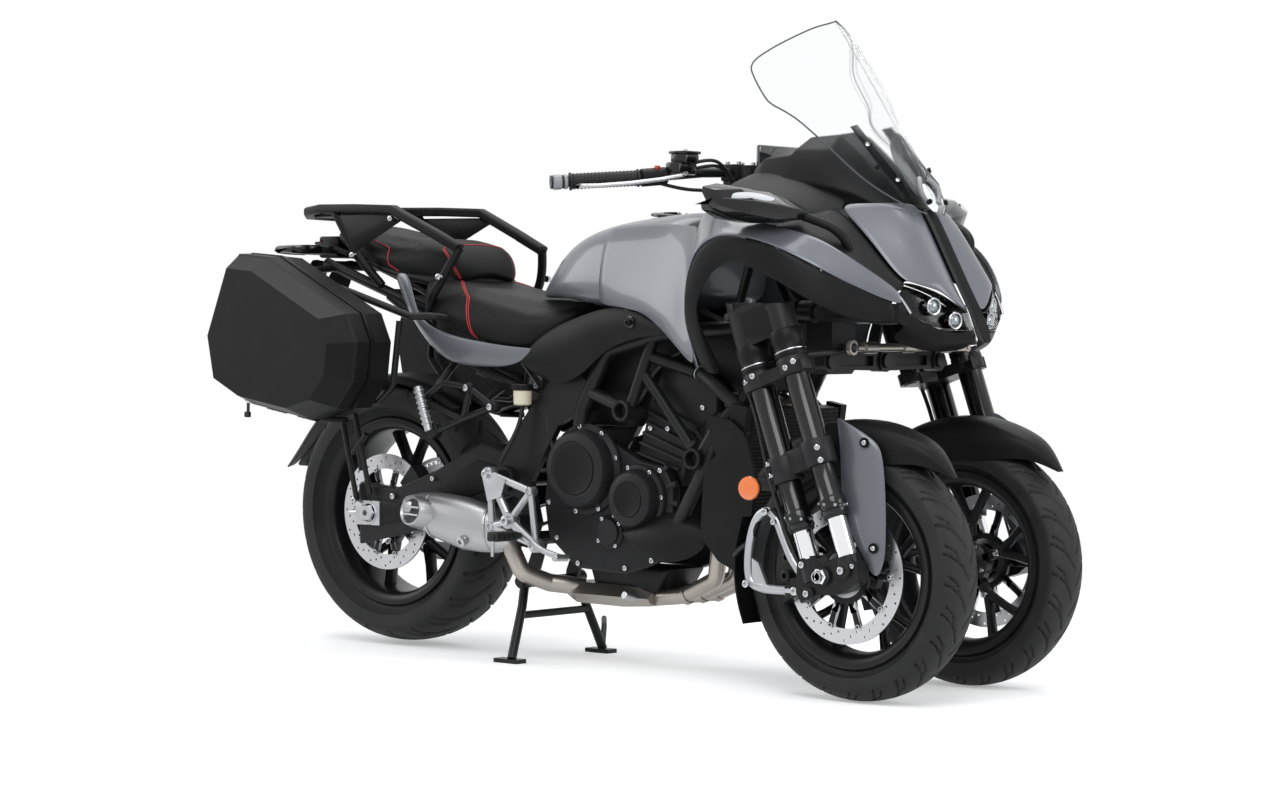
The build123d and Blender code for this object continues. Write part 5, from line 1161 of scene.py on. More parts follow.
def fork_details(side, sign):
    body = side + "_fork"
    fork_cover(side + "_fork_cover", sign, body)
    for tag, leg, top, foot, low, clamp, mid in LEGS:
        along_leg(f"{side}_{tag}_cover_skirt", leg, sign, top - 44, [
            (27, 0), (34.6, 0), (35.6, 2), (35.6, 9), (34, 11), (34, 30), (35.4, 33), (35.4, 52), (33, 56),
            (27, 56)], "satin_black", body)
        along_leg(f"{side}_{tag}_collar_arc", leg, sign, top - 34, [
            (30, 0), (35.9, 0), (36.2, 1.2), (35.9, 2.4), (30, 2.4)], "bright_steel", body)
        along_leg(f"{side}_{tag}_outer_tube", leg, sign, foot, [
            (24, 0), (27.8, 0), (28.2, 1), (28.2, 6), (27.4, 8), (27.4, top - 50 - foot),
            (24, top - 50 - foot)], "gloss_black", body)
        along_leg(f"{side}_{tag}_lower_tube", leg, sign, low - 8, [
            (21.8, 0), (28.0, 0), (29.4, 2), (29.4, 9), (27.2, 11), (27.2, 15), (29.2, 17), (29.2, 31),
            (27.6, 35), (25.4, 38), (25.0, 100), (25.0, foot - low + 4), (21.8, foot - low + 4)],
            "gloss_black", body)
        along_leg(f"{side}_{tag}_seal", leg, sign, low - 14,
                  [(21.6, 0), (25.5, 0), (27.0, 2), (27.0, 6), (25.0, 7.5), (21.6, 7.5)], "soft_rubber", body)
        windows = []
        base = Vector(leg_at(leg, low + 14, sign))
        for i in range(8):
            a = math.tau / 8 * i
            way = Vector((math.cos(a), math.sin(a), 0))
            spot = base + way * 28.6
            windows.append((spot, way, 3.0))
        screws(f"{side}_{tag}_seal_screws", body, windows, "satin_silver")
        along_leg(f"{side}_{tag}_clamp", leg, sign, clamp - 2,
                  [(28, 0), (34.6, 0), (36, 1.6), (36, 30), (34.6, 32), (28, 32)], "cast_black", body)
        along_leg(f"{side}_{tag}_mid_clamp", leg, sign, mid - 2,
                  [(25, 0), (34, 0), (35.4, 1.6), (35.4, 50), (34, 52), (25, 52)], "cast_black", body)
    spots = []
    for leg, z, fore in CLAMP_SCREWS:
        way = Vector((fore, sign * 0.8, 0)).normalized()
        spots.append((Vector(leg_at(leg, z, sign)) + way * 35.5, way, 6.0))
    screws(side + "_clamp_screws", body, spots)
    lug = soften(plate(side + "_mid_web", [
        (-150, 472), (-138, 464), (-22, 506), (-16, 520), (-34, 552), (-48, 552), (-152, 514)],
        sign * (LEG_Y - 20), sign * (LEG_Y + 20), 3), 1.0)
    finished(lug, "cast_black", body)
    axle_end = at(0, sign * (LEG_Y + 25.5), FRONT_Z)
    end = lathe(side + "_axle_end", [(9.5, 0), (18, 0), (18, 10), (16, 13), (9.5, 13)], axle_end,
                (0, sign, 0), 6)
    finished(end, "chrome", body, smooth=20)
    ring = lathe(side + "_axle_ring", [(9.3, 12), (12, 12), (13, 15), (12, 20), (9.3, 20)], axle_end,
                 (0, sign, 0), 40)
    finished(ring, "bright_steel", body)
    spot, way = at(-196, sign * 348, 451), (0.15, sign, 0)
    disc = lathe(side + "_reflector", [(0, 0), (25, 0), (25.5, 3), (24, 6), (20, 7.4), (0, 8)], spot, way)
    finished(disc, "orange_lens", body)
    back = lathe(side + "_reflector_seat", [
        (0, -5), (22, -5), (26.5, -3), (27, 1.5), (25.4, 1.5), (25.4, -1), (0, -1)], spot, way)
    finished(back, "gloss_black", body)
    tongue = side_box(side + "_reflector_tongue", (-196, 336, 446), (-128, 344, 474), sign, 3)
    finished(tongue, "black_metal", body)
    loop = tube(side + "_loop_stay", sided([
        (-84, 309, 236), (-140, 309, 234), (-204, 309, 236), (-226, 309, 256), (-226, 309, 320),
        (-210, 309, 380), (-184, 309, 404), (-156, 309, 396), (-132, 309, 344), (-104, 309, 290),
        (-72, 309, 262)], sign), 10.2)
    finished(loop, "satin_silver", body, smooth=60)
    web = plate(side + "_loop_web", [
        (-200, 238), (-214, 252), (-214, 300), (-196, 290), (-176, 250),
        (-170, 240)], sign * 303, sign * 315, 2)
    finished(web, "satin_silver", body)
    screws(side + "_loop_screws", body, side_spots([
        (-92, 318, 236, 9), (-78, 318, 264, 7), (-221, 320, 244, 8), (-172, 320, 401, 8),
        (-150, 320, 380, 6)], sign))
    lugs = [rod_piece("lug", (-36, sign * (LEG_Y + 18), 236), (-36, sign * (LEG_Y + 26), 236), 13),
            rod_piece("lug", (54, sign * (LEG_Y + 18), 290), (54, sign * (LEG_Y + 27), 290), 17),
            rod_piece("lug", (-50, sign * (LEG_Y + 17), 296), (-50, sign * (LEG_Y + 24), 296), 14)]
    finished(join(side + "_lug_bosses", lugs), "cast_black", body)
    screws(side + "_lug_screws", body, [((-36, sign * (LEG_Y + 26), 236), (0, sign, 0), 7),
                                        ((54, sign * (LEG_Y + 27), 290), (0, sign, 0), 8),
                                        ((76, sign * (LEG_Y + 19), 300), (0, sign, 0), 5),
                                        ((-50, sign * (LEG_Y + 24), 296), (0, sign, 0), 7)])
    caps = [(CAP_R * math.cos(math.radians(a)), 299, FRONT_Z + CAP_R * math.sin(math.radians(a)), 12)
            for a in (166, 184, 200)]
    screws(side + "_caliper_caps", body, side_spots(caps, sign), "black_metal")
    cable = tube(side + "_speed_cable", sided([
        (-60, 352, 296), (-84, 356, 340), (-108, 357, 400), (-128, 358, 450), (-146, 360, 500)], sign), 3)
    finished(cable, "soft_rubber", body, smooth=60)


FENDER = (              # degrees round the wheel, radii of the crown, shoulder and lower edge, half width
    (42, 318, 316, 312, 9), (50, 326, 322, 300, 28), (58, 334, 326, 282, 48), (68, 340, 330, 258, 62),
    (80, 343, 332, 244, 69), (94, 343, 333, 242, 71), (108, 342, 333, 246, 72), (122, 339, 330, 262, 72),
    (134, 335, 327, 284, 70), (140, 331, 325, 300, 66))


def fork_guards(side, sign):
    body = side + "_fork"
    rows = []
    for deg, crown, shoulder, low, half in FENDER:
        a = math.radians(deg)
        row = []
        for share, radius in ((-1.0, low), (-1.0, (low + shoulder) / 2), (-0.86, shoulder), (-0.4, crown - 2),
                              (0, crown), (0.4, crown - 2), (0.86, shoulder), (1.0, (low + shoulder) / 2),
                              (1.0, low)):
            if deg >= 60:
                radius -= 12 if abs(share) < 0.5 else 12 * 0.6
            row.append(at(radius * math.cos(a), sign * HALF_TRACK + share * half, FRONT_Z
                          + radius * math.sin(a)))
        rows.append(row)
    fender = rounded(grid_sheet(side + "_mudguard_shell", rows), 2)
    turn_outwards(fender, at(0, sign * HALF_TRACK, FRONT_Z))
    thicken(fender, 2.5)
    finished(soften(fender, 0.6, 1, 60), "satin_black", body, replaces=(side + "_mudguard",),
             smooth=60)
    blade = panel_side(side + "_fork_guard", (
        ((-14, 288, 606), (4, 300, 604), (22, 296, 596)), ((-6, 290, 572), (44, 304, 584), (82, 286, 564)),
        ((0, 292, 545), (56, 307, 552), (101, 284, 542)), ((4, 294, 500), (58, 308, 500), (108, 284, 498)),
        ((8, 296, 440), (62, 308, 440), (113, 284, 440)), ((16, 298, 392), (68, 308, 390), (116, 286, 380)),
        ((40, 298, 352), (80, 306, 346), (117, 288, 330)), ((66, 298, 318), (90, 303, 310), (112, 290, 296)),
        ((84, 296, 286), (94, 298, 280), (102, 293, 276))), sign, 2.5)
    finished(soften(blade, 0.6, 1, 60), "paint_grey", body, smooth=60)
    for n, (x, z) in enumerate(((70, 556), (96, 336))):
        seat = lathe(f"{side}_guard_recess_{n}", [(4, 0), (9, 0), (11, 2.4), (10, 3.6), (8, 2.0), (4, 1.0)],
                     at(x, sign * 301, z), (0.3, sign, 0), 32)
        finished(seat, "satin_black", body)
    screws(side + "_guard_screws", body, [
        ((70, sign * 302, 556), (0.3, sign, 0), 5), ((96, sign * 302, 336), (0.3, sign, 0), 5)])
    rows = []
    for deg in (158, 166, 174, 182, 190, 198, 205):
        a = math.radians(deg)
        rows.append([(FLAP_R * math.cos(a) - bend, HALF_TRACK + y, FRONT_Z + FLAP_R * math.sin(a))
                     for y, bend in ((-42, -6), (-36, 0), (0, 2), (60, 2), (76, 0), (82, -8))])
    flap = panel_side(side + "_rear_flap", rows, sign, 2.5)
    finished(flap, "satin_black", body, smooth=60)
    arm = tube(side + "_flap_stay", sided([(-226, 306, 330), (-262, 296, 318), (-286, 280, 300)], sign), 6)
    finished(arm, "black_metal", body, smooth=60)


def turn_outwards(obj, centre):
    """Faces of a sheet that bends round a centre point away from it."""
    if sum(f.normal.dot(f.center - centre) * f.area for f in obj.data.polygons) < 0:
        obj.data.flip_normals()


def build_forks():
    on_both_sides(fork_details)
    on_both_sides(fork_guards)


# ---------------------------------------------------------------- seats, tail, rail, luggage
RIDER = ((-890, ((0, 826), (30, 826), (52, 828), (58, 836), (50, 843), (28, 846), (0, 847))),
         (-925, ((0, 800), (60, 796), (96, 792), (106, 806), (98, 832), (56, 842), (0, 843))),
         (-960, ((0, 770), (90, 758), (132, 750), (142, 772), (130, 820), (72, 838), (0, 838))),
         (-1000, ((0, 752), (110, 734), (154, 724), (162, 756), (150, 820), (84, 840), (0, 838))),
         (-1060, ((0, 750), (118, 734), (164, 726), (171, 764), (158, 834), (90, 850), (0, 848))),
         (-1130, ((0, 762), (122, 748), (168, 741), (174, 780), (162, 850), (92, 862), (0, 858))),
         (-1200, ((0, 780), (124, 764), (168, 758), (174, 800), (164, 866), (92, 874), (0, 868))),
         (-1270, ((0, 800), (122, 786), (166, 778), (172, 820), (162, 884), (90, 890), (0, 882))),
         (-1325, ((0, 826), (116, 814), (156, 806), (162, 840), (152, 902), (86, 906), (0, 896))),
         (-1352, ((0, 850), (100, 846), (130, 846), (138, 866), (130, 904), (70, 908), (0, 900))))
PILLION = ((-1252, ((0, 904), (60, 902), (84, 900), (90, 908), (84, 918), (50, 922), (0, 922))),
           (-1272, ((0, 890), (84, 888), (104, 890), (110, 918), (102, 950), (54, 956), (0, 956))),
           (-1304, ((0, 888), (100, 886), (124, 890), (130, 936), (122, 980), (60, 987), (0, 988))),
           (-1400, ((0, 892), (112, 890), (136, 898), (140, 944), (128, 982), (60, 990), (0, 990))),
           (-1470, ((0, 906), (112, 904), (136, 914), (140, 952), (126, 986), (60, 993), (0, 993))),
           (-1540, ((0, 926), (106, 924), (128, 936), (132, 968), (118, 1000), (58, 1008), (0, 1008))),
           (-1610, ((0, 952), (96, 950), (116, 962), (118, 990), (102, 1016), (54, 1024), (0, 1025))),
           (-1680, ((0, 980), (78, 978), (94, 988), (96, 1006), (80, 1022), (42, 1029), (0, 1030))),
           (-1708, ((0, 996), (56, 996), (68, 1000), (70, 1009), (56, 1018), (30, 1021), (0, 1022))))


CUSHION_GRAIN = 0.0055  # metres between the cushion's points
STUFFING = {"use_pressure": True, "uniform_pressure_force": 4.0, "tension_stiffness": 30,
            "compression_stiffness": 30, "shear_stiffness": 20, "bending_stiffness": 4}
STUFFING_FRAMES = 12
SWELLING = 5.0


def stuffed(obj, limit):
    """Fills a cushion with a short cloth simulation and keeps the swelling under a limit in millimetres."""
    apply_modifier(obj, "REMESH", mode="VOXEL", voxel_size=CUSHION_GRAIN)
    start = [v.co.copy() for v in obj.data.vertices]
    take(obj)
    mod = obj.modifiers.new("stuffing", "CLOTH")
    for key, value in STUFFING.items():
        setattr(mod.settings, key, value)
    mod.settings.effector_weights.gravity = 0
    mod.point_cache.frame_start = 1
    mod.point_cache.frame_end = 20
    for frame_no in range(1, STUFFING_FRAMES + 1):
        bpy.context.scene.frame_set(frame_no)
    bpy.ops.object.modifier_apply(modifier=mod.name)
    bpy.context.scene.frame_set(1)
    for vert, before in zip(obj.data.vertices, start):
        move = vert.co - before
        if move.length > limit / MM:
            vert.co = before + move.normalized() * (limit / MM)
    return obj


THREAD_LIFT = 0.0005    # metres that the thread's middle stands above the cover
STITCH = 9              # millimetres between the thread's points on the cover
PAIR = (-3, 3)          # two threads side by side


def stitch(shell, name, line, shifts=(0,)):
    """Thread laid on the cover along a line of points (millimetres), once for each shift along X."""
    for k, shift in enumerate(shifts):
        spots = []
        for a, b in zip(line, line[1:]):
            a, b = Vector(a), Vector(b)
            count = max(2, int((b - a).length / STITCH))
            spots += [a.lerp(b, i / count) for i in range(count)]
        spots.append(Vector(line[-1]))
        points = []
        for spot in spots:
            _, place, way, _ = shell.closest_point_on_mesh(at(spot.x + shift, spot.y, spot.z))
            points.append(in_mm(place + way * THREAD_LIFT))
        finished(tube(f"{name}_{k}", points, 1.25, resolution=2, round_steps=2), "red_thread", smooth=60)


def seat(name, node, table, inset_y):
    """A stuffed cushion; the middle of its top, inset_y wide at each x, has a second cover."""
    shell = rounded(closed_half(name, table))
    stuffed(shell, SWELLING)
    rounded(shell, 1)
    finished(shell, "seat_black", replaces=(node,), smooth=60)
    shell.data.materials.append(FINISH["seat_grey"])
    for face in shell.data.polygons:
        c = in_mm(face.center)
        if face.normal.z > 0.35 and abs(c.y) < inset_y(c.x):
            face.material_index = 1
    return shell


def build_seats():
    rider = seat("rider_cushion", "rider_seat", RIDER,
                 lambda x: 0 if x < -1190 else 138 if x < -1010 else 60 + (-890 - x) * 0.62)
    pillion = seat("pillion_cushion", "pillion_seat", PILLION,
                   lambda x: 0 if x > -1500 else 108 if x > -1640 else 76)
    for side, sign in SIDES:
        stitch(rider, side + "_rider_thread", sided((
            (-1262, 96, 886), (-1225, 130, 880), (-1192, 158, 868), (-1180, 174, 830), (-1168, 174, 790),
            (-1158, 170, 748)), sign), PAIR)
        stitch(pillion, side + "_pillion_thread", sided((
            (-1262, 100, 892), (-1284, 114, 940), (-1306, 122, 982)), sign), PAIR)
        stitch(pillion, side + "_pillion_edge", sided((
            (-1436, 138, 912), (-1466, 140, 930), (-1476, 132, 978), (-1540, 118, 1000), (-1610, 104, 1014),
            (-1672, 80, 1022), (-1700, 50, 1020), (-1706, 0, 1022)), sign))
    stitch(rider, "rider_top_thread", [
        (-1240, 110, 882), (-1180, 140, 868), (-1100, 138, 858), (-1020, 120, 844), (-960, 92, 838)])
    stitch(pillion, "pillion_front_thread", [
        (-1304, -118, 984), (-1300, -60, 990), (-1300, 60, 990), (-1304, 118, 984)])
    base = rounded(closed_half("seat_tray", (
        (-1262, ((0, 866), (120, 866), (136, 872), (138, 890), (126, 912), (60, 916), (0, 916))),
        (-1330, ((0, 872), (124, 872), (140, 880), (140, 896), (128, 908), (60, 912), (0, 912))),
        (-1450, ((0, 894), (120, 892), (134, 900), (134, 912), (122, 922), (60, 926), (0, 926))),
        (-1600, ((0, 938), (104, 936), (118, 942), (118, 950), (108, 960), (50, 964), (0, 964))))))
    finished(base, "satin_black")


INDICATOR = (           # y, and the ends along x and z of each section
    (118, -1762, -1716, 956, 976), (126, -1772, -1704, 953, 979), (160, -1790, -1712, 954, 979),
    (192, -1800, -1726, 957, 976), (198, -1796, -1736, 960, 973))
RAIL_LINE = (
    (-1222, 150, 968), (-1300, 153, 1004), (-1398, 158, 1046), (-1432, 157, 1062), (-1560, 150, 1066),
    (-1690, 140, 1067), (-1752, 122, 1061), (-1782, 88, 1054), (-1784, 0, 1052))
RAIL_SECTION = ((-15, -7), (-10, -11), (10, -11), (15, -7), (15, 6), (10, 11), (-10, 11), (-15, 6))
RAIL_STAYS = (
    ((-1640, 146, 1060), (-1560, 148, 950), (-1502, 122, 880)),
    ((-1225, 150, 966), (-1246, 180, 900), (-1290, 182, 840), (-1326, 140, 808)))


def build_tail():
    side = panel("tail_side_panels", (
        ((-966, 171, 736), (-968, 173, 731), (-972, 171, 725)),
        ((-1030, 175, 738), (-1030, 178, 712), (-1030, 170, 690)),
        ((-1130, 179, 749), (-1130, 184, 720), (-1132, 172, 690)),
        ((-1234, 179, 764), (-1240, 184, 730), (-1252, 168, 695)),
        ((-1328, 172, 796), (-1334, 178, 785), (-1346, 158, 774)),
        ((-1352, 168, 850), (-1368, 172, 838), (-1386, 152, 822)),
        ((-1374, 164, 904), (-1396, 166, 888), (-1416, 148, 869)),
        ((-1402, 156, 912), (-1418, 156, 908), (-1434, 146, 902))), 2.5)
    finished(side, "paint_grey", replaces=("tail_panels",), smooth=60)
    under = panel("tail_tray", (
        ((-1340, 0, 838), (-1340, 90, 838), (-1340, 128, 850), (-1340, 138, 872)),
        ((-1450, 0, 880), (-1450, 86, 880), (-1450, 118, 890), (-1450, 126, 908)),
        ((-1600, 0, 930), (-1600, 76, 930), (-1600, 102, 938), (-1600, 108, 952)),
        ((-1712, 0, 964), (-1712, 60, 964), (-1712, 84, 970), (-1712, 90, 984)),
        ((-1786, 0, 976), (-1786, 50, 976), (-1786, 70, 980), (-1786, 76, 990))), 3)
    finished(under, "satin_black", smooth=50)
    lamp = panel("tail_lamp_glass", (
        ((-1790, 0, 1000), (-1788, 40, 1000), (-1774, 64, 998)),
        ((-1794, 0, 976), (-1792, 40, 976), (-1778, 66, 974)),
        ((-1790, 0, 952), (-1788, 40, 953), (-1774, 60, 956))), 3)
    finished(lamp, "red_lens", replaces=("tail_light",), smooth=50)
    box = box_piece("tail_lamp_box", (-1784, -58, 948), (-1716, 58, 1002), 6)
    finished(box, "satin_black")
    guard = panel("plate_holder", (
        ((-1790, 0, 944), (-1788, 70, 944), (-1784, 84, 946)),
        ((-1850, 0, 830), (-1850, 70, 830), (-1846, 88, 832)),
        ((-1880, 0, 762), (-1880, 70, 762), (-1876, 86, 764))), 3, 1)
    finished(guard, "satin_black", smooth=50)
    for tag, sign in SIDES:
        stem = tube(tag + "_rear_indicator_stem", sided([(-1724, 58, 962), (-1732, 96, 965),
                (-1738, 126, 966)], sign), 8)
        finished(stem, "soft_rubber", smooth=60)
        rings = []
        for y, x0, x1, z0, z1 in INDICATOR:
            corners = ((x0, z0 + 4), (x0 + 8, z0), (x1 - 8, z0), (x1, z0 + 4),
                       (x1, z1 - 4), (x1 - 8, z1), (x0 + 8, z1), (x0, z1 - 4))
            rings.append([at(x, sign * y, z) for x, z in corners])
        finished(soften(ring_loft(tag + "_rear_indicator", rings), 2, 2, 25), "gloss_black")
        lens = side_box(tag + "_rear_indicator_lens", (-1801, 128, 958), (-1788, 190, 975), sign, 3)
        finished(lens, "orange_lens")
    line = [Vector(p) for p in RAIL_LINE + tuple(sided(RAIL_LINE[-2::-1], -1))]
    rings = []
    for k, point in enumerate(line):
        before, after = line[max(k - 1, 0)], line[min(k + 1, len(line) - 1)]
        way = (after - before).normalized()
        across = way.cross(Vector((0, 0, 1))).normalized()
        up = across.cross(way).normalized()
        rings.append([at(*(point + across * u + up * v)) for u, v in RAIL_SECTION])
    finished(soften(ring_loft("grab_handle", rings), 1.5, 2, 25), "satin_black", replaces=("grab_rail",),
             smooth=50)
    deck = plate("rail_deck", [
        (-1782, 1046), (-1700, 1050), (-1640, 1056), (-1640, 1062), (-1700, 1058), (-1782, 1055)], -98, 98, 3)
    finished(deck, "satin_black")
    screws("rail_deck_screws", "chassis", [
        ((x, y, 1056), (0, 0, 1), 7) for x in (-1762, -1726) for y in (-50, 50)])
    for tag, sign in SIDES:
        for n, points in enumerate(RAIL_STAYS):
            stay = tube(f"{tag}_rail_stay_{n}", sided(points, sign), 11, smooth=n == 1)
            finished(stay, "satin_black", smooth=60)
        gusset = plate_between(f"{tag}_rail_gusset", [
            (-1630, 152, 1050), (-1440, 160, 1050), (-1404, 160, 1034), (-1560, 156, 960), (-1600, 154, 990)],
            sign, 4)
        finished(gusset, "satin_black")
        screws(f"{tag}_rail_screws", "chassis", side_spots([
            (-1560, 161, 952, 8), (-1246, 192, 900, 8), (-1428, 168, 1040, 7)], sign))


CASE_LINE = ((-1740, 952), (-1640, 944), (-1372, 812), (-1340, 745), (-1350, 655), (-1405, 588), (-1500, 562),
             (-1690, 592), (-1790, 640), (-1816, 760))


CASE_MIDDLE = (-1575.0, 745.0)


def case_ring(inward, y, sign, pull=(0, 0)):
    """The case's outline drawn in towards its middle, at one depth."""
    cx, cz = CASE_MIDDLE
    ring = []
    for x, z in CASE_LINE:
        length = Vector((x - cx, z - cz)).length
        share = max(length - inward, 1) / length
        ring.append(at(cx + (x - cx) * share + pull[0], sign * y, cz + (z - cz) * share + pull[1]))
    return ring


def luggage(side, sign):
    lid_body = side + "_pannier_lid"
    rings = [case_ring(6, 333.5, sign), case_ring(-2.5, 332.5, sign), case_ring(-3, 340, sign),
             case_ring(-1, 372, sign), case_ring(30, 402, sign, (4, 0)), case_ring(44, 405, sign, (6, -2)),
             case_ring(58, 424, sign, (10, 6)), case_ring(96, 436, sign, (18, 12))]
    skin = ring_loft(side + "_lid_skin", rings, caps=False)
    edit(skin, "DESELECT")
    bpy.ops.mesh.select_mode(type="VERT")
    bpy.ops.object.mode_set(mode="OBJECT")
    for vert in list(skin.data.vertices)[-len(CASE_LINE):]:
        vert.select = True
    bpy.ops.object.mode_set(mode="EDIT")
    bpy.ops.mesh.edge_face_add()
    close_edit()
    face_sideways(skin, sign)
    thicken(skin, 1.6)
    soften(skin, 4, 3, 12)
    finished(skin, "grained_black", lid_body, smooth=40)
    rim = ring_loft(side + "_case_rim", [case_ring(4, 316, sign), case_ring(-4, 317, sign),
            case_ring(-5, 322, sign), case_ring(-4, 328.5, sign), case_ring(4, 328.5, sign)], caps=False)
    thicken(rim, -0.8)
    finished(rim, "satin_black", smooth=40)
    badge = plate_between(side + "_badge_place", [
        (-1660, 437.2, 806), (-1572, 438.4, 806), (-1580, 438.4, 788), (-1668, 437.2, 788)], sign, 2)
    finished(badge, "gloss_black", lid_body)
    latch = side_box(side + "_latch", (-1500, 304, 552), (-1430, 326, 566), sign, 4)
    finished(latch, "satin_black")
    lock = lathe(side + "_lock", [(0, 0), (12, 0), (12, 6), (9, 9), (0, 9)], at(-1752, sign * 322, 602),
                 (-0.5, 0, -0.85), 32)
    finished(lock, "bright_steel")
    keys = [box_piece("key", (-1762, sign * 322 - 1, 562), (-1752, sign * 322 + 1, 592), 0.8),
            box_piece("key", (-1768, sign * 322 - 4, 556), (-1750, sign * 322 + 4, 570), 2.5)]
    finished(join(side + "_keys", keys), "soft_rubber")
    foot = plate(side + "_case_arm", [(-1500, 690), (-1380, 660), (-1366, 640), (-1382, 628), (-1512, 660)],
                 sign * 226, sign * 252, 3)
    finished(foot, "black_metal")


def build_luggage():
    on_both_sides(luggage)


# ---------------------------------------------------------------- engine, frame, exhaust and foot controls
TUBE_ENDS = ((-686, 599), (-479, 498))      # the frame's cross tubes, (x, z)
CYLINDER_RIBS = 6
LOOMS = (
    ((-560, 128, 736), (-620, 150, 700), (-640, 156, 640), (-700, 150, 590)),
    ((-520, 130, 560), (-470, 150, 530), (-440, 158, 470), (-436, 160, 400)),
    ((-900, 140, 640), (-930, 150, 600), (-940, 156, 560), (-920, 150, 500)))
CRANK_RIBS = 5


def ring_of(x, y, z, radius, count, sign, head, start=0.3):
    """Places for screws that face outwards, evenly round a cover."""
    return [((x + radius * math.cos(start + math.tau * i / count), sign * y, z
              + radius * math.sin(start + math.tau * i / count)), (0, sign, 0), head) for i in range(count)]


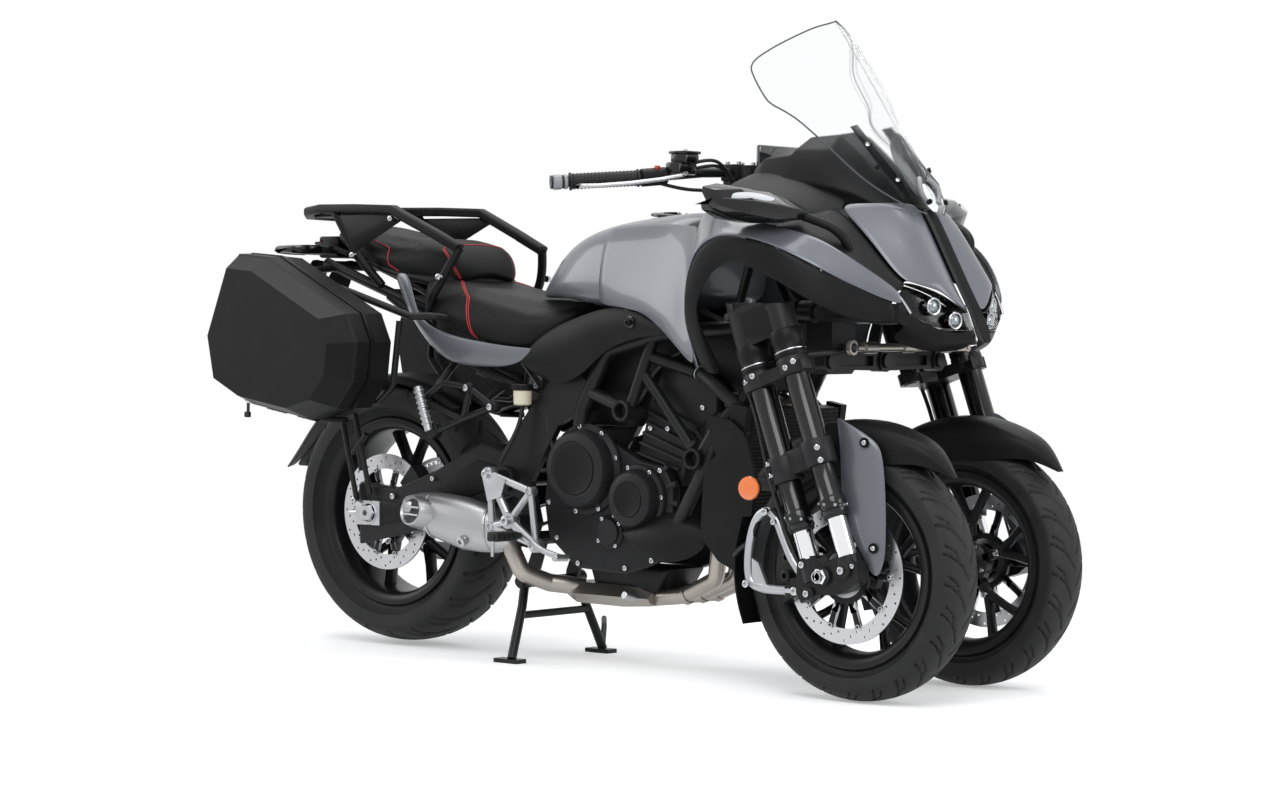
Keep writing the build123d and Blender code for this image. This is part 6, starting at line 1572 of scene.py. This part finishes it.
def engine_side(side, sign):
    right = sign < 0
    centre = (-819, 461) if right else (-663, 399)
    big = side_lathe(side + "_big_cover", [
        (0, 0), (103, 0), (105, 3), (104, 9), (97, 13), (93, 17), (90, 34), (84, 47), (76, 52), (66, 53),
        (64, 50), (60, 48.5), (0, 48)], centre[0], 148, centre[1], sign, 96)
    finished(big, "cast_black", replaces=("engine_covers",) if right else (), smooth=30)
    inset = side_lathe(side + "_big_cover_face", [(0, 0), (50, 0), (56, 2), (58, 0.8), (58, -4), (0, -4)],
                       centre[0], 197, centre[1], sign, 72)
    finished(inset, "satin_black", smooth=30)
    spots = ring_of(centre[0], 158, centre[1], 99, 9, sign, 6.0)
    if right:
        crank = side_lathe("crank_cover", [
            (0, 0), (78, 0), (80, 3), (78, 9), (70, 13), (67, 26), (60, 38), (52, 42), (42, 43), (40, 40.5),
            (0, 40)], -663, 150, 399, sign, 80)
        finished(crank, "cast_black", smooth=30)
        face = side_lathe("crank_cover_face", [(0, 0), (34, 0), (37, 1.4), (38, 0.5), (38, -4), (0, -4)],
                          -663, 191, 399, sign, 64)
        finished(face, "satin_black", smooth=30)
        spots += ring_of(-663, 159, 399, 74, 7, sign, 5.5, 0.1)
        pump = side_lathe("small_cover", [(0, 0), (40, 0), (41, 3), (38, 10), (32, 14), (30, 20), (0, 22)],
                          -745, 146, 320, sign, 56)
        finished(pump, "cast_black", smooth=30)
        spots += ring_of(-745, 156, 320, 36, 4, sign, 5.0, 0.6)
    else:
        cover = side_lathe("sprocket_side_cover", [(0, 0), (74, 0), (76, 3), (72, 10), (60, 16), (0, 18)],
                           -890, 128, 424, sign, 64)
        finished(cover, "cast_black", smooth=30)
        spots += ring_of(-890, 138, 424, 68, 5, sign, 5.5)
    deck = plate(side + "_crankcase_deck", [
        (-936, 300), (-950, 380), (-940, 470), (-905, 524), (-820, 556), (-735, 520), (-660, 486),
        (-592, 474), (-566, 430), (-566, 330), (-600, 262), (-700, 226),
        (-850, 232)], sign * 120, sign * 150, 6)
    finished(soften(deck, 1.5, 2, 20), "cast_black", replaces=("engine",) if right else (), smooth=40)
    for x, z in ((-900, 512), (-930, 380), (-736, 508), (-600, 466), (-578, 350), (-622, 262), (-840, 244),
                 (-700, 240), (-905, 300)):
        spots += side_spots([(x, 150, z)], sign, 6.0)
    block = plate(side + "_cylinder_side", [
        (-560, 430), (-580, 470), (-694, 488), (-648, 634), (-610, 706), (-566, 716), (-462, 652),
        (-462, 602), (-505, 572), (-545, 500)], sign * 70, sign * 124, 5)
    finished(block, "cast_black", smooth=40)
    ribs = []
    for k in range(CYLINDER_RIBS):
        t = k / (CYLINDER_RIBS - 1)
        a = (-690 + 44 * t, 500 + 118 * t)
        b = (-566 + 52 * t, 466 + 96 * t)
        ribs.append(plate("rib", [a, (a[0] + 2, a[1] + 6), (b[0] + 2, b[1] + 6), b],
                          sign * 118, sign * 132, 1.2))
    for k in range(CRANK_RIBS):
        a = -0.9 + k * 0.42
        inner, outer = [(-663 + r * math.cos(a), sign * 146, 399 + r * math.sin(a)) for r in (84, 112)]
        ribs.append(rod_piece("rib", inner, outer, 7))
    finished(join(side + "_casting_ribs", ribs), "cast_black", smooth=40)
    head = plate(side + "_cam_cover", [
        (-650, 642), (-606, 722), (-560, 734), (-452, 666), (-446, 640), (-470, 628), (-570, 690),
        (-604, 672), (-634, 622)], sign * 60, sign * 118, 5)
    finished(head, "satin_black", smooth=40)
    for x, z in ((-630, 650), (-596, 706), (-520, 690), (-466, 650), (-500, 610), (-530, 540), (-600, 560),
                 (-650, 560)):
        spots += side_spots([(x, 124, z)], sign, 6.0)
    screws(side + "_engine_screws", "chassis", spots)
    # A black sheet inside the frame between engine and tank: painted shade where one would see through the
    # bike, partly standing for the dark parts inside it.
    shade_infill = plate(side + "_inner_shade_sheet", [
        (-1010, 600), (-1000, 700), (-900, 800), (-700, 836), (-560, 836), (-430, 790), (-330, 780),
        (-330, 700), (-420, 640), (-440, 660), (-560, 736), (-650, 700), (-720, 560), (-860, 560),
        (-940, 540)], sign * 60, sign * 104, 6)
    finished(shade_infill, "satin_black", smooth=40)
    for n, (x, z) in enumerate(TUBE_ENDS):
        ring = side_lathe(f"{side}_tube_end_{n}", [
            (16.5, 0), (22.6, 0), (24, 1.5), (24, 12), (22.4, 14), (18, 14), (16.5, 12)], x, 182, z, sign, 48)
        finished(ring, "black_metal")
        plug = side_lathe(f"{side}_tube_plug_{n}", [(0, 0), (16, 0), (16, 3), (13, 5), (5, 4), (0, 4)], x,
                          168, z, sign, 40)
        finished(plug, "cast_black")
    hose = tube(side + "_coolant_hose", sided([
        (-430, 150, 560), (-452, 158, 500), (-500, 160, 420), (-540, 158, 350), (-574, 150, 310)], sign), 16)
    finished(hose, "soft_rubber", smooth=60)
    hose = tube(side + "_top_hose", sided([
        (-380, 140, 606), (-420, 146, 640), (-470, 140, 672), (-520, 118, 690)], sign), 15)
    finished(hose, "soft_rubber", smooth=60)
    clips = []
    for a, b in (((-434, sign * 151, 552), (-438, sign * 152.5, 541)),
                 ((-566, sign * 152, 322), (-571, sign * 151, 314)),
                 ((-512, sign * 121, 687), (-520, sign * 118, 690))):
        clips.append(rod_piece("clip", a, b, 17.4))
    finished(join(side + "_hose_clips", clips), "satin_silver")
    for n, line in enumerate(LOOMS):
        wire = tube(f"{side}_loom_{n}", sided(line, sign), 5)
        finished(wire, "soft_rubber", smooth=60)


FINS = 34
LOUVRES = 8
HEADER_Y = (-88, 0, 88)
HEADER_JOINTS = (       # (x, share of y, z) at both ends of each ring
    ((-448, 1, 626), (-438, 1, 626)),
    ((-484, 0.9, 300), (-487, 0.89, 288)),
    ((-590, 0.64, 182), (-602, 0.62, 177)))


def build_engine():
    on_both_sides(engine_side)
    sump = soften(plate("sump", [(-880, 236), (-860, 182), (-680, 176), (-640, 236)], -70, 70, 8), 2)
    finished(sump, "cast_black")
    fins = []
    for k in range(FINS):
        t = (k + 0.5) / FINS
        x, z = -336 - 40 * t, 606 - 280 * t
        fins.append(box_piece("fin", (x, -158, z), (x + 5, 158, z + 2.2), 0.4, 1))
    finished(join("radiator_fins", fins), "black_metal")
    slots = []
    for sign in (-1, 1):
        for k in range(LOUVRES):
            x, z = -392 - k * 3, 540 - k * 34
            outline = [(x, z), (-318, z + 16), (-318, z + 24), (x, z + 8)]
            slots.append(plate("louvre", outline, sign * 186, sign * 192))
    finished(join("shroud_louvres", slots), "satin_black")


SILENCER = (            # x, z, half width, half height and y of each section; the last ones go back inside
    (-1010, 292, 22, 24, 184), (-1030, 298, 30, 32, 186), (-1058, 309, 41, 50, 190),
    (-1100, 315, 47, 58, 194), (-1150, 322, 50, 62, 197), (-1210, 333, 50, 57, 201),
    (-1262, 342, 47, 48, 204), (-1306, 346, 41, 36, 207), (-1310, 347, 37, 32, 207),
    (-1296, 346, 34, 29, 207), (-1250, 342, 33, 28, 205))
SLANT_FROM = 6          # from this section on the end is cut at a slant
SEAMS = ((-1064, 310.5, 43, 52.5, 190.6), (-1236, 337.5, 49.6, 54, 202.6))
SEAM_SECTION = ((0.2, -3), (1.6, -1.5), (1.6, 1.5), (0.2, 3))
CAN_STEPS = 28
CAN_SQUARE = 0.8        # below 1 the section is fuller than an ellipse
TIP_STEPS = 40
TIP_SIZE = (0.046, 0.031)
TIP_PLACE = (-1268, -249, 347)
TIP_WAY = (-0.30, -0.90, 0.18)


def can_ring(x, z, wide, tall, y, slant):
    """One section of the silencer, on the right side."""
    ring = []
    for i in range(CAN_STEPS):
        c, s = math.cos(math.tau * i / CAN_STEPS), math.sin(math.tau * i / CAN_STEPS)
        u = wide * math.copysign(abs(c) ** CAN_SQUARE, c)
        v = tall * math.copysign(abs(s) ** CAN_SQUARE, s)
        ring.append(at(x - v * slant, -(y + u), z + v))
    return ring


def build_exhaust():
    rings = [rod_piece("ring", (x0, y * s0, z0), (x1, y * s1, z1), 22)
             for y in HEADER_Y for (x0, s0, z0), (x1, s1, z1) in HEADER_JOINTS]
    finished(join("header_rings", rings), "header_metal")
    screws("header_screws", "chassis", [
        ((-436, y + s, 626), (1, 0, 0), 6) for y in HEADER_Y for s in (-26, 26)])
    probe = rod_piece("oxygen_sensor", (-720, -96, 168), (-724, -128, 176), 9)
    finished(probe, "satin_silver")
    can = ring_loft("silencer_body", [can_ring(*section, 0.28 if n >= SLANT_FROM else 0.10)
                                      for n, section in enumerate(SILENCER)])
    finished(can, "silencer_metal", replaces=("silencer",), smooth=50)
    centre, way = at(*TIP_PLACE), Vector(TIP_WAY).normalized()
    along = way.cross(Vector((0, 0, 1))).normalized()
    rise = along.cross(way).normalized()

    def oval(name, profile):
        """A skin through ovals round the tip, each with its share of the size and its distance along it."""
        turns = [math.tau * i / TIP_STEPS for i in range(TIP_STEPS)]
        return ring_loft(name, [[centre + along * (TIP_SIZE[0] * share * math.cos(a))
                                 + rise * (TIP_SIZE[1] * share * math.sin(a)) + way * (reach / MM)
                                 for a in turns] for share, reach in profile])

    tip = oval("silencer_tip", [(0.84, -6), (0.93, 9), (1.0, 13), (1.10, 11), (1.20, 0), (1.28, -26)])
    finished(tip, "silencer_metal")
    finished(oval("silencer_mouth", [(0.86, -10), (0.90, 6), (0.80, 5)]), "soft_rubber")
    bars = []
    for lift in (-0.009, 0.009):
        ends = [in_mm(centre + rise * lift + way * 0.008 + along * reach) for reach in (-0.034, 0.034)]
        bars.append(rod_piece("bar", *ends, 3))
    finished(join("silencer_bars", bars), "bright_steel")
    screws("silencer_screw", "chassis", [((-1118, -240, 286), (-0.1, -1, -0.35), 12)])
    seams = [ring_loft("seam", [can_ring(x + shift, z, wide + grow, tall + grow, y, 0.10)
                                for grow, shift in SEAM_SECTION]) for x, z, wide, tall, y in SEAMS]
    finished(join("silencer_seams", seams), "silencer_metal")


HANGER_POINTS = {"a": (-1050, 444), "b": (-985, 338), "c": (-904, 284), "d": (-922, 408), "e": (-1040, 322)}
HANGER_ARMS = (("a", "b", 10), ("b", "c", 11), ("a", "d", 9), ("d", "c", 8), ("a", "e", 8), ("e", "b", 9),
               ("b", "d", 8), ("e", "c", 8))
TRUSS = ((-1072, 598), (-1148, 641), (-1232, 650), (-1306, 604), (-1262, 532), (-1170, 566))


def foot_side(side, sign):
    right = sign < 0
    parts = []
    hub = HANGER_POINTS
    for p, q, r in HANGER_ARMS:
        parts.append(rod_piece("arm", (hub[p][0], sign * 228, hub[p][1]), (hub[q][0], sign * 228, hub[q][1]),
                               r))
    for key, r in (("a", 16), ("b", 20), ("c", 16), ("d", 11), ("e", 11)):
        parts.append(side_lathe("boss", [
            (0, 0), (r - 1, 0), (r, 1.5), (r, 22), (r - 2, 25), (r * 0.55, 25), (r * 0.5, 22), (0, 22)],
            hub[key][0], 214, hub[key][1], sign, 40))
    finished(join(side + "_hanger", parts), "satin_silver", replaces=("footrests",) if right else (),
             smooth=40)
    guard = plate(side + "_heel_guard", [(-1064, 440), (-1046, 452), (-990, 434), (-1004, 392), (-1046, 380)],
                  sign * 236, sign * 240, 1.5)
    finished(guard, "satin_silver")
    spots = [(*hub["a"], 9), (*hub["c"], 9), (*hub["b"], 11)]
    screws(side + "_hanger_screws", "chassis", side_spots([(x, 238, z, head) for x, z, head in spots], sign))
    spacer = [rod_piece("spacer", (-1048, sign * 164, 440), (-1048, sign * 216, 440), 12),
              rod_piece("spacer", (-985, sign * 158, 338), (-985, sign * 216, 338), 12)]
    finished(join(side + "_hanger_spacers", spacer), "black_metal")
    peg = [side_box("peg", (-962, y, 296), (-928, y + 12, 318), sign, 4) for y in range(262, 323, 15)]
    peg.append(rod_piece("peg_core", (-945, sign * 240, 306), (-945, sign * 338, 306), 8))
    finished(join(side + "_foot_peg", peg), "soft_rubber")
    feeler = rod_piece(side + "_peg_feeler", (-945, sign * 330, 298), (-945, sign * 332, 262), 4)
    finished(feeler, "bright_steel")
    lever = tube(side + "_foot_lever", sided([
        (-905, 246, 298), (-880, 256, 286), (-840, 262, 272), (-792, 262, 264)], sign), 7)
    finished(lever, "satin_silver", smooth=60)
    toe = rod_piece(side + "_toe_piece", (-790, sign * 252, 264), (-790, sign * 296, 266), 8)
    finished(toe, "satin_silver")
    truss = []
    for (x, z), (x2, z2), radius in [(a, b, 8) for a, b in zip(TRUSS, TRUSS[1:] + TRUSS[:1])] + [
            (TRUSS[1], TRUSS[5], 7), (TRUSS[5], TRUSS[3], 7)]:
        truss.append(rod_piece("bar", (x, sign * 190, z), (x2, sign * 190, z2), radius))
    truss.append(rod_piece("bar", (-1100, sign * 132, 640), (-1100, sign * 184, 616), 9))
    truss.append(rod_piece("bar", (-1256, sign * 120, 700), (-1256, sign * 186, 640), 9))
    for x, z, r in ((-1072, 598, 14), (-1148, 641, 13), (-1262, 536, 18)):
        truss.append(side_lathe("boss", [(0, 0), (r, 0), (r, 16), (r - 3, 20), (0, 20)], x, 180, z, sign, 32))
    finished(join(side + "_pillion_bracket", truss), "black_metal", smooth=40)
    screws(side + "_pillion_screws", "chassis", side_spots([(-1072, 200, 598, 8), (-1148, 200, 641, 8)],
            sign))
    foot, top = Vector((-1262, sign * 208, 536)), Vector((-1296, sign * 212, 640))
    fold = [rod_piece("fold", foot, top, 10)]
    for k in range(7):
        t = 0.15 + k * 0.12
        fold.append(rod_piece("ring", foot.lerp(top, t), foot.lerp(top, t + 0.05), 13))
    finished(join(side + "_folded_peg", fold), "satin_silver", smooth=40)


def build_feet():
    on_both_sides(foot_side)
    spot, up = at(-990, -182, 604), (0, 0, 1)
    pot = lathe("fluid_pot", [(0, 0), (18, 0), (21, 3), (22, 34), (0, 34)], spot, up, 40)
    finished(pot, "cream_plastic")
    cap = lathe("fluid_cap", [(0, 34), (24, 34), (25, 36), (25, 46), (22, 49), (0, 49)], spot, up, 16)
    finished(cap, "satin_black", smooth=20)
    pipe_piece = tube("fluid_hose", [
        (-990, -182, 604), (-992, -184, 570), (-1010, -196, 520), (-1030, -214, 470)], 5)
    finished(pipe_piece, "soft_rubber", smooth=60)


ARM_LINE = ((-1552, 398), (-1429, 390), (-1298, 438), (-1150, 510), (-1074, 490), (-1038, 438), (-1046, 392),
            (-1104, 374), (-1296, 318), (-1395, 282), (-1548, 250))


GUARD_STAY = (          # (x, z) at both ends of each bar
    (-1545, 356, -1600, 570), (-1500, 372, -1560, 590), (-1600, 570, -1560, 590), (-1530, 430, -1548, 520),
    (-1560, 470, -1515, 520))


def rear_side(side, sign):
    arm = soften(plate(side + "_swingarm_skin", ARM_LINE, sign * 136, sign * 147, 4), 2.5, 2, 15)
    finished(arm, "cast_black", smooth=40)
    rib = plate(side + "_swingarm_rib", [
        (-1520, 366), (-1420, 356), (-1290, 406), (-1160, 470), (-1090, 458), (-1070, 430), (-1110, 404),
        (-1290, 350), (-1400, 314), (-1510, 296)], sign * 146, sign * 151, 2)
    finished(rib, "satin_black", smooth=40)
    block = side_box(side + "_axle_block", (-1556, 140, 298), (-1474, 155, 358), sign, 3)
    finished(block, "satin_silver" if sign < 0 else "black_metal")
    nut = lathe(side + "_axle_nut", [(8.2, 0), (22, 0), (22, 10), (20, 13), (8.2, 13)],
                at(REAR_X, sign * 155, REAR_Z), (0, sign, 0), 6)
    finished(nut, "bright_steel", smooth=20)
    washer = side_lathe(side + "_axle_washer", [(8.2, 0), (29, 0), (30, 1), (29, 3), (8.2, 3)], REAR_X, 153,
                        REAR_Z, sign, 48)
    finished(washer, "satin_silver")
    adjust = rod_piece(side + "_adjuster", (-1556, sign * 147, 328), (-1580, sign * 147, 326), 5)
    finished(adjust, "bright_steel")
    cap = side_lathe(side + "_pivot_cap", [
        (0, 0), (28, 0), (30, 2), (29, 8), (24, 11), (12, 11), (10, 8), (0, 8)], -1060, 164, 430, sign, 48)
    finished(cap, "cast_black")
    stay = [rod_piece("stay", (x0, sign * 160, z0), (x1, sign * 160, z1), 6.5) for x0, z0, x1,
            z1 in GUARD_STAY]
    finished(join(side + "_guard_stay", stay), "black_metal", smooth=40)
    screws(side + "_rear_screws", "chassis", side_spots([
        (-1430, 150, 372, 7), (-1300, 150, 420, 6), (-1600, 166, 572, 7), (-1545, 166, 358, 7)], sign))


def build_rear():
    on_both_sides(rear_side)
    knee = panel("knee_covers", (
        ((-1012, 168, 712), (-1010, 172, 704), (-980, 168, 684)),
        ((-960, 172, 756), (-950, 182, 720), (-930, 176, 664)),
        ((-896, 172, 790), (-886, 188, 742), (-870, 180, 652)),
        ((-820, 178, 812), (-812, 194, 772), (-800, 184, 682)),
        ((-740, 186, 834), (-736, 200, 796), (-740, 188, 736)),
        ((-650, 198, 828), (-652, 206, 798), (-664, 194, 758)),
        ((-590, 206, 806), (-600, 210, 790), (-606, 200, 768)),
        ((-536, 212, 780), (-550, 212, 776), (-560, 206, 770))), 3)
    finished(knee, "satin_black", replaces=("side_covers",), smooth=50)
    for side, sign in SIDES:
        seat_ring = side_lathe(side + "_knee_recess", [(5, 2), (13, 0), (15, 1), (13, 4), (8, 3), (5, 4)],
                               -652, 205, 799, sign, 40)
        finished(seat_ring, "gloss_black")
        screws(side + "_knee_screw", "chassis", side_spots([(-652, 206, 799, 7)], sign), "satin_black")
    belly = panel("belly_covers", (
        ((-700, 150, 330), (-690, 186, 326), (-660, 190, 300)),
        ((-640, 150, 372), (-630, 198, 340), (-600, 196, 272)),
        ((-560, 150, 376), (-556, 200, 336), (-548, 196, 262)),
        ((-500, 150, 366), (-490, 196, 330), (-490, 190, 272)),
        ((-452, 150, 342), (-446, 186, 322), (-452, 176, 298))), 3, 1)
    finished(soften(belly, 1.0, 1, 20), "satin_black", smooth=25)


GRIP_RIBS = 18
LEVER_LINE = (          # x, y, z and half width
    (-496, 204, 1132, 9), (-492, 232, 1124, 9.5), (-516, 262, 1116, 8.5), (-566, 316, 1106, 8),
    (-612, 366, 1100, 7.5), (-642, 394, 1099, 8.5))
LEVER_SECTION = ((-1, -2), (-0.5, -5), (0.5, -5), (1, -2), (1, 2), (0.5, 5), (-0.5, 5), (-1, 2))
BAR_CABLES = (
    ((-502, 190, 1150), (-478, 150, 1166), (-472, 96, 1156), (-480, 52, 1120)),
    ((-556, 236, 1112), (-520, 190, 1096), (-492, 120, 1096), (-484, 60, 1088)),
    ((-510, 170, 1140), (-484, 130, 1154), (-476, 86, 1146), (-486, 44, 1112)))


def build_bars():
    for side, sign in SIDES:
        a, b = Vector((-573, sign * 272.5, 1119.8)), Vector((-672, sign * 392, 1109.3))
        way = b - a
        length = way.length
        outline = [(11, 0), (20, 0), (20, 3)]
        for k in range(GRIP_RIBS):
            h = 5 + k * (length - 10) / GRIP_RIBS
            outline += [(16.5, h), (17.8, h + 1.6), (17.8, h + 4.6), (16.5, h + 6)]
        outline += [(20, length - 3), (20, length), (11, length)]
        grip = lathe(side + "_grip", outline, at(*a), way, 32)
        finished(grip, "soft_rubber", "handlebar", replaces=("hand_controls",) if sign > 0 else (),
                 smooth=30)
        weight = lathe(side + "_bar_end", [
            (0, 0), (15, 0), (16.5, 2), (16.5, 7), (13, 9), (13, 12), (16.5, 14), (17, 30), (14, 34),
            (0, 34)], at(-675, sign * 396, 1109), way, 40)
        finished(weight, "grey_plastic", "handlebar")
        hub = rod_piece(side + "_switch_body", (-540, sign * 216, 1126), (-572, sign * 268, 1120), 20, 3)
        finished(hub, "satin_black", "handlebar")
        keys = [side_box("key", (-552, 236, 1138), (-540, 246, 1148), sign, 2),
                side_box("key", (-566, 248, 1128), (-556, 258, 1142), sign, 2)]
        finished(join(side + "_switch_keys", keys), "grey_plastic" if sign > 0 else "red_lens", "handlebar")
        pump = [side_box("pump", (-534, 164, 1128), (-492, 230, 1156), sign, 6),
                side_box("pot", (-530, 168, 1152), (-484, 216, 1176), sign, 5),
                side_box("lid", (-533, 165, 1174), (-481, 219, 1181), sign, 3)]
        finished(join(side + "_lever_pump", pump), "gloss_black", "handlebar")
        screws(side + "_pump_screws", "handlebar", [
            ((-522, sign * 176, 1181), (0, 0, 1), 4), ((-492, sign * 208, 1181), (0, 0, 1), 4)],
            "bright_steel")
        rings = [[at(x + u * wide, sign * y, z + v) for u, v in LEVER_SECTION] for x, y, z,
                 wide in LEVER_LINE]
        lever = soften(ring_loft(side + "_hand_lever", rings), 1, 1, 25)
        finished(lever, "satin_silver", "handlebar", smooth=60)
        for n, line in enumerate(BAR_CABLES):
            wire = tube(f"{side}_bar_cable_{n}", sided(line, sign), 4)
            finished(wire, "soft_rubber", "handlebar", smooth=60)
    clamp = [box_piece("clamp", (-526, -40, 1120), (-474, -14, 1158), 4),
             box_piece("clamp", (-526, 14, 1120), (-474, 40, 1158), 4)]
    finished(join("bar_clamps", clamp), "satin_black", "handlebar")
    screws("bar_clamp_screws", "handlebar", [
        ((x, y, 1158), (0, 0, 1), 6) for x in (-516, -484) for y in (-27, 27)])


HUG = (                 # degrees round the wheel, radius and half width
    (52, 333, 60), (62, 335, 76), (78, 336, 84), (90, 337, 86), (102, 338, 86), (114, 339, 86),
    (126, 342, 84), (138, 348, 80), (148, 358, 74), (158, 378, 62), (167, 417, 44))
HUG_SECTION = ((0, 5), (0.55, 3), (0.86, -3), (1.0, -20))       # share of the half width, and lift


def build_hugger():
    rows = []
    for deg, r, wide in HUG:
        c, s = math.cos(math.radians(deg)), math.sin(math.radians(deg))
        rows.append([(REAR_X + (r + up) * c, wide * share, REAR_Z + (r + up) * s)
                     for share, up in HUG_SECTION])
    finished(panel("rear_mudguard", rows, 2.5), "satin_black", replaces=("rear_hugger",), smooth=60)


build_camera()
build_studio()
build_finishes()
dress_nodes()
for build in (build_wheels, build_tank, build_front, build_lamps, build_shade_liner, build_screen, build_mirrors,
              build_forks, build_seats, build_tail, build_luggage, build_engine, build_exhaust, build_feet,
              build_rear, build_bars, build_hugger):
    build()
